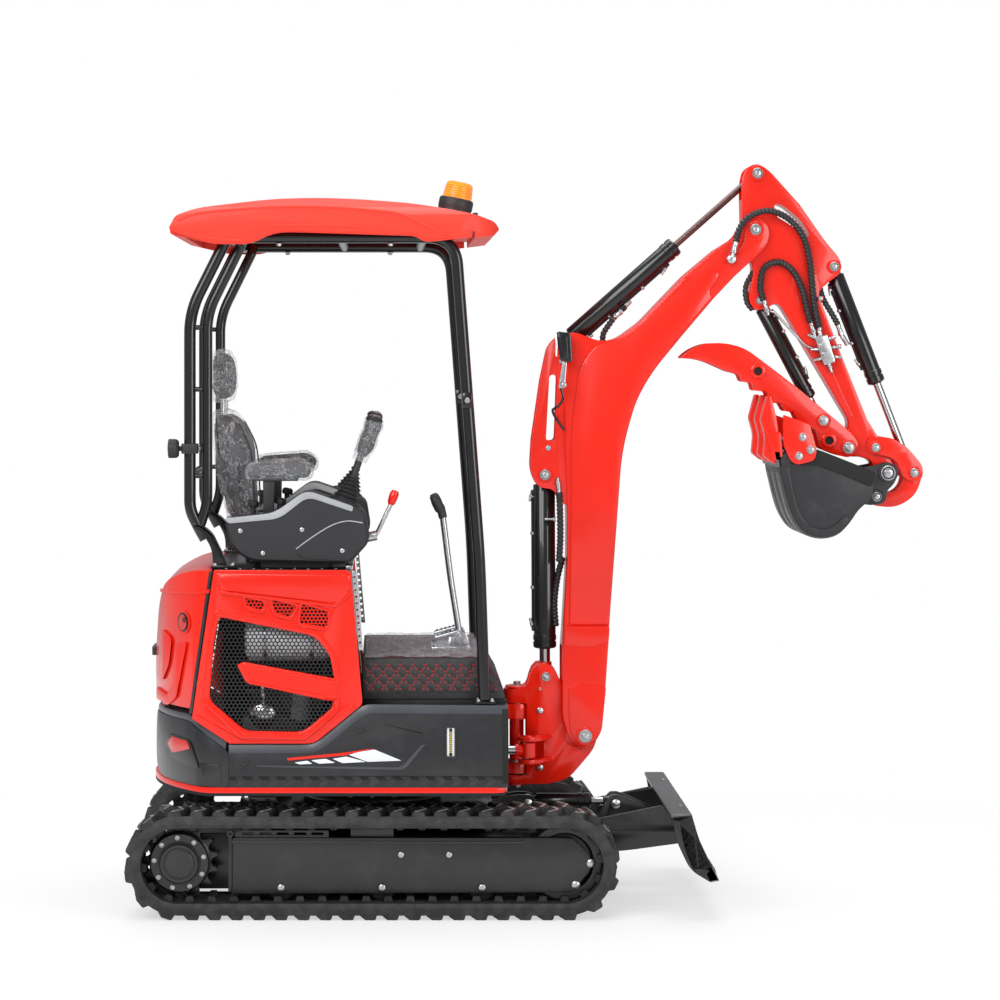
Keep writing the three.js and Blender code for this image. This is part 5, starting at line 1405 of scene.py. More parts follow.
    def light(self):
        """Work light on its stem, with cooling ribs and a cable."""
        s = Shape()
        y = -CHEEK - 80
        s.plate([(624, 1792, 6), (664, 1786, 8), (658, 1884, 8), (612, 1890, 12),
                 (612, 1868, 8)], y - 18, y + 18, edge=4)
        for k in range(5):
            z = 1800 + 17 * k
            s.block((658 - 1.2 * k, 668 - 1.2 * k), (y - 14, y + 14), (z - 2, z + 2), 0.8)
        s.plate([(626, 1800, 6), (650, 1796, 6), (646, 1874, 6), (620, 1876, 6)],
                y - 21, y - 17, edge=1.5)
        s.plate([(632, 1790, 4), (646, 1790, 4), (640, 1700, 8), (618, 1700, 8)],
                y - 4, y + 12, edge=2, finish=2)
        s.block((608, 614), (y - 15, y + 15), (1806, 1880), 2, 1)
        s.rod((628, y + 10, 1846), (628, -CHEEK - 14, 1846), 9, 0)
        s.bolt((634, y - 19, 1712), (0, -1, 0), 8, 2)
        path = flowing([(626, y + 2, 1704), (634, y, 1668), (618, y + 10, 1640),
                        (600, y + 20, 1628), (612, y + 34, 1600), (640, y + 44, 1560)], 10)
        s.tube(path, 4.5, 0, 10)
        s.piece("boom_work_light", "boom", ["black", "lens", "zinc"], ["work_light"], "black_paint")


# ---------------------------------------------------------------- arm, bucket and thumb
ARM_LINE = [
    (1237, 2380, 20), (1247, 2434, 30), (1287, 2456, 30), (1328, 2432, 30), (1431, 2317),
    (1515, 2196, 20), (1570, 2130, 20), (1572, 2086, 20), (1530, 2056, 20), (1492, 2022, 30),
    (1565, 1828), (1659, 1593), (1712, 1510, 20), (1756, 1424, 30), (1736, 1384, 30),
    (1700, 1386, 30), (1672, 1459, 20), (1632, 1470, 10), (1593, 1470, 30), (1562, 1501, 30),
    (1586, 1530, 20), (1600, 1586, 20), (1398, 1928, 20), (1360, 1990, 30), (1310, 1962, 20),
    (1282, 1962, 20), (1262, 1990, 20), (1268, 2045, 20), (1280, 2102, 30), (1250, 2180, 60),
    (1240, 2230, 60),
]
ARM_HALF = 45
GAP = 32  # half the room for a cylinder's eye in the arm
LINK_LOW, LINK_HIGH = ARM_HALF + 3, ARM_HALF + 15  # faces of the guide link's plates
BUCKET_HALF = 190
EAR_IN, EAR_OUT = 64, 80  # faces of the bucket's ears


class EXCAVATOR_OT_arm(bpy.types.Operator):
    """Arm and the two links of the bucket"""

    bl_idname = "excavator.arm"
    bl_label = "Arm and links"

    def execute(self, context):
        edge = settings().size.edge / MM
        self.arm(edge)
        self.guide(edge)
        self.link(edge)
        return {"FINISHED"}

    def arm(self, edge):
        s = Shape()
        s.plate(ARM_LINE, -ARM_HALF, ARM_HALF, edge=edge + 1, steps=10)
        room = Shape()  # forks for the cylinders' eyes, the window of the arm and the pin bores
        room.rod(at_pin("arm_rod", -GAP), at_pin("arm_rod", GAP), 66, 0, 48, 0)
        room.plate([(1200, 2300), (1262, 2352, 20), (1330, 2362), (1330, 2500), (1200, 2500)],
                   -GAP, GAP, edge=0)
        room.rod(at_pin("bucket_barrel", -GAP), at_pin("bucket_barrel", GAP), 44, 0, 40, 0)
        room.plate([(1504, 2120), (1504, 2085), (1530, 2020), (1620, 2020), (1620, 2160),
                    (1547, 2160)], -GAP, GAP, edge=0)
        room.rod(at_pin("thumb_barrel", -GAP), at_pin("thumb_barrel", GAP), 44, 0, 40, 0)
        room.rod((1298, 0, 1993), (1400, 0, 1799), 31, 0, 32, 0)
        room.plate([(1346, 2319, 12), (1376, 2313, 16), (1438, 2262, 30), (1466, 2212, 12),
                    (1450, 2203, 12), (1404, 2246, 30), (1351, 2277, 14)], -200, 200, edge=0)
        for pin, radius in (("arm", 22.4), ("bucket", 18.4), ("guide", 16.4), ("thumb", 18.4)):
            room.rod(at_pin(pin, -200), at_pin(pin, 200), radius, 0, 36, 0)
        s.carve(room)
        for y in (-1, 1):
            low, high = sorted((y * (ARM_HALF - 1), y * (ARM_HALF + 2)))
            s.plate([(1392, 2010, 40), (1420, 2100, 20), (1428, 2010, 20), (1478, 1900),
                     (1612, 1600, 20), (1590, 1610, 20), (1410, 1930, 30)],
                    low, high, edge=1.8, steps=10)
        for pin, size in (("bucket_barrel", 16), ("thumb_barrel", 14)):
            s.rod(at_pin(pin, -ARM_HALF - 10), at_pin(pin, ARM_HALF + 10), 11.4, 1)
            pin_ends(s, pin, ARM_HALF + 2, size, 24)
        for y in (-1, 1):
            s.rod(at_pin("arm_rod", y * (GAP + 1)), at_pin("arm_rod", y * (ARM_HALF + 10)), 14, 1)
        pin_ends(s, "arm_rod", ARM_HALF + 2, 18, 27)
        for x, z in ((1450, 2190), (1500, 2000), (1560, 1840)):
            s.block((x - 10, x + 10), (-ARM_HALF - 12, -ARM_HALF + 1), (z - 8, z + 8), 1.5)
            s.bolt((x, -ARM_HALF - 12, z), (0, -1, 0), 6)
        s.piece("arm_weldment", "arm", ["red", "zinc"], ["arm"], "red_paint")

    def guide(self, edge):
        gx, gz = PINS["guide"]
        rx, rz = PINS["knee"]
        outline = [(gx - 30, gz - 18, 24), (gx - 26, gz + 34, 26), (gx + 50, gz + 36, 40),
                   (gx + 104, gz + 4, 40), (rx + 32, rz + 20, 24), (rx + 26, rz - 30, 26),
                   (rx - 30, rz - 26, 24), (gx + 66, gz - 40, 40), (gx + 22, gz - 26, 20)]
        s = Shape()
        for y in (-1, 1):
            s.plate(outline, *sorted((y * LINK_LOW, y * LINK_HIGH)), edge=edge, steps=12)
            s.rod(at_pin("knee", y * 31), at_pin("knee", y * (LINK_HIGH + 6)), 12.2, 1)
        s.rod(at_pin("guide", -LINK_HIGH - 6), at_pin("guide", LINK_HIGH + 6), 14.2, 1)
        pin_ends(s, "guide", LINK_HIGH, 15, 22)
        pin_ends(s, "knee", LINK_HIGH, 15, 22)
        s.piece("guide_link_plates", "guide_link", ["red", "zinc"], ["guide_link"], "red_paint")

    def link(self, edge):
        bx, bz = PINS["bucket_link"]
        rx, rz = PINS["knee"]
        outline = [(rx - 27, rz + 14, 24), (rx + 4, rz + 30, 24), (rx + 32, rz - 6, 24),
                   (rx + 8, rz - 78, 40), (bx + 70, bz - 40, 50), (bx - 8, bz - 32, 30),
                   (bx - 30, bz + 4, 24), (bx - 2, bz + 30, 24), (bx + 54, bz + 6, 30),
                   (rx - 38, rz - 46, 30)]
        s = Shape()
        for y in (-1, 1):
            s.plate(outline, *sorted((y * 31, y * (LINK_LOW - 3))), edge=edge, steps=12)
        s.rod((bx + 66, -33, bz - 8), (bx + 66, 33, bz - 8), 12, 0)
        for y in (-1, 1):
            start = at_pin("bucket_link", y * (LINK_LOW - 4))
            s.disc(start, (0, y, 0), 24, 5, 0, 1.5)
        s.piece("bucket_link_plates", "bucket_link", ["red", "zinc"], ["bucket_link"], "red_paint")


class EXCAVATOR_OT_bucket(bpy.types.Operator):
    """Bucket with its teeth and side cutters, and the thumb"""

    bl_idname = "excavator.bucket"
    bl_label = "Bucket and thumb"

    def execute(self, context):
        edge = settings().size.edge / MM
        self.bucket(edge)
        self.thumb(edge)
        return {"FINISHED"}

    def bucket(self, edge):
        ax, az = PINS["bucket"]
        bx, bz = PINS["bucket_link"]
        outer = [(1340, 1470), (1348, 1416), (1362, 1356, 40), (1384, 1280, 60), (1420, 1224, 60),
                 (1480, 1204, 60), (1540, 1216, 60), (1582, 1262, 60), (1606, 1300, 30),
                 (1650, 1336, 20), (1662, 1424, 10), (1470, 1500, 20), (1376, 1494, 20)]
        inner = [(1352, 1560), (1352, 1470), (1360, 1418), (1374, 1359, 40), (1394, 1286, 60),
                 (1428, 1236, 60), (1480, 1216, 60), (1536, 1228, 60), (1574, 1272, 60),
                 (1590, 1306, 30), (1618, 1400), (1618, 1560)]
        s = Shape()
        s.plate(outer, -BUCKET_HALF, BUCKET_HALF, edge=2, steps=14)
        room = Shape()
        room.plate(inner, 14 - BUCKET_HALF, BUCKET_HALF - 14, edge=0, steps=14)
        room.block((1626, 1720), (-EAR_IN, EAR_IN), (1250, 1500), 0)
        s.carve(room)
        for y in (-1, 1):
            low, high = sorted((y * (BUCKET_HALF - 1), y * (BUCKET_HALF + 4)))
            s.plate([(1348, 1446, 8), (1353, 1416), (1367, 1358, 40), (1388, 1284, 60),
                     (1422, 1229, 60), (1480, 1209, 60), (1537, 1221, 60), (1577, 1266, 60),
                     (1560, 1282, 20), (1526, 1244, 60), (1480, 1232, 60), (1436, 1250, 60),
                     (1408, 1296, 60), (1388, 1366, 40), (1376, 1440, 8)],
                    low, high - 2, edge=1, steps=10)
            band = [(1378, 1494), (1470, 1499), (1661, 1424), (1652, 1372, 20), (1560, 1412),
                    (1470, 1446), (1381, 1452)]
            s.plate(band, low, high, edge=1, finish=4)
        ears = [(1612, 1318), (bx - 20, bz - 30, 20), (bx + 30, bz - 22, 26), (bx + 36, bz + 20, 10),
                (ax + 22, az - 36, 20), (ax + 38, az + 10, 30), (ax + 4, az + 40, 30),
                (ax - 40, az + 26, 20), (1640, 1436), (1560, 1462), (1620, 1400)]
        for y in (-1, 1):
            s.plate(ears, *sorted((y * EAR_IN, y * EAR_OUT)), edge=edge, steps=10)
            for pin, size in (("bucket", 25), ("bucket_link", 16)):
                s.disc(at_pin(pin, y * (EAR_OUT - 1)), (0, y, 0), size + 8, 6, 0, 1.5, 40)
                washer(s, at_pin(pin, y * (EAR_OUT + 4)), (0, y, 0), size)
        for y in (-1, 1):
            s.rod(at_pin("bucket", y * (ARM_HALF + 2)), at_pin("bucket", y * 86), 16.2, 1)
        s.rod(at_pin("bucket_link", -84), at_pin("bucket_link", -60), 14, 1)
        s.rod(at_pin("bucket_link", 60), at_pin("bucket_link", 84), 14, 1)
        for y in (-130, 0, 130):
            s.plate([(1344, 1420), (1357, 1356, 40), (1379, 1278, 60), (1417, 1219, 60),
                     (1480, 1198, 60), (1543, 1210, 60), (1587, 1258, 60), (1602, 1292),
                     (1592, 1296), (1575, 1264, 60), (1538, 1221, 60), (1480, 1209, 60),
                     (1424, 1229, 60), (1389, 1284, 60), (1367, 1359, 40), (1353, 1420)],
                    y - 22, y + 22, edge=0.8, finish=2, steps=12)
        s.plate([(1328, 1492, 4), (1346, 1492), (1352, 1440), (1338, 1440)],
                -BUCKET_HALF, BUCKET_HALF, edge=1.2, finish=2)
        s.piece("bucket_shell", "bucket", ["bucket", "zinc", "worn_steel", "black", "dark"],
                ["bucket"], "black_paint")
        self.teeth()

    def teeth(self):
        """Three teeth in their holders, and the bolted side cutters."""
        s = Shape()
        for y in (-160, 0, 160):
            s.plate([(1305, 1676, 4), (1318, 1676, 4), (1338, 1600, 30), (1346, 1530), (1344, 1452),
                     (1324, 1452, 6), (1294, 1476, 8), (1300, 1540, 20), (1284, 1597, 10)],
                    y - 22, y + 22, edge=3, steps=8)
            s.plate([(1300, 1560, 10), (1352, 1556, 10), (1356, 1462, 10), (1318, 1460, 10)],
                    y - 30, y + 30, edge=4)
            for z in (1490, 1530):
                s.bolt((1356, y, z), (1, 0, 0), 7)
        cutter = [(1356, 1614, 6), (1443, 1584, 16), (1468, 1494, 20), (1459, 1462, 20),
                  (1402, 1448, 20), (1380, 1462, 10), (1356, 1515, 20)]
        for y in (-1, 1):
            s.plate(cutter, *sorted((y * (BUCKET_HALF - 1), y * (BUCKET_HALF + 12))), edge=3,
                    steps=10)
            for x, z in ((1408, 1478), (1446, 1498), (1420, 1540)):
                s.bolt((x, y * (BUCKET_HALF + 12), z), (0, y, 0), 10)
        s.piece("bucket_teeth", "bucket", ["red", "zinc"], slot="red_paint")

    def thumb(self, edge):
        outline = [
            (1029, 1801, 10), (1060, 1828, 30), (1110, 1850, 40), (1180, 1852, 40),
            (1247, 1834, 40), (1331, 1771), (1431, 1694), (1599, 1553, 20), (1632, 1510, 30),
            (1600, 1466, 24), (1560, 1474, 20), (1500, 1498, 10), (1484, 1560, 16),
            (1424, 1592, 8), (1412, 1620, 8), (1381, 1622, 8), (1366, 1650, 8), (1331, 1650, 8),
            (1320, 1688, 8), (1276, 1692, 8), (1270, 1718, 8), (1236, 1722, 8), (1228, 1746, 8),
            (1190, 1756, 10), (1100, 1796, 40)]
        low = ARM_HALF + 5
        high = low + 14
        s = Shape()
        for y in (-1, 1):
            s.plate(outline, *sorted((y * low, y * high)), edge=edge, steps=8)
            for pin, size in (("thumb", 18), ("thumb_rod", 16)):
                s.disc(at_pin(pin, y * (high - 1)), (0, y, 0), size + 8, 5, 0, 1.5, 40)
                s.bolt(at_pin(pin, y * (high + 4)), (0, y, 0), 0.8 * size)
            for x, z in ((1289, 1757), (1527, 1525)):
                s.turned([(14, 0), (23, 0), (25, 2), (25, 7), (21, 9), (14, 9), (14, 0)],
                         (x, y * (high - 2), z), (0, y, 0), 36, 0)
                # near black disc in the bottom of each boss's hole: painted shade of the bore
                s.disc((x, y * (high - 2), z), (0, y, 0), 14.5, 3, 2)
        s.rod((1289, -low - 2, 1757), (1289, low + 2, 1757), 15, 0)
        s.rod(at_pin("thumb", -high - 2), at_pin("thumb", high + 2), 16.2, 1)
        for y in (-1, 1):
            s.rod(at_pin("thumb_rod", y * 26), at_pin("thumb_rod", y * high), 11, 1)
        s.plate([(1040, 1806, 8), (1065, 1824, 20), (1110, 1842, 40), (1180, 1844, 40),
                 (1228, 1830, 20), (1224, 1800, 20), (1180, 1810, 30), (1110, 1812, 40)],
                -low - 1, low + 1, edge=2)
        s.piece("thumb_plates", "thumb", ["red", "zinc", "dark"], ["thumb"], "red_paint")


# ---------------------------------------------------------------- house
TAIL = 727  # radius of the round tail about the slewing axis
FRONT = 436
BAND_TOP = 408  # lower band of the deck, in shadow
DECK_TOP = 425
HOOD = 1122
COVER_IN = -474  # Y of the right side cover's inner face
CHEVRON_PITCH = 53.2
WINDOW = [(-490, 972, 14), (-183, 911, 30), (-135, 850, 20), (-122, 780, 14), (-125, 683, 20),
          (-221, 603, 26), (-407, 607, 26), (-522, 706, 24), (-506, 898, 30)]
VENTS = (
    [(-407, 1033, 8), (-346, 1020, 8), (-352, 994, 10), (-400, 1007, 10)],
    [(-320, 1026, 8), (-243, 1007, 8), (-263, 972, 10), (-311, 988, 10)],
    [(-224, 1013, 8), (-141, 988, 8), (-144, 940, 10), (-231, 952, 10)],
)
HOOD_SIDE = [(-720, 700, 60), (-726, 784, 60), (-706, 986, 60), (-683, 1068, 34),
             (-590, HOOD - 3, 60)]


def house_plan(inset=0.0, front=FRONT, steps=56):
    """Floor outline of the house: straight sides and a round tail about the slewing axis."""
    half, tail = SIDE - inset, TAIL - inset
    edge = math.asin(half / tail) - 0.05
    corners = [(front, -half, 40), (front, half, 40)]
    corners.append((-tail * math.cos(edge) + 46, half, 44))
    for k in range(steps + 1):
        t = edge - 2 * edge * k / steps
        corners.append((-tail * math.cos(t), tail * math.sin(t)))
    corners.append((-tail * math.cos(edge) + 46, -half, 44))
    return corners


def half_width(x, inset=0.0):
    """Half width of the house at one x, from its floor outline."""
    edge = rounded(house_plan(inset, FRONT + 200))
    best = 1.0
    for a, b in zip(edge, edge[-1:] + edge[:-1]):
        if min(a.x, b.x) <= x <= max(a.x, b.x) and abs(a.x - b.x) > 1e-6:
            best = max(best, abs(a.y + (b.y - a.y) * (x - a.x) / (b.x - a.x)))
    return best


def wrapped(shape, corners, proud, deep=3.0, finish=0, sides=(-1, 1), edge=0.0):
    """Plate on the house's outside, drawn from the side and wrapped round the tail."""
    lean = TAIL - 0.5
    sheet = Shape()
    sheet.plate([(max(-lean, c[0]), *c[1:]) for c in corners], 0, 1, edge=0)
    low = min(v.co.x for v in sheet.bm.verts)
    high = max(v.co.x for v in sheet.bm.verts)
    cuts = int((high - low) / (12 if low > -600 else 5))
    for k in range(1, cuts):
        x = low + (high - low) * k / cuts
        bmesh.ops.bisect_plane(sheet.bm, geom=sheet.bm.verts[:] + sheet.bm.edges[:]
                               + sheet.bm.faces[:], plane_co=(x, 0, 0), plane_no=(1, 0, 0))
    known = {}
    for side in sides:
        part = sheet.bm.copy()
        for v in part.verts:
            key = (round(v.co.x, 2), -proud if v.co.y > 0.5 else deep)
            if key not in known:
                known[key] = half_width(*key)
            v.co.y = side * known[key]
        if side < 0:
            bmesh.ops.reverse_faces(part, faces=part.faces)
        shape.add(part, finish, None, edge)
    return shape


def honeycomb(shape, outline, y, cell, thick=1.6):
    """Sheet with hexagon holes inside an outline, given as (x, z) corners."""
    edge = rounded(outline)
    part = bmesh.new()
    row = cell * math.sqrt(3) / 2
    low_x, high_x = min(p.x for p in edge), max(p.x for p in edge)
    low_z, high_z = min(p.y for p in edge), max(p.y for p in edge)
    for j in range(int((high_z - low_z) / row) + 2):
        for i in range(int((high_x - low_x) / cell) + 2):
            x = low_x + (i + 0.5 * (j % 2)) * cell
            z = low_z + j * row
            if not inside(edge, x, z):
                continue
            rings = []
            for reach in (cell / math.sqrt(3), 0.42 * cell):
                rings.append([part.verts.new((
                    x + reach * math.sin(math.radians(60 * k)),
                    z + reach * math.cos(math.radians(60 * k)), 0)) for k in range(6)])
            outer, inner = rings
            for k in range(6):
                part.faces.new((outer[k - 1], outer[k], inner[k], inner[k - 1]))
    bmesh.ops.remove_doubles(part, verts=part.verts, dist=0.05)
    bmesh.ops.translate(part, vec=(0, 0, thick), verts=extruded(part))
    return shape.add(part, 0, TURN["y"] @ Matrix.Translation((0, 0, y)), smooth=False)


def inside(outline, x, z):
    """Whether a point lies within a closed outline."""
    odd = False
    for a, b in zip(outline, outline[-1:] + outline[:-1]):
        if (a.y > z) != (b.y > z) and x < (b.x - a.x) * (z - a.y) / (b.y - a.y) + a.x:
            odd = not odd
    return odd


def shrunk(corners, reach):
    """Outline moved inwards by a distance, corner by corner."""
    points = [Vector(c[:2]) for c in corners]
    area = sum(a.cross(b) for a, b in zip(points, points[1:] + points[:1]))
    sign = 1 if area > 0 else -1
    result = []
    for i, (here, corner) in enumerate(zip(points, corners)):
        a = (here - points[i - 1]).normalized()
        b = (points[(i + 1) % len(points)] - here).normalized()
        middle = Vector((-(a + b).y, (a + b).x)).normalized()
        scale = max(0.5, middle.dot(Vector((-a.y, a.x))))
        moved = here + middle * (sign * reach / scale)
        result.append((moved.x, moved.y, *corner[2:]))
    return result


def strip(line, wide):
    """Outline of a band along an open line of (x, z) corners."""
    points = [Vector(p) for p in line]
    left, right = [], []
    for k, p in enumerate(points):
        a = (p - points[max(k - 1, 0)]) or (points[1] - p)
        b = (points[min(k + 1, len(points) - 1)] - p) or (p - points[-2])
        way = (a.normalized() + b.normalized()).normalized()
        out = Vector((-way.y, way.x)) * (wide / max(0.6, way.dot(b.normalized())))
        left.append((*(p + out), 3))
        right.append((*(p - out), 3))
    return left + right[::-1]


def oval(x, z, wide, tall, steps=24):
    """Outline of an ellipse."""
    return [(x + wide * math.cos(math.tau * k / steps), z + tall * math.sin(math.tau * k / steps))
            for k in range(steps)]


class EXCAVATOR_OT_deck(bpy.types.Operator):
    """Slewing deck with the swing lugs, and the counterweight"""

    bl_idname = "excavator.deck"
    bl_label = "Deck and counterweight"

    def execute(self, context):
        self.deck()
        self.counterweight()
        return {"FINISHED"}

    def deck(self):
        s = Shape()
        s.copy_node("deck", edge=2.5)
        bmesh.ops.bisect_plane(s.bm, geom=s.bm.verts[:] + s.bm.edges[:] + s.bm.faces[:],
                               plane_co=(0, 0, BAND_TOP), plane_no=(0, 0, 1))
        # faces below the band line take the near black finish: painted shade of the deck's lower band
        for face in s.bm.faces:
            if face.calc_center_median().z < BAND_TOP - 0.1:
                face.material_index = 2
        for z in (444, 641):
            s.turned([(0, 0), (36, 0), (36, 4), (30, 8), (0, 8)], (SWING_X, 0, z), (0, 0, 1), 40, 1)
        s.bolt((SWING_X, 0, 649), (0, 0, 1), 15)
        for x, y in ((380, -70), (380, 70), (300, 0)):
            s.bolt((x, y, DECK_TOP), (0, 0, 1), 10)
        s.piece("slewing_deck", "house", ["red", "zinc", "dark"], ["deck"], "red_paint")

    def counterweight(self):
        s = Shape()
        side = [(-460, 426), (-692, 426, 20), (-717, 450, 20), (-724, 514, 20), (-719, 595, 30),
                (-714, 630), (-594, 630, 20), (-470, 548), (-460, 532)]
        cut_by_plan(s, side, 1.5, 3)
        ledge = [(-470, 547), (-594, 629, 20), (-714, 629), (-710, 652, 6), (-587, 652, 20),
                 (-466, 573)]
        low = Shape()
        cut_by_plan(low, ledge, 6, 2)
        # the ledge takes the lighter blue-grey finish: painted highlight along the top edge
        for face in low.bm.faces:
            face.material_index = 3
        s.take(low.bm)
        wrapped(s, [(-682, 540, 12), (-664, 578, 14), (-588, 571, 14), (-553, 480, 16),
                    (-640, 497, 16)], 2.6, edge=1.2)
        wrapped(s, [(-670, 543, 5), (-653, 570, 5), (-597, 566, 5), (-586, 543, 5),
                    (-650, 517, 6)], 5.5, finish=2, edge=1)
        wrapped(s, [(-556, 500, 8), (-482, 500, 8), (-482, 440, 8), (-541, 440, 8)], 2.2,
                edge=1)
        s.piece("counterweight_casting", "house", ["satin", "dark", "red_lens", "ledge_highlight"],
                ["counterweight"], "black_plastic", sharp=30)


def cut_by_plan(shape, side, inset, edge, wall=0.0):
    """Solid with a side outline whose floor outline is the house's; hollow with a wall."""
    body = Shape()
    body.plate(side, -SIDE, SIDE, edge=0)
    plan = Shape()
    plan.plate(house_plan(inset), 300, 1300, axis="z", edge=0)
    body.carve(plan, "INTERSECT")
    if wall:
        room = Shape()
        room.plate(shrunk(side, wall), -SIDE, SIDE, edge=0)
        within = Shape()
        within.plate(house_plan(inset + wall), 300, 1300, axis="z", edge=0)
        room.carve(within, "INTERSECT")
        body.carve(room)
    body.soften(edge)
    return shape.take(body.bm)


class EXCAVATOR_OT_panels(bpy.types.Operator):
    """Side skirts, side covers with their mesh windows, and the rear door"""

    bl_idname = "excavator.panels"
    bl_label = "House panels"

    def execute(self, context):
        both_sides(self.skirt)
        both_sides(self.cover)
        both_sides(self.grille)
        self.door()
        return {"FINISHED"}

    def skirt(self, side, flip):
        s = Shape()
        low = DECK_TOP + 0.5
        top = [(FRONT, 687), (-30, 691, 30), (-186, 562, 40), (-459, 562)]
        drop = [(FRONT, 661), (-20, 664, 30), (-176, 536, 40), (-459, 536)]
        foot = [(-459, low), (FRONT, low)]
        s.loft([([*foot, *top], COVER_IN), ([*foot, *top], -480), ([*foot, *drop], -SIDE)])
        # the chamfer that faces up and out takes the lighter blue-grey finish: painted highlight along the top edge
        for face in s.bm.faces:
            face.normal_update()
            if face.normal.z > 0.2 and face.normal.y < -0.2:
                face.material_index = 6
        s.plate([(-488, low), (-1, low), (-1, 687), (-470, 687), (-488, 670)], FRONT - 12, FRONT,
                axis="x", edge=2, holes=[[(-230, low + 4), (-2, low + 4), (-2, 660),
                                          (-230, 660)]])
        s.block((-20, FRONT - 2), (COVER_IN - 2, -400), (676, 686.5), 1)
        # folded lines of the panel, in the lighter blue-grey finish: painted highlight along the folds
        s.plate([(-370, 497, 2), (94, 491, 20), (156, 560, 6), (172, 566, 4), (104, 482, 20),
                 (-370, 492, 2)], -SIDE - 3, -SIDE + 1, edge=1.4, finish=6, steps=5)
        s.plate([(36, 630), (158, 590, 12), (168, 596, 8), (160, 602, 8)], -SIDE - 2.2,
                -SIDE + 1, edge=1, finish=7)
        for x, z in ((-39, 613), (-410, 508)):
            s.turned([(0, 0), (15, 0), (15, 1.5), (12.5, 3.6), (6, 4), (0, 4)], (x, -SIDE, z),
                     (0, -1, 0), 28, 5)
            s.block((x - 7, x + 7), (-SIDE - 4.6, -SIDE - 3), (z - 1.4, z + 1.4), 0.4, 3)
        # stripes
        for band in ([(-81, 533), (7, 548), (95, 512), (-14, 508)],
                     [(-127, 518), (-81, 525), (-18, 508), (-94, 504)],
                     [(-196, 513), (-148, 518), (-117, 505), (-169, 502)],
                     [(-249, 506), (-207, 512), (-190, 502), (-232, 500)]):
            s.plate([(x, z, 5) for x, z in band], -SIDE - 1.2, -SIDE + 1, edge=0.3, finish=1)
        s.plate([(-270, 512), (-81, 529), (7, 552), (-84, 538), (-272, 520)], -SIDE - 1.2,
                -SIDE + 1, edge=0.3, finish=2)
        # dark band along the foot with its row of chevrons
        s.plate([(-456, 429), (424, 429), (424, 463), (-456, 463)], -SIDE - 0.8, -SIDE + 1,
                edge=0.4, finish=7)
        for k in range(16):
            x = -440 + CHEVRON_PITCH * k
            s.plate([(x, 431), (x + 24, 431), (x + 38, 446), (x + 24, 461), (x, 461),
                     (x + 14, 446)], -SIDE - 2.2, -SIDE + 1, edge=0.6, finish=0)
        # sight gauge
        s.plate([(234, 518, 8), (270, 518, 8), (270, 625, 8), (234, 625, 8)], -SIDE - 5,
                -SIDE + 1, edge=1.2, finish=0,
                holes=[[(240, 526, 4), (264, 526, 4), (264, 617, 4), (240, 617, 4)]])
        s.plate([(240, 526, 4), (264, 526, 4), (264, 617, 4), (240, 617, 4)], -SIDE - 2,
                -SIDE + 1, edge=0.3, finish=1)
        s.plate([(247, 532, 3), (257, 532, 3), (257, 611, 3), (247, 611, 3)], -SIDE - 3.4,
                -SIDE, edge=0.4, finish=4)
        for z in (532, 611):
            s.disc((252, -SIDE - 4, z), (0, -1, 0), 5, 2.4, 3, 0.6, 18)
        s.block((418, FRONT + 1), (-SIDE - 2, -SIDE + 10), (438, 676), 1, 3)
        s.piece(f"side_skirt_{side}", "house",
                ["satin", "stripe", "red", "dark", "gauge", "plastic", "ledge_highlight", "black"],
                [f"skirt_{side}"],
                "black_plastic", flip=flip)

    def cover(self, side, flip):
        s = Shape()
        bottom = 566
        body = [(-507, HOOD, 8), (-68, HOOD, 18), (-31, 702, 10), (-33, 690, 14),
                (-186, bottom, 26), (-456, bottom), (-576, 645), (-576, 653)]
        s.plate(body, -SIDE + 1, COVER_IN, edge=4, holes=[WINDOW, *VENTS])
        # facet over the vents and rim of the window
        wedge = [(-500, 1113, 8), (-72, 1108, 10), (-69, 1062, 20), (-112, 1012, 30),
                 (-480, 1056, 20)]
        s.loft([(wedge, -SIDE + 4), (wedge, -SIDE - 0.5), (shrunk(wedge, 5), -SIDE - 4)], steps=8)
        rim = shrunk(WINDOW, -20)
        s.plate(rim, -SIDE - 3, -SIDE + 3, edge=2.4, holes=[shrunk(WINDOW, -3)])
        s.plate([(-560, 660, 6), (-412, 574, 20), (-215, 574, 20), (-106, 668, 20), (-60, 690, 6),
                 (-50, 680, 6), (-102, 656, 16), (-209, 569.5, 10), (-416, 569.5, 10),
                 (-564, 652, 6)], -SIDE - 2.6, -SIDE + 3, edge=1.2)
        bar = [(-432, 818, 4), (-414, 828, 10), (-106, 772), (-106, 704), (-142, 704, 14),
               (-402, 760, 12)]
        s.loft([(bar, COVER_IN), (bar, -SIDE - 2), (shrunk(bar, 9), -SIDE - 10)], steps=8)
        for line in ([(-414, 818), (-118, 764)], [(-392, 764), (-150, 715)]):
            s.plate(strip(line, 4), -SIDE - 13, -SIDE - 6, edge=2.4, steps=4)
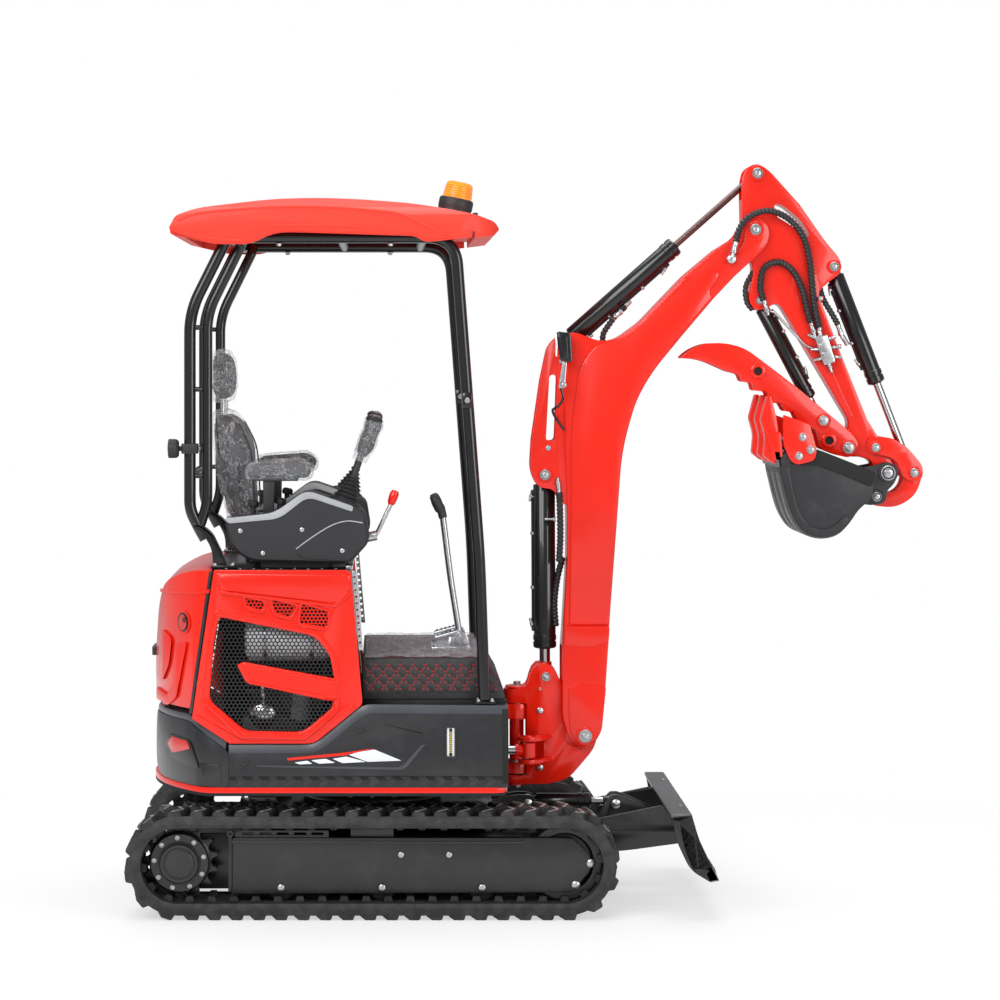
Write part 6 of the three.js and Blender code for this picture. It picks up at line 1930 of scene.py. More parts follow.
        # perforated strip along the front edge
        edge = [(-64, 1119), (-50, 1119), (-28, 866), (-42, 866)]
        spots = [oval(-57 + 22 * k / 12, 1100 - 21 * k, 4.4, 4.4, 14) for k in range(11)]
        s.plate(edge, -SIDE - 1, -SIDE + 2, edge=0.4, finish=2, holes=spots)
        for vent in VENTS:
            s.plate(shrunk(vent, -9), -SIDE - 3.4, -SIDE + 4, edge=2, holes=[shrunk(vent, -1)])
            low = [vent[3], vent[2], (vent[2][0] + 6, vent[2][1] - 12, 4),
                   (vent[3][0] + 2, vent[3][1] - 12, 4)]
            s.plate(low, -SIDE - 6, -SIDE + 3, edge=2)
            honeycomb(s, shrunk(vent, -6), -SIDE + 4, 12.5)
        seam = [(-521, HOOD - 3), (-510, HOOD - 3), (-578, 653), (-589, 653)]
        wrapped(s, seam, -2.0, deep=8, finish=1, sides=(-1,))
        for line, wide in (([(-546, 708), (-420, 590), (-215, 586), (-112, 680)], 7),
                           ([(-486, 1050), (-118, 1008), (-74, 1050)], 5)):
            s.plate(strip(line, wide), -SIDE - 6, -SIDE + 3, edge=2.6, steps=5)
        s.piece(f"side_panel_{side}", "house", ["red", "dark", "zinc"], [f"side_cover_{side}"],
                "red_paint", flip=flip)

    def grille(self, side, flip):
        s = Shape()
        cell = settings().size.mesh_cell / MM
        honeycomb(s, shrunk(WINDOW, -12), COVER_IN + 1.5, cell)
        s.plate(shrunk(WINDOW, -14), COVER_IN + 1.2, COVER_IN + 5, edge=0.6,
                holes=[shrunk(WINDOW, -4)])
        # near black sheet behind the vents and the top of the window: painted shade of the house's inside
        s.plate([(-478, 1066, 10), (-100, 1020, 10), (-110, 925, 10), (-440, 985, 10)],
                COVER_IN + 6, COVER_IN + 9, edge=0.5, finish=1)
        s.piece(f"engine_mesh_{side}", "house", ["black", "dark"], [f"side_grille_{side}"],
                "black_plastic", flip=flip)

    def door(self):
        s = Shape()
        slope = (-514 + 583) / (HOOD - 653)
        side = [(-400, 657), (-713, 657), *HOOD_SIDE, (-400, HOOD)]
        body = Shape()
        cut_by_plan(body, side, 0, 0, wall=14)
        beyond = Shape()
        beyond.plate([(-583 + slope * -200, 453), (-200, 453), (-200, 1300),
                      (-583 + slope * 647, 1300)], -600, 600, edge=0)
        body.carve(beyond)
        floor = Shape()
        floor.block((-800, -300), (-470, 470), (600, 672), 0)
        body.carve(floor)
        body.soften(3)
        s.take(body.bm)
        # shoulder line, lamp bed and slanted flutes
        wrapped(s, [(-520, 1060), (-560, 1052, 20), (-700, 1040), (-700, 1030), (-556, 1042, 20),
                    (-522, 1048)], 3)
        wrapped(s, oval(-612, 948, 25, 38), 4)
        wrapped(s, oval(-612, 948, 19, 31), 5.5, finish=3)
        wrapped(s, oval(-613, 947, 14, 25), 8, finish=1)
        wrapped(s, oval(-608, 956, 5, 9), 9.5, finish=3)
        for flute in ([(-690, 912, 10), (-652, 890, 20), (-664, 800, 20), (-690, 742, 10),
                       (-708, 742, 10), (-700, 830, 20)],
                      [(-640, 872, 12), (-598, 886, 12), (-636, 700, 12), (-668, 668, 6),
                       (-690, 668, 6), (-650, 740, 20)],
                      [(-716, 712, 8), (-668, 700, 10), (-660, 676, 8), (-716, 672, 8)]):
            wrapped(s, flute, 7, edge=2.4)
        slope_at = [(-518, HOOD - 4), (-509, HOOD - 4), (-577, 655), (-586, 655)]
        wrapped(s, [(x - 4, z) for x, z in slope_at], 1.4, finish=3)
        s.block((-738, -722), (-60, 60), (806, 836), 3, 3)
        s.piece("rear_hood", "rear_door", ["red", "red_lens", "lens", "satin"], ["rear_door"],
                "red_paint", sharp=26)


class EXCAVATOR_OT_inside(bpy.types.Operator):
    """Engine, seat deck, floor box and the quilted floor mat"""

    bl_idname = "excavator.inside"
    bl_label = "Engine and floor"

    def execute(self, context):
        self.engine()
        self.seat_deck()
        self.floor_box()
        self.mat(settings().size.quilt / MM)
        return {"FINISHED"}

    def engine(self):
        s = Shape()
        s.block((-430, -180), (-210, 210), (DECK_TOP + 1, 620), 8)
        s.block((-400, -190), (-150, 170), (618, 860), 12)
        s.block((-384, -200), (-120, 140), (858, 900), 6, 4)
        # near black sheets across the engine bay: painted shade of the bay's inside
        s.block((-500, -90), (-4, 4), (470, 1100), 0, 6)
        for y in (-1, 1):
            s.block((-506, -96), (y * 180 - 3, y * 180 + 3), (900, 1100), 0, 6)
        for y in (-1, 1):
            # canister with its bands, filter, pulley and fins, and pipes on each side
            s.turned([(0, 0), (50, 0), (66, 8), (72, 20), (72, 262), (66, 274), (50, 282),
                      (0, 282)], (-410, y * 385, 892), (1, 0, 0.02), 40, 7)
            for x in (-350, -200):
                s.turned([(72, 0), (75, 0), (75, 10), (72, 10), (72, 0)], (x, y * 385, 892),
                         (1, 0, 0.02), 40, 2)
            s.turned([(0, 0), (40, 0), (48, 8), (50, 30), (42, 62), (26, 74), (0, 78)],
                     (-352, y * 330, 650), (0, y, -0.15), 36, 3)
            s.rod((-352, y * 350, 690), (-358, y * 350, 756), 7, 3)
            s.block((-400, -300), (y * 350 - 12, y * 350 + 12), (748, 760), 3, 3)
            s.turned([(0, 0), (30, 0), (34, 5), (34, 108), (26, 116), (0, 116)],
                     (-234, y * 330, 622), (0.1, 0, 1), 30, 1)
            s.turned([(0, 0), (70, 0), (74, 6), (64, 11), (74, 16), (74, 24), (0, 24)],
                     (-230, y * 240, 700), (0, y, 0), 44, 4)
            for k in range(6):
                s.block((-420, -200), (y * 170 - 40, y * 170 + 40), (700 + 20 * k, 706 + 20 * k), 1)
            path = flowing([(-380, y * 300, 862), (-400, y * 300, 800), (-360, y * 280, 740),
                            (-284, y * 260, 720)], 18)
            s.tube(path, 14, 5, 14)
            path = flowing([(-170, y * 330, 890), (-150, y * 310, 820), (-165, y * 290, 740),
                            (-210, y * 280, 700)], 18)
            s.tube(path, 11, 5, 14)
        s.piece("engine_block", "house",
                ["engine", "grey", "zinc", "bright", "satin", "hose", "dark", "stripe"],
                ["engine"], "engine_iron")

    def seat_deck(self):
        s = Shape()
        s.copy_node("seat_deck", edge=2)
        for x in range(-470, -90, 44):
            for y in (-430, 430):
                s.disc((x, y, HOOD), (0, 0, 1), 5, 2, 1, 0.6, 16)
        s.plate([(-84, HOOD - 1), (-62, HOOD - 1), (-62, HOOD + 10), (-84, HOOD + 10)], -440, 440,
                edge=1, finish=1)
        s.piece("seat_platform", "house", ["satin", "bright"], ["seat_deck"], "black_plastic")

    def floor_box(self):
        s = Shape()
        s.copy_node("floor_box", edge=2)
        s.piece("floor_tray", "house", ["satin"], ["floor_box"], "black_plastic")

    def mat(self, diamond):
        s = Shape()
        s.copy_node("floor_mat", edge=3)
        low, high = 718, 826
        lean = (430 - 360) / (830 - 716)
        for y in (-1, 1):
            self.quilt(s, (-26, y * 411.2, low), (420, y * 411.2, low),
                       (420 - lean * (high - low), y * 411.2, high), (-26, y * 411.2, high),
                       (0, y, 0), diamond)
        self.quilt(s, (-26, -404, 830.2), (352, -404, 830.2), (352, 404, 830.2),
                   (-26, 404, 830.2), (0, 0, 1), diamond)
        self.quilt(s, (430 - lean * 4, -404, 722), (430 - lean * 4, 404, 722),
                   (366, 404, 824), (366, -404, 824), (0.85, 0, 0.52), diamond)
        s.piece("quilted_mat", "house", ["quilt", "thread"], ["floor_mat"], "black_vinyl",
                sharp=60)
        # packing film left on the top
        film = Shape()
        film.block((-22, 352), (-402, 402), (836, 838), 0)
        bm = film.bm
        for _ in range(6):
            long = [e for e in bm.edges if e.calc_length() > 22]
            bmesh.ops.subdivide_edges(bm, edges=long, cuts=1, use_grid_fill=True)
        for v in bm.verts:
            v.co.z += 5 * noise.noise(v.co * 0.02) + 3 * noise.noise(v.co * 0.07)
        film.piece("mat_film", "house", ["film"], (), "black_vinyl", sharp=60)

    def quilt(self, s, a, b, c, d, way, diamond):
        """Stitched sheet between four corners, puffed between its seams."""
        a, b, c, d, way = (Vector(v) for v in (a, b, c, d, way))
        wide, tall = (b - a).length, (d - a).length
        across, up = round(wide / 5.5), round(tall / 5.5)
        part = bmesh.new()
        rows = []

        def seam(u, v):
            lines = []
            for t in ((u + v) / diamond, (u - v) / diamond):
                lines.append(abs(t - round(t)) * diamond * 0.7071)
            return min(lines)

        for j in range(up + 1):
            row = []
            for i in range(across + 1):
                p, q = i / across, j / up
                there = a.lerp(b, p).lerp(d.lerp(c, p), q)
                rim = min(p * wide, (1 - p) * wide, q * tall, (1 - q) * tall)
                puff = 4.6 * (1 - math.exp(-min(seam(p * wide, q * tall), 0.8 * rim) / 7))
                row.append(part.verts.new(there + way * (puff - 1.0)))
            rows.append(row)
        for j in range(up):
            for i in range(across):
                part.faces.new((rows[j][i], rows[j][i + 1], rows[j + 1][i + 1], rows[j + 1][i]))
        for v in extruded(part):
            v.co -= way * 6
        s.add(part, 0)
        # thread of the seams
        stitch = bmesh.new()
        for sign in (1, -1):
            first = math.floor(min(0, sign * tall) / diamond)
            last = math.ceil((wide + max(0, sign * tall)) / diamond)
            for k in range(first, last + 1):
                spots = []
                for n in range(int(tall / 11)):
                    v = 11 * n + 4
                    u = k * diamond - sign * v
                    if 6 < u < wide - 6 and 5 < v < tall - 5:
                        spots.append((u, v))
                for u, v in spots:
                    p, q = u / wide, v / tall
                    there = a.lerp(b, p).lerp(d.lerp(c, p), q) - way * 0.2
                    side = ((b - a).normalized() * -sign + (d - a).normalized()).normalized()
                    cube = bmesh.ops.create_cube(stitch, size=1)["verts"]
                    turn = side.to_track_quat("X", "Z").to_matrix().to_4x4()
                    size = Matrix.Diagonal((10.2, 2.4, 3.0, 1))
                    bmesh.ops.transform(stitch, matrix=Matrix.Translation(there) @ turn @ size,
                                        verts=cube)
        s.add(stitch, 1, smooth=False)


# ---------------------------------------------------------------- canopy
RAIL_Z = 2190
POST_Y = 440
REAR_Y = 385
TUBE_R = 19
ROOF_HALF = 500


class EXCAVATOR_OT_canopy(bpy.types.Operator):
    """Bent tube frame, moulded roof, beacon and rear lamp"""

    bl_idname = "excavator.canopy"
    bl_label = "Canopy"

    def execute(self, context):
        self.frame_tubes()
        self.roof()
        self.beacon()
        self.lamp()
        return {"FINISHED"}

    def frame_tubes(self):
        s = Shape()
        r = TUBE_R
        for y in (-1, 1):
            front, rear = y * POST_Y, y * REAR_Y
            s.tube(bent([(361, front, 702), (346, front, 1150), (268, front, RAIL_Z),
                         (-465, front, RAIL_Z)], 90, 12), r, 0, 24)
            s.tube(bent([(-440, front, RAIL_Z), (-470, rear, RAIL_Z), (-590, rear, 1950),
                         (-590, rear, 1310), (-560, rear, 1250), (-540, rear, 1215)], 70, 12),
                   r, 0, 24)
            s.tube(bent([(-430, front, RAIL_Z - 4), (-418, rear, RAIL_Z - 10),
                         (-534, rear, 1945), (-534, rear, 1330), (-556, rear, 1262)], 60, 12),
                   r - 2, 0, 24)
            # folded foot plate of the rear posts
            outer = [(-574, 1268), (-556, 1262, 10), (-520, 1240, 60), (-482, 1160, 40),
                     (-470, HOOD + 2), (-514, HOOD + 2), (-516, 1180, 40), (-540, 1225, 30),
                     (-578, 1252)]
            for a, b in ((rear - 31, rear - 24), (rear + 24, rear + 31)):
                s.plate(outer, a, b, edge=1.5)
            s.plate([(-575, 1266), (-556, 1261, 10), (-518, 1238, 60), (-480, 1160, 40),
                     (-468, HOOD + 2), (-474, HOOD + 2), (-486, 1160, 40), (-523, 1233, 60),
                     (-558, 1255, 10), (-575, 1260)], rear - 31, rear + 31, edge=1)
            s.block((-520, -440), (rear - 44, rear + 44), (HOOD + 0.5, HOOD + 10), 2)
            for x in (-508, -452):
                for side in (-34, 34):
                    s.bolt((x, rear + side, HOOD + 10), (0, 0, 1), 7)
            # links between the two rear tubes
            for z in (1420, 1700, 1900):
                s.rod((-590, rear, z), (-534, rear, z), 8, 0)
            s.block((332, 396), (front - 26, front + 26), (687.5, 698), 2)
            for x in (342, 386):
                s.bolt((x, front - 17 * y, 698), (0, 0, 1), 6)
                s.bolt((x, front + 17 * y, 698), (0, 0, 1), 6)
            s.block((290, 322), (front - 24, front + 24), (1640, 1690), 3)
            s.disc((306, front - 24, 1665), (0, -1, 0), 9, 6, 1)
            for x in (-430, -60, 150):
                s.disc((x, front, RAIL_Z + r - 2), (0, 0, 1), 15, 8, 0)
            s.bolt((-300, front - y * 2, RAIL_Z - r - 1), (0, 0, -1), 8)
            s.bolt((60, front - y * 2, RAIL_Z - r - 1), (0, 0, -1), 8)
        for x in (-465, -100, 165):
            s.rod((x, -POST_Y, RAIL_Z), (x, POST_Y, RAIL_Z), r - 3, 0)
        s.rod((-590, -REAR_Y, 1420), (-590, REAR_Y, 1420), 14, 0)
        s.piece("canopy_tubes", "house", ["black", "zinc"], ["canopy_frame"], "black_paint")

    def roof(self):
        s = Shape()
        top = [(-653, 2200, 16), (-638, 2256, 24), (-566, 2284, 80), (-326, 2318, 100),
               (-180, 2323, 160), (-40, 2317, 160), (124, 2302, 160), (221, 2285, 60),
               (331, 2263, 60), (396, 2240, 20), (412, 2216, 8), (392, 2196)]
        under = [(339, 2190), (170, 2172, 30), (138, 2192, 20), (-230, 2204, 40),
                 (-310, 2204, 40), (-390, 2166, 30), (-502, 2166, 30), (-600, 2188, 20)]
        h = ROOF_HALF
        s.plate([*top, *under], -h, h, edge=0, steps=14)
        arch = Shape()
        arch.plate([(-h, 2150), (h, 2150), (h, 2215, 20), (h - 34, 2282, 60), (h - 200, 2339, 160),
                    (200 - h, 2339, 160), (34 - h, 2282, 60), (-h, 2215, 20)], -700, 500,
                   axis="x", edge=0, steps=14)
        s.carve(arch, "INTERSECT")
        plan = Shape()
        plan.plate([(-660, 30 - h, 90), (-560, -h, 90), (280, -h, 90), (420, 70 - h, 90),
                    (420, h - 70, 90), (280, h, 90), (-560, h, 90), (-660, h - 30, 90)],
                   2100, 2400, axis="z", edge=0, steps=14)
        s.carve(plan, "INTERSECT")
        room = Shape()
        room.block((-600, 330), (22 - h, h - 22), (2100, RAIL_Z + TUBE_R + 0.3), 0)
        s.carve(room)
        dome = Shape()
        dome.plate([(-580, 2100), (-580, 2228), (-480, 2272, 60), (-40, 2306, 200),
                    (220, 2258, 60), (240, 2100)], -400, 400, edge=0, steps=10)
        s.carve(dome)
        s.soften(7, 38)
        # pressed line along each side and swages across the top
        for y in (-1, 1):
            inner, outer = sorted((y * (h - 20), y * (h + 3)))
            s.plate([(-652, 2214, 10), (-634, 2250, 20), (-560, 2268, 60), (-320, 2286, 80),
                     (-100, 2288, 80), (96, 2262, 30), (236, 2196, 10), (246, 2186, 4),
                     (172, 2181, 20), (140, 2195, 20), (-232, 2208, 30), (-308, 2208, 30),
                     (-388, 2170, 30), (-500, 2170, 30), (-600, 2192, 20)], inner, outer,
                    edge=3.5, steps=8)
            for line in ([(-622, 2240), (-560, 2264), (-420, 2278), (-288, 2285), (-137, 2284),
                          (20, 2272), (90, 2262), (160, 2230), (232, 2194)],
                         [(-606, 2200), (-454, 2178), (-392, 2184), (-333, 2222), (-180, 2224),
                          (-31, 2220), (142, 2204)]):
                path = flowing([(x, y * (h + 1), z) for x, z in line], 30)
                s.tube(path, 5, 0, 10)
            for x in (-380, -60, 200):
                s.disc((x, y * (h - 60), 2196), (0, 0, -1), 10, 4, 1, 1, 18)
        s.piece("roof_shell", "house", ["roof", "zinc"], ["canopy_roof"], "roof_paint", sharp=30)

    def beacon(self):
        s = Shape()
        at, lean = (268, 0, 2262), (0.21, 0, 1)
        s.turned([(0, 2), (58, 2), (59, 14), (57, 34), (56, 40), (58, 46), (58, 70), (55, 76),
                  (50, 78), (0, 78)], at, lean, 48, 1)
        s.block((336, 354), (-12, 12), (2262, 2290), 3, 1)
        s.block((128, 168), (-18, 18), (2296, 2312), 3, 1)
        s.tube(flowing([(160, 0, 2304), (186, 4, 2302), (214, 2, 2290)], 12), 5, 1, 12)
        profile = [(0, 76), (51, 76)]
        for k in range(5):
            z = 79 + 8 * k
            r = 50 - 0.8 * k
            profile += [(r, z), (r - 1.2, z + 2), (r - 1.2, z + 5), (r - 0.3, z + 7)]
        profile += [(45, 121), (42, 129), (32, 133), (0, 134)]
        s.turned(profile, at, lean, 48, 0)
        s.piece("beacon_lamp", "house", ["amber", "plastic"], ["beacon"], "amber_plastic")

    def lamp(self):
        s = Shape()
        y = -REAR_Y
        s.turned([(0, 0), (24, 0), (30, 6), (31, 14), (31, 32), (28, 34), (0, 34)],
                 (-626, y, 1508), (-1, 0, 0), 40, 0)
        s.turned([(0, 0), (26, 0), (24, 2), (12, 4), (0, 4.4)], (-659, y, 1508), (-1, 0, 0.0), 36,
                 1)
        s.block((-634, -604), (y - 8, y + 8), (1500, 1516), 2)
        # clamp around the rear tube
        s.plate([(-563, y - 27, 12), (-563, y + 27, 12), (-617, y + 27, 12), (-617, y - 27, 12)],
                1492, 1524, axis="z", edge=1.5, holes=[oval(-590, y, 19.4, 19.4)])
        s.bolt((-562, y, 1508), (1, 0, 0), 6, 2)
        s.piece("rear_work_lamp", "house", ["plastic", "lens", "zinc"], ["rear_lamp"],
                "black_paint")


# ---------------------------------------------------------------- seat and controls
CONSOLE = [(-478, 1284, 20), (-316, 1301, 30), (-212, 1376, 30), (-23, 1311, 24),
           (-7, 1210, 24), (-72, 1138, 24), (-397, 1145, 34), (-456, 1193, 30)]


PAD_SLACK = 0.006  # how far a pad may swell past its CAD box
CLOTH_FRAMES = 20


def cushion(name, shape, node, fill, cap=9.0, voxel=0.005, pressure=4.0):
    """Vinyl pad pressed into shape by a cloth simulation: it swells between its seams."""
    bmesh.ops.transform(shape.bm, matrix=TO_FRAME, verts=shape.bm.verts)
    o = mesh_object(name, shape.bm)
    o.data.materials.append(material("vinyl"))
    remesh = o.modifiers.new("remesh", "REMESH")
    remesh.mode = "VOXEL"
    remesh.voxel_size = voxel * (2 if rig.quick() else 1)
    applied(o)
    smooth = o.modifiers.new("smooth", "SMOOTH")
    smooth.iterations = 6 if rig.quick() else 14
    applied(o)
    start = [v.co.copy() for v in o.data.vertices]
    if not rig.quick():
        cloth = o.modifiers.new("cloth", "CLOTH")
        cloth.settings.use_pressure = True
        cloth.settings.uniform_pressure_force = pressure
        cloth.settings.tension_stiffness = 12
        cloth.settings.compression_stiffness = 12
        cloth.settings.quality = 4
        cloth.settings.effector_weights.gravity = 0
        cloth.point_cache.frame_start = 1
        cloth.point_cache.frame_end = CLOTH_FRAMES
        scene = bpy.context.scene
        for step in range(1, CLOTH_FRAMES + 1):
            scene.frame_set(step)
        applied(o)
        scene.frame_set(1)
    low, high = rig.box(node)
    for v, was in zip(o.data.vertices, start):
        move = v.co - was
        if move.length > cap * MM:
            v.co = was + move.normalized() * cap * MM
        for axis in range(3):
            v.co[axis] = min(max(v.co[axis], low[axis] - PAD_SLACK), high[axis] + PAD_SLACK)
    for face in o.data.polygons:
        face.use_smooth = True
    more = o.modifiers.new("subdivision", "SUBSURF")
    more.levels = more.render_levels = 1
    applied(o)
    if material("vinyl").name not in o.data.materials:
        o.data.materials.append(material("vinyl"))
    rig.ride(o, "house")
    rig.replaces(o, node)
    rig.slot(o, "black_vinyl")
    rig.padded(o, fill=fill)


def applied(o):
    """Makes what an object's modifiers give its own mesh."""
    done = o.evaluated_get(bpy.context.evaluated_depsgraph_get())
    mesh = bpy.data.meshes.new_from_object(done)
    old = o.data
    o.modifiers.clear()
    o.data = mesh
    bpy.data.meshes.remove(old)


class EXCAVATOR_OT_seat(bpy.types.Operator):
    """Seat base, seat pads with piping, and their packing film"""

    bl_idname = "excavator.seat"
    bl_label = "Seat"

    def execute(self, context):
        self.base()
        self.pads()
        self.film()
        return {"FINISHED"}

    def base(self):
        s = Shape()
        for y in (-140, 140):
            s.block((-420, -110), (y - 20, y + 20), (HOOD + 0.5, HOOD + 30), 3)
            for x in (-400, -265, -130):
                s.bolt((x, y + math.copysign(21, y), HOOD + 15), (0, y, 0), 7)
        s.block((-400, -130), (-170, 170), (HOOD + 29, HOOD + 70), 5)
        for k in range(4):
            z = HOOD + 33 + 9 * k
            s.block((-402, -128), (-172, 172), (z, z + 4), 1.5)
        s.plate([(-470, HOOD + 40), (-380, HOOD + 40), (-380, HOOD + 70), (-440, HOOD + 70, 20),
                 (-452, 1420, 6), (-476, 1420, 6)], -50, 50, edge=2)
        s.rod((-130, 120, HOOD + 20), (-92, 120, HOOD + 22), 6, 1)
        s.piece("seat_frame", "house", ["black", "zinc"], ["seat_base"], "black_paint")

    def pads(self):
        s = Shape()
        seat = [(-391, 1197, 10), (-114, 1197, 30), (-94, 1236, 40), (-136, 1262, 50),
                (-240, 1252, 60), (-391, 1254, 20)]
        s.plate(seat, -222, 222, edge=0, steps=8)
        for y in (-1, 1):
            s.loft([([(-388, 1206, 10), (-122, 1206, 30), (-104, 1238, 40), (-150, 1268, 40),
                      (-388, 1264, 20)], y * 150),
                    ([(-388, 1212, 10), (-130, 1212, 30), (-116, 1238, 30), (-160, 1258, 40),
                      (-388, 1254, 20)], y * 218)], steps=6)
        cushion("seat_pad", s, "seat_cushion", 0.7)
        s = Shape()
        back = [(-470, 1268, 6), (-396, 1268, 30), (-408, 1400, 60), (-412, 1525, 60),
                (-466, 1618, 30), (-522, 1618, 24), (-508, 1450, 40), (-477, 1320, 20)]
        s.plate(back, -212, 212, edge=0, steps=8)
        front = Shape()
        front.plate([(-208, 1262, 70), (208, 1262, 70), (218, 1450, 60), (176, 1622, 100),
                     (-176, 1622, 100), (-218, 1450, 60)], -560, -380, axis="x", edge=0, steps=10)
        s.carve(front, "INTERSECT")
        cushion("back_pad", s, "seat_backrest", 0.75, cap=8)
        s = Shape()
        head = [(-524, 1662, 20), (-476, 1662, 30), (-466, 1740, 40), (-484, 1820, 30),
                (-526, 1820, 30)]
        s.plate(head, -122, 122, edge=0, steps=8)
        cushion("head_pad", s, "headrest", 0.8, cap=7)
        posts = Shape()
        for y in (-70, 70):
            posts.rod((-500, y, 1612), (-500, y, 1676), 7, 0)
        posts.piece("headrest_posts", "house", ["bright"], (), "chrome_rod")
        # piping sewn along the pads' edges
        s = Shape()
        for y in (-1, 1):
            for path in ([(-516, y * 196, 1600), (-500, y * 220, 1450), (-468, y * 214, 1330),
                          (-462, y * 190, 1276)],
                         [(-440, y * 190, 1584), (-402, y * 221, 1500), (-392, y * 222, 1400),
                          (-386, y * 206, 1290)],
                         [(-388, y * 226, 1258), (-240, y * 229, 1258), (-140, y * 228, 1262),
                          (-100, y * 222, 1238)],
                         [(-520, y * 124, 1676), (-522, y * 127, 1740), (-524, y * 120, 1808)]):
                s.tube(flowing(path, 10), 2.6, 0, 10)
        s.piece("pad_piping", "house", ["vinyl"], (), "black_vinyl")

    def film(self):
        """Crumpled film over the backrest, the headrest and both armrests."""
        for name, node in (("back_film", "seat_backrest"), ("head_film", "headrest")):
            s = Shape()
            s.copy_node(node, edge=8, angle=30)
            self.wrap(name, s, 4.0)
        for side, flip in (("right", False), ("left", True)):
            s = Shape()
            s.plate([(-410, 1411, 10), (-200, 1411, 20), (-190, 1450, 30), (-230, 1474, 30),
                     (-400, 1460, 20)], -398, -312, edge=8)
            self.wrap(f"arm_film_{side}", s, 5.0, flip)

    def wrap(self, name, shape, depth, flip=False, gap=4.0):
        """Turns a solid into film that stands off it and is crumpled to a depth."""
        bm = shape.bm
        bmesh.ops.triangulate(bm, faces=bm.faces[:])
        long = [e for e in bm.edges if e.calc_length() > 24]
        for _ in range(3):
            if long:
                bmesh.ops.subdivide_edges(bm, edges=long, cuts=1)
                bmesh.ops.triangulate(bm, faces=bm.faces[:])
                long = [e for e in bm.edges if e.calc_length() > 18]
        bm.normal_update()
        for v in bm.verts:
            rough = noise.noise(v.co * 0.035) + 0.6 * noise.noise(v.co * 0.09)
            v.co += v.normal * (gap + depth * rough)
        shape.piece(name, "house", ["film"], (), "black_vinyl", sharp=50, flip=flip)


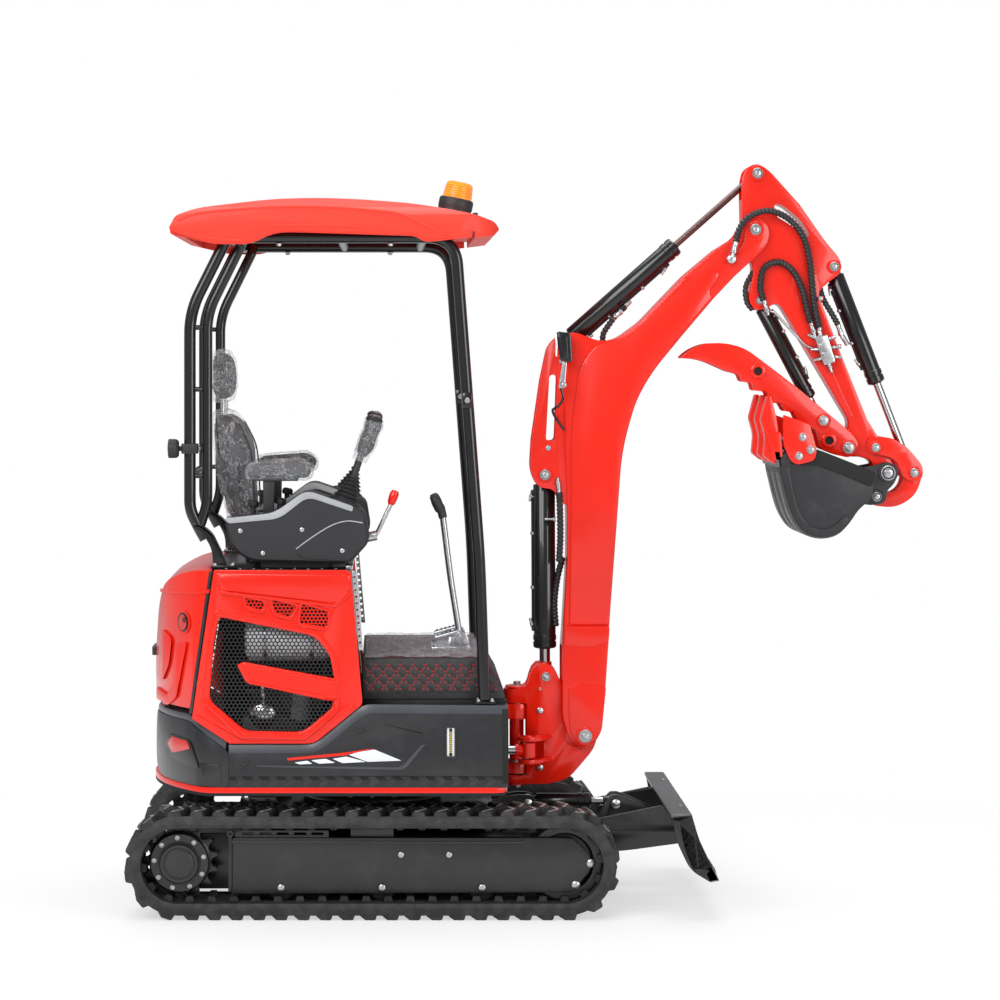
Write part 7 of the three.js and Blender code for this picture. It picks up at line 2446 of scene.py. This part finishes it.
class EXCAVATOR_OT_controls(bpy.types.Operator):
    """Consoles, armrests, joysticks, travel levers and the blade lever"""

    bl_idname = "excavator.controls"
    bl_label = "Controls"

    def execute(self, context):
        both_sides(self.console)
        both_sides(self.armrest)
        both_sides(self.joystick)
        self.blade_lever()
        self.travel_levers()
        return {"FINISHED"}

    def console(self, side, flip):
        s = Shape()
        s.loft([(shrunk(CONSOLE, 8), -430), (CONSOLE, -422), (CONSOLE, -278),
                (shrunk(CONSOLE, 8), -270)], steps=10)
        # pale upper shell along the top edge
        shell = [(-478, 1284, 14), (-316, 1301, 30), (-212, 1376, 30), (-60, 1323, 10),
                 (-64, 1306, 6), (-208, 1354, 30), (-300, 1283, 30), (-462, 1268, 8)]
        s.plate(shell, -432.5, -268, edge=3, finish=1)
        # belly line and screws
        line = flowing([(-245, -431, 1186), (-190, -432, 1226), (-130, -432, 1262),
                        (-80, -432, 1276), (-30, -431, 1270)], 14)
        s.tube(line, 2.2, 1, 8)
        line = flowing([(-245, -431, 1186), (-236, -431, 1166), (-200, -431, 1156),
                        (-90, -431, 1150)], 14)
        s.tube(line, 1.8, 0, 8)
        for x, z in ((-425, 1244), (-226, 1248), (-352, 1172), (-96, 1180)):
            s.turned([(0, 0), (7, 0), (7, 1.4), (4, 2.6), (0, 2.6)], (x, -430, z), (0, -1, 0), 20,
                     2)
        s.block((-360, -140), (-400, -300), (HOOD + 0.5, 1160), 4)
        s.plate([(-352, 1290), (-320, 1290), (-318, 1405, 6), (-354, 1405, 6)], -385, -330,
                edge=3)
        s.block((-390, -240), (-390, -320), (1403, 1411), 2)
        for x in (-120, -60):
            s.turned([(0, 0), (9, 0), (9, 6), (7, 10), (0, 10)], (x, -300, 1330 - 0.35 * (x + 120)),
                     (0.3, 0, 1), 20, 0)
        # knobs under the armrest
        for x, z in ((-388, 1322), (-300, 1330)):
            s.rod((x, -350, z - 36), (x, -350, z), 9, 0)
            s.turned([(0, 0), (16, 0), (19, 5), (19, 16), (13, 22), (0, 22)], (x, -350, z - 4),
                     (0.2, 0, 1), 9, 0)
        s.piece(f"control_console_{side}", "house", ["plastic", "grey", "zinc"],
                [f"console_{side}"], "black_plastic", flip=flip)

    def armrest(self, side, flip):
        s = Shape()
        outline = [(-406, 1413, 14), (-204, 1413, 24), (-194, 1448, 30), (-230, 1471, 36),
                   (-396, 1458, 24)]
        s.loft([(shrunk(outline, 9), -399), (outline, -389), (outline, -321),
                (shrunk(outline, 9), -311)], steps=8)
        s.piece(f"arm_pad_{side}", "house", ["vinyl"], [f"armrest_{side}"], "black_vinyl",
                flip=flip)

    def joystick(self, side, flip):
        s = Shape()
        at, lean = Vector((-92, -350, 1325)), Vector((0.35, 0, 1)).normalized()
        s.turned([(0, 4), (54, 4), (54, 12), (50, 16), (0, 16)], at, lean, 40, 0)
        profile = [(0, 12), (50, 12)]
        for k in range(6):
            z, r = 16 + 13 * k, 47 - 5.6 * k
            profile += [(r, z), (r - 7, z + 5), (r - 7, z + 8), (r - 2, z + 12)]
        profile += [(13, 100), (0, 100)]
        s.turned(profile, at, lean, 36, 0)
        s.rod(at + lean * 90, at + lean * 180, 11, 0)
        grip = []
        for k in range(13):
            t = k / 12
            grip.append(at + lean * (170 + 118 * t) + Vector((7 * math.sin(2.6 * t), 0, 0)))
        shape = (15, 19, 23, 25.5, 26, 25, 23.5, 22.5, 23.5, 26, 28, 27, 20)
        s.tube(grip, 1, 0, 24, swell=lambda i: shape[i])
        top = at + lean * 286 + Vector((3, 0, 0))
        s.turned([(0, 0), (27, 0), (28, 6), (24, 14), (14, 19), (0, 20)], top, (0.25, 0, 1), 30, 0)
        for x, y in ((-9, -8), (-9, 8), (8, 0)):
            s.disc(top + Vector((x, y, 15)), (0.25, 0, 1), 5, 5, 1, 1, 16)
        s.block((at.x + 88, at.x + 100), (-356, -344), (1530, 1560), 3, 1)
        s.piece(f"joystick_grip_{side}", "house", ["plastic", "red_lens"],
                [f"joystick_{side}"], "black_plastic", flip=flip)
        film = Shape()
        film.tube([at + lean * 150, *grip[1:], top + Vector((5, 0, 22))], 1, 0, 28,
                  swell=lambda i: (20, *shape[1:], 12)[min(i, 13)] + 6)
        for v in film.bm.verts:
            v.co += Vector((v.co.x - at.x - 80, v.co.y + 350, 0)).normalized() * (
                4 * noise.noise(v.co * 0.06) + 1.5 * noise.noise(v.co * 0.2))
        film.piece(f"grip_film_{side}", "house", ["film"], (), "black_vinyl", flip=flip)

    def blade_lever(self):
        s = Shape()
        s.rod((-20, -300, 1215), (14, -300, 1222), 16, 0)
        s.tube(bent([(8, -300, 1218), (18, -300, 1234), (62, -300, 1326)], 20), 7, 0, 16)
        s.turned([(0, 0), (9, 0), (13, 8), (15, 22), (15, 38), (11, 48), (0, 50)],
                 (60, -300, 1322), (0.35, 0, 1), 28, 1)
        s.piece("blade_control", "house", ["zinc", "red"], ["blade_lever"], "black_paint")

    def travel_levers(self):
        s = Shape()
        base = 830.3
        s.block((196, 326), (-120, 120), (base + 0.2, base + 8), 2, 1)
        for y in (-100, 100):
            s.bolt((208, y, base + 8), (0, 0, 1), 7, 2)
            s.bolt((316, y, base + 8), (0, 0, 1), 7, 2)
            s.plate([(256, base + 6), (324, base + 6), (316, base + 50, 20), (284, base + 66, 24),
                     (262, base + 40, 12)], y - 5, y + 5, edge=1.5, finish=1)
        s.rod((290, -118, base + 34), (290, 118, base + 34), 15, 1)
        for y in (-60, 60):
            s.turned([(15, -20), (24, -20), (24, 20), (15, 20), (15, -20)],
                     (290, y, base + 34), (0, 1, 0), 32, 1)
            s.tube(bent([(292, y, base + 40), (262, y, 1060), (234, y, 1282), (226, y, 1300)],
                        40), 10, 2, 18)
            s.tube([(236, y, 1266), (232, y, 1284), (228, y, 1302)], 14, 0, 20)
            s.turned([(0, 0), (12, 0), (17, 10), (18, 34), (16, 52), (10, 60), (0, 61)],
                     (229, y, 1286), (-0.45, 0, 1), 28, 0)
            s.plate([(210, base + 30), (290, base + 52), (286, base + 64, 8), (206, base + 42, 8)],
                    y * 85 / 60 - 30, y * 85 / 60 + 30, edge=2, finish=1)
            for k in range(5):
                x = 216 + 14 * k
                s.block((x, x + 5), (y * 85 / 60 - 26, y * 85 / 60 + 26),
                        (base + 44 + 3.8 * k, base + 48 + 3.8 * k), 1, 0)
        s.piece("travel_controls", "house", ["plastic", "bright", "zinc"], ["travel_levers"],
                "black_plastic")


# ---------------------------------------------------------------- hoses
RIB_PITCH = 13
RIB = (0.84, 1.04, 1.16, 1.04)  # swelling of a hose along one rib


def ribbed(points, radius, shape):
    """Hose in a spiral guard."""
    return shape.tube(flowing(points, RIB_PITCH / len(RIB)), radius, 0, 14,
                      swell=lambda i: RIB[i % len(RIB)])


def end_fitting(shape, at, way, size, finish=1):
    """Crimped sleeve, nut and neck of a hose end, from the hose outwards."""
    at, way = Vector(at), Vector(way).normalized()
    shape.turned([(0, 0), (size, 0), (1.08 * size, 2), (1.08 * size, 14), (0.9 * size, 16),
                  (1.04 * size, 19), (1.04 * size, 30), (0, 30)], at, way, 24, finish)
    shape.bolt(at + way * 30, way, 1.3 * size, finish, washer=False, height=12)
    shape.turned([(0, 0), (0.7 * size, 0), (0.7 * size, 12), (0, 12)], at + way * 42, way, 20,
                 finish)


class EXCAVATOR_OT_hoses(bpy.types.Operator):
    """Hydraulic hoses, their fittings and the valve block on the arm"""

    bl_idname = "excavator.hoses"
    bl_label = "Hoses"

    def execute(self, context):
        r = settings().size.hose / MM
        self.over_elbow(r)
        self.on_arm(r)
        self.on_boom(r)
        return {"FINISHED"}

    def over_elbow(self, r):
        """Hose from the boom to the arm, bent between both."""
        y = -96
        s = Shape()
        ribbed([(1212, y, 2186), (1222, y, 2226), (1246, y - 2, 2262), (1286, y - 2, 2286),
                (1336, y + 4, 2290), (1396, y + 22, 2262), (1441, y + 32, 2206),
                (1463, y + 34, 2124), (1472, y + 34, 2034), (1481, y + 34, 1962),
                (1495, y + 32, 1902)], r, s)
        hose = s.piece("elbow_hose", None, ["hose"], (), "track_rubber")
        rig.blend(hose, "boom", "arm", start=TO_FRAME @ Vector((1216, y, 2210)),
                 end=TO_FRAME @ Vector((1392, y, 2264)))
        s = Shape()
        end_fitting(s, (1213, y, 2190), (-0.26, 0, -1), 9, 0)
        s.turned([(0, 0), (15, 0), (17, 3), (17, 12), (14, 18), (8, 21), (0, 21)],
                 (1198, -78, 2131), (0, -1, 0), 28, 0)
        s.rod((1199, -90, 2133), (1204, y, 2148), 8, 0)
        s.piece("elbow_fitting", "boom", ["zinc"], (), "steel")

    def on_arm(self, r):
        y = -62
        s = Shape()
        ribbed([(1308, y, 1992), (1298, y, 2040), (1310, y, 2100), (1358, y - 2, 2122),
                (1404, y - 2, 2094), (1436, y, 2034), (1454, y, 1962), (1466, y, 1918)], r, s)
        end_fitting(s, (1309, y, 1996), (0.3, 0, -1), 8)
        end_fitting(s, (1465, y, 1924), (0.3, 0, -1), 8)
        end_fitting(s, (1494, y, 1908), (0.12, 0, -1), 8)
        s.tube(bent([(1330, -54, 1958), (1345, -52, 1956), (1450, -52, 1842), (1490, -54, 1826)],
                    20), 4.5, 1, 12)
        # valve block with its ports
        s.plate([(1478, 1872, 6), (1520, 1880, 6), (1548, 1788, 6), (1510, 1776, 6)], -72, -46,
                edge=3, finish=1)
        for x, z, way, size in (
                (1486, 1866, (-0.9, 0, 0.4), 9), (1500, 1842, (0, -1, 0), 12),
                (1520, 1862, (0.9, -0.2, 0.3), 9), (1512, 1812, (0, -1, 0), 13),
                (1506, 1800, (-1, 0, -0.2), 9), (1536, 1806, (1, 0, -0.1), 9),
                (1526, 1784, (0.35, 0, -1), 11), (1496, 1830, (-1, -0.3, 0), 8),
                (1532, 1836, (0.8, -0.6, 0), 8)):
            fitting(s, (x, -60, z), way, 0.72 * size)
        # short hoses inside the arm's fork
        ribbed([(1500, -20, 2048), (1512, -34, 2000), (1540, -40, 1950), (1562, -36, 1912)],
               0.9 * r, s)
        end_fitting(s, (1560, -36, 1916), (0.35, 0.1, -1), 8)
        s.rod((1576, -30, 1876), (1596, -18, 1846), 8, 1)
        ribbed([(1278, -30, 2092), (1252, -34, 2040), (1256, -30, 1990), (1276, -26, 1962)],
               0.8 * r, s)
        s.piece("arm_hoses", "arm", ["hose", "zinc"], (), "track_rubber")

    def on_boom(self, r):
        s = Shape()
        ribbed([(772, -20, 1852), (776, -24, 1884), (796, -26, 1916), (812, -24, 1938)],
               0.9 * r, s)
        end_fitting(s, (806, -24, 1930), (0.72, 0, 0.7), 8)
        s.bolt((836, -24, 1962), (0.72, 0, 0.7), 11, 2, washer=False, height=18)
        s.rod((848, -22, 1974), (866, -10, 1992), 8, 1)
        ribbed([(624, -66, 1352), (627, -68, 1290), (628, -68, 1200), (624, -66, 1120)],
               r, s)
        end_fitting(s, (624, -66, 1346), (-0.1, 0, 1), 8)
        s.bolt((612, -70, 1262), (-1, 0, 0), 8, 1)
        s.rod((575, -66, 1262), (612, -69, 1262), 4, 1)
        # hoses that leave the house and climb the back of the boom
        for y in (-16, 16):
            ribbed([(640, y, 1130), (622, y, 1060), (612, y * 1.4, 980), (616, y * 1.6, 900)],
                   0.9 * r, s)
        s.piece("boom_hoses", "boom", ["hose", "zinc", "black"], (), "track_rubber")


# ---------------------------------------------------------------- stage
CAMERA_X = 0.0416  # camera in front of the slewing axis
CAMERA_SHIFT = (0.115, -0.145)
AIM = Vector((0, 0, 1.1))  # where the softboxes point


class EXCAVATOR_OT_stage(bpy.types.Operator):
    """Floor, backdrop light, softboxes and camera"""

    bl_idname = "excavator.stage"
    bl_label = "Stage"

    def execute(self, context):
        scene = context.scene
        stage = settings().stage
        scene.view_settings.view_transform = "Standard"
        self.floor()
        self.world(scene)
        self.softbox("key", (-3.4, -5.2, 4.6), (5.0, 3.2), stage.light)
        self.softbox("fill", (4.6, -5.0, 2.6), (3.2, 3.2), 0.5 * stage.light)
        self.softbox("top", (-0.2, 0.6, 6.0), (5.0, 4.0), 0.75 * stage.light)
        self.softbox("back", (-1.5, 6.2, 4.6), (5.0, 3.0), 0.4 * stage.light, mirrored=False)
        data = bpy.data.cameras.new("camera")
        camera = linked("camera", data)
        camera.location = (SHIFT_X + CAMERA_X, -stage.distance, stage.height)
        camera.rotation_euler = (math.radians(90), 0, 0)
        data.lens = stage.lens
        data.sensor_width = 36
        data.shift_x, data.shift_y = CAMERA_SHIFT
        data.clip_end = 200
        scene.camera = camera
        return {"FINISHED"}

    def floor(self):
        bm = bmesh.new()
        bmesh.ops.create_grid(bm, x_segments=1, y_segments=1, size=60)
        floor = mesh_object("floor", bm)
        s = Shader("floor")
        seen = s.node("LightPath", output="Is Camera Ray")
        shine = s.node("LightPath", output="Is Glossy Ray")
        pale = s.node("BsdfDiffuse", None, {"Color": (0.82, 0.82, 0.82, 1)})
        white = s.node("Emission", None, {"Color": (1, 1, 1, 1), "Strength": 1.0})
        # the floor turns plain white away from the machine's own shadow
        x, y, _ = s.axes()
        far = s.node("Math", {"operation": "SQRT"},
                     {0: (x * 0.8) * (x * 0.8) + y * y}).within(1.1, 2.6)
        share = seen * (1 - far * 0.42) + shine * 0.25
        mixed = s.node("MixShader", None, {0: share, 1: pale, 2: white})
        s.tree.links.new(mixed.socket, s.end.inputs["Surface"])
        floor.data.materials.append(s.material)
        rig.stage(floor)

    def world(self, scene):
        world = bpy.data.worlds.new("studio")
        scene.world = world
        world.use_nodes = True
        tree = world.node_tree
        tree.nodes.clear()
        seen = tree.nodes.new("ShaderNodeLightPath")
        soft = tree.nodes.new("ShaderNodeBackground")
        soft.inputs["Color"].default_value = (0.9, 0.92, 0.95, 1)
        soft.inputs["Strength"].default_value = 0.42
        white = tree.nodes.new("ShaderNodeBackground")
        white.inputs["Color"].default_value = (1, 1, 1, 1)
        mixed = tree.nodes.new("ShaderNodeMixShader")
        out = tree.nodes.new("ShaderNodeOutputWorld")
        tree.links.new(seen.outputs["Is Camera Ray"], mixed.inputs[0])
        tree.links.new(soft.outputs[0], mixed.inputs[1])
        tree.links.new(white.outputs[0], mixed.inputs[2])
        tree.links.new(mixed.outputs[0], out.inputs["Surface"])

    def softbox(self, name, place, size, power, mirrored=True):
        data = bpy.data.lights.new(name, "AREA")
        data.shape = "RECTANGLE"
        data.size, data.size_y = size
        data.energy = power
        light = linked(name, data)
        light.location = place
        light.visible_glossy = mirrored
        light.rotation_euler = (AIM - Vector(place)).to_track_quat("-Z", "Y").to_euler()


# ---------------------------------------------------------------- panel and running order
class EXCAVATOR_PT_panel(bpy.types.Panel):
    bl_label = "Mini excavator"
    bl_idname = "EXCAVATOR_PT_panel"
    bl_space_type = "VIEW_3D"
    bl_region_type = "UI"
    bl_category = "Excavator"

    def draw(self, context):
        for operator in OPERATORS:
            self.layout.operator(operator.bl_idname)
        for group in (settings().paint, settings().size, settings().stage):
            column = self.layout.column()
            for name in group.bl_rna.properties.keys():
                if name not in ("rna_type", "name"):
                    column.prop(group, name)


OPERATORS = [c for c in list(globals().values())
             if isinstance(c, type) and issubclass(c, bpy.types.Operator)]
CLASSES = [PaintSettings, SizeSettings, StageSettings, ExcavatorSettings, *OPERATORS,
           EXCAVATOR_PT_panel]


def register():
    for cls in CLASSES:
        bpy.utils.register_class(cls)
    bpy.types.Scene.excavator = bpy.props.PointerProperty(type=ExcavatorSettings)


def unregister():
    del bpy.types.Scene.excavator
    for cls in reversed(CLASSES):
        bpy.utils.unregister_class(cls)


def main():
    register()
    for operator in OPERATORS:
        group, name = operator.bl_idname.split(".")
        getattr(getattr(bpy.ops, group), name)()
    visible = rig.bounds()
    with open("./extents.json", "w") as file:
        json.dump({"cad": [list(v) for v in CAD_BOX], "visual": [list(v) for v in visible]}, file)


if __name__ == "__main__":
    main()
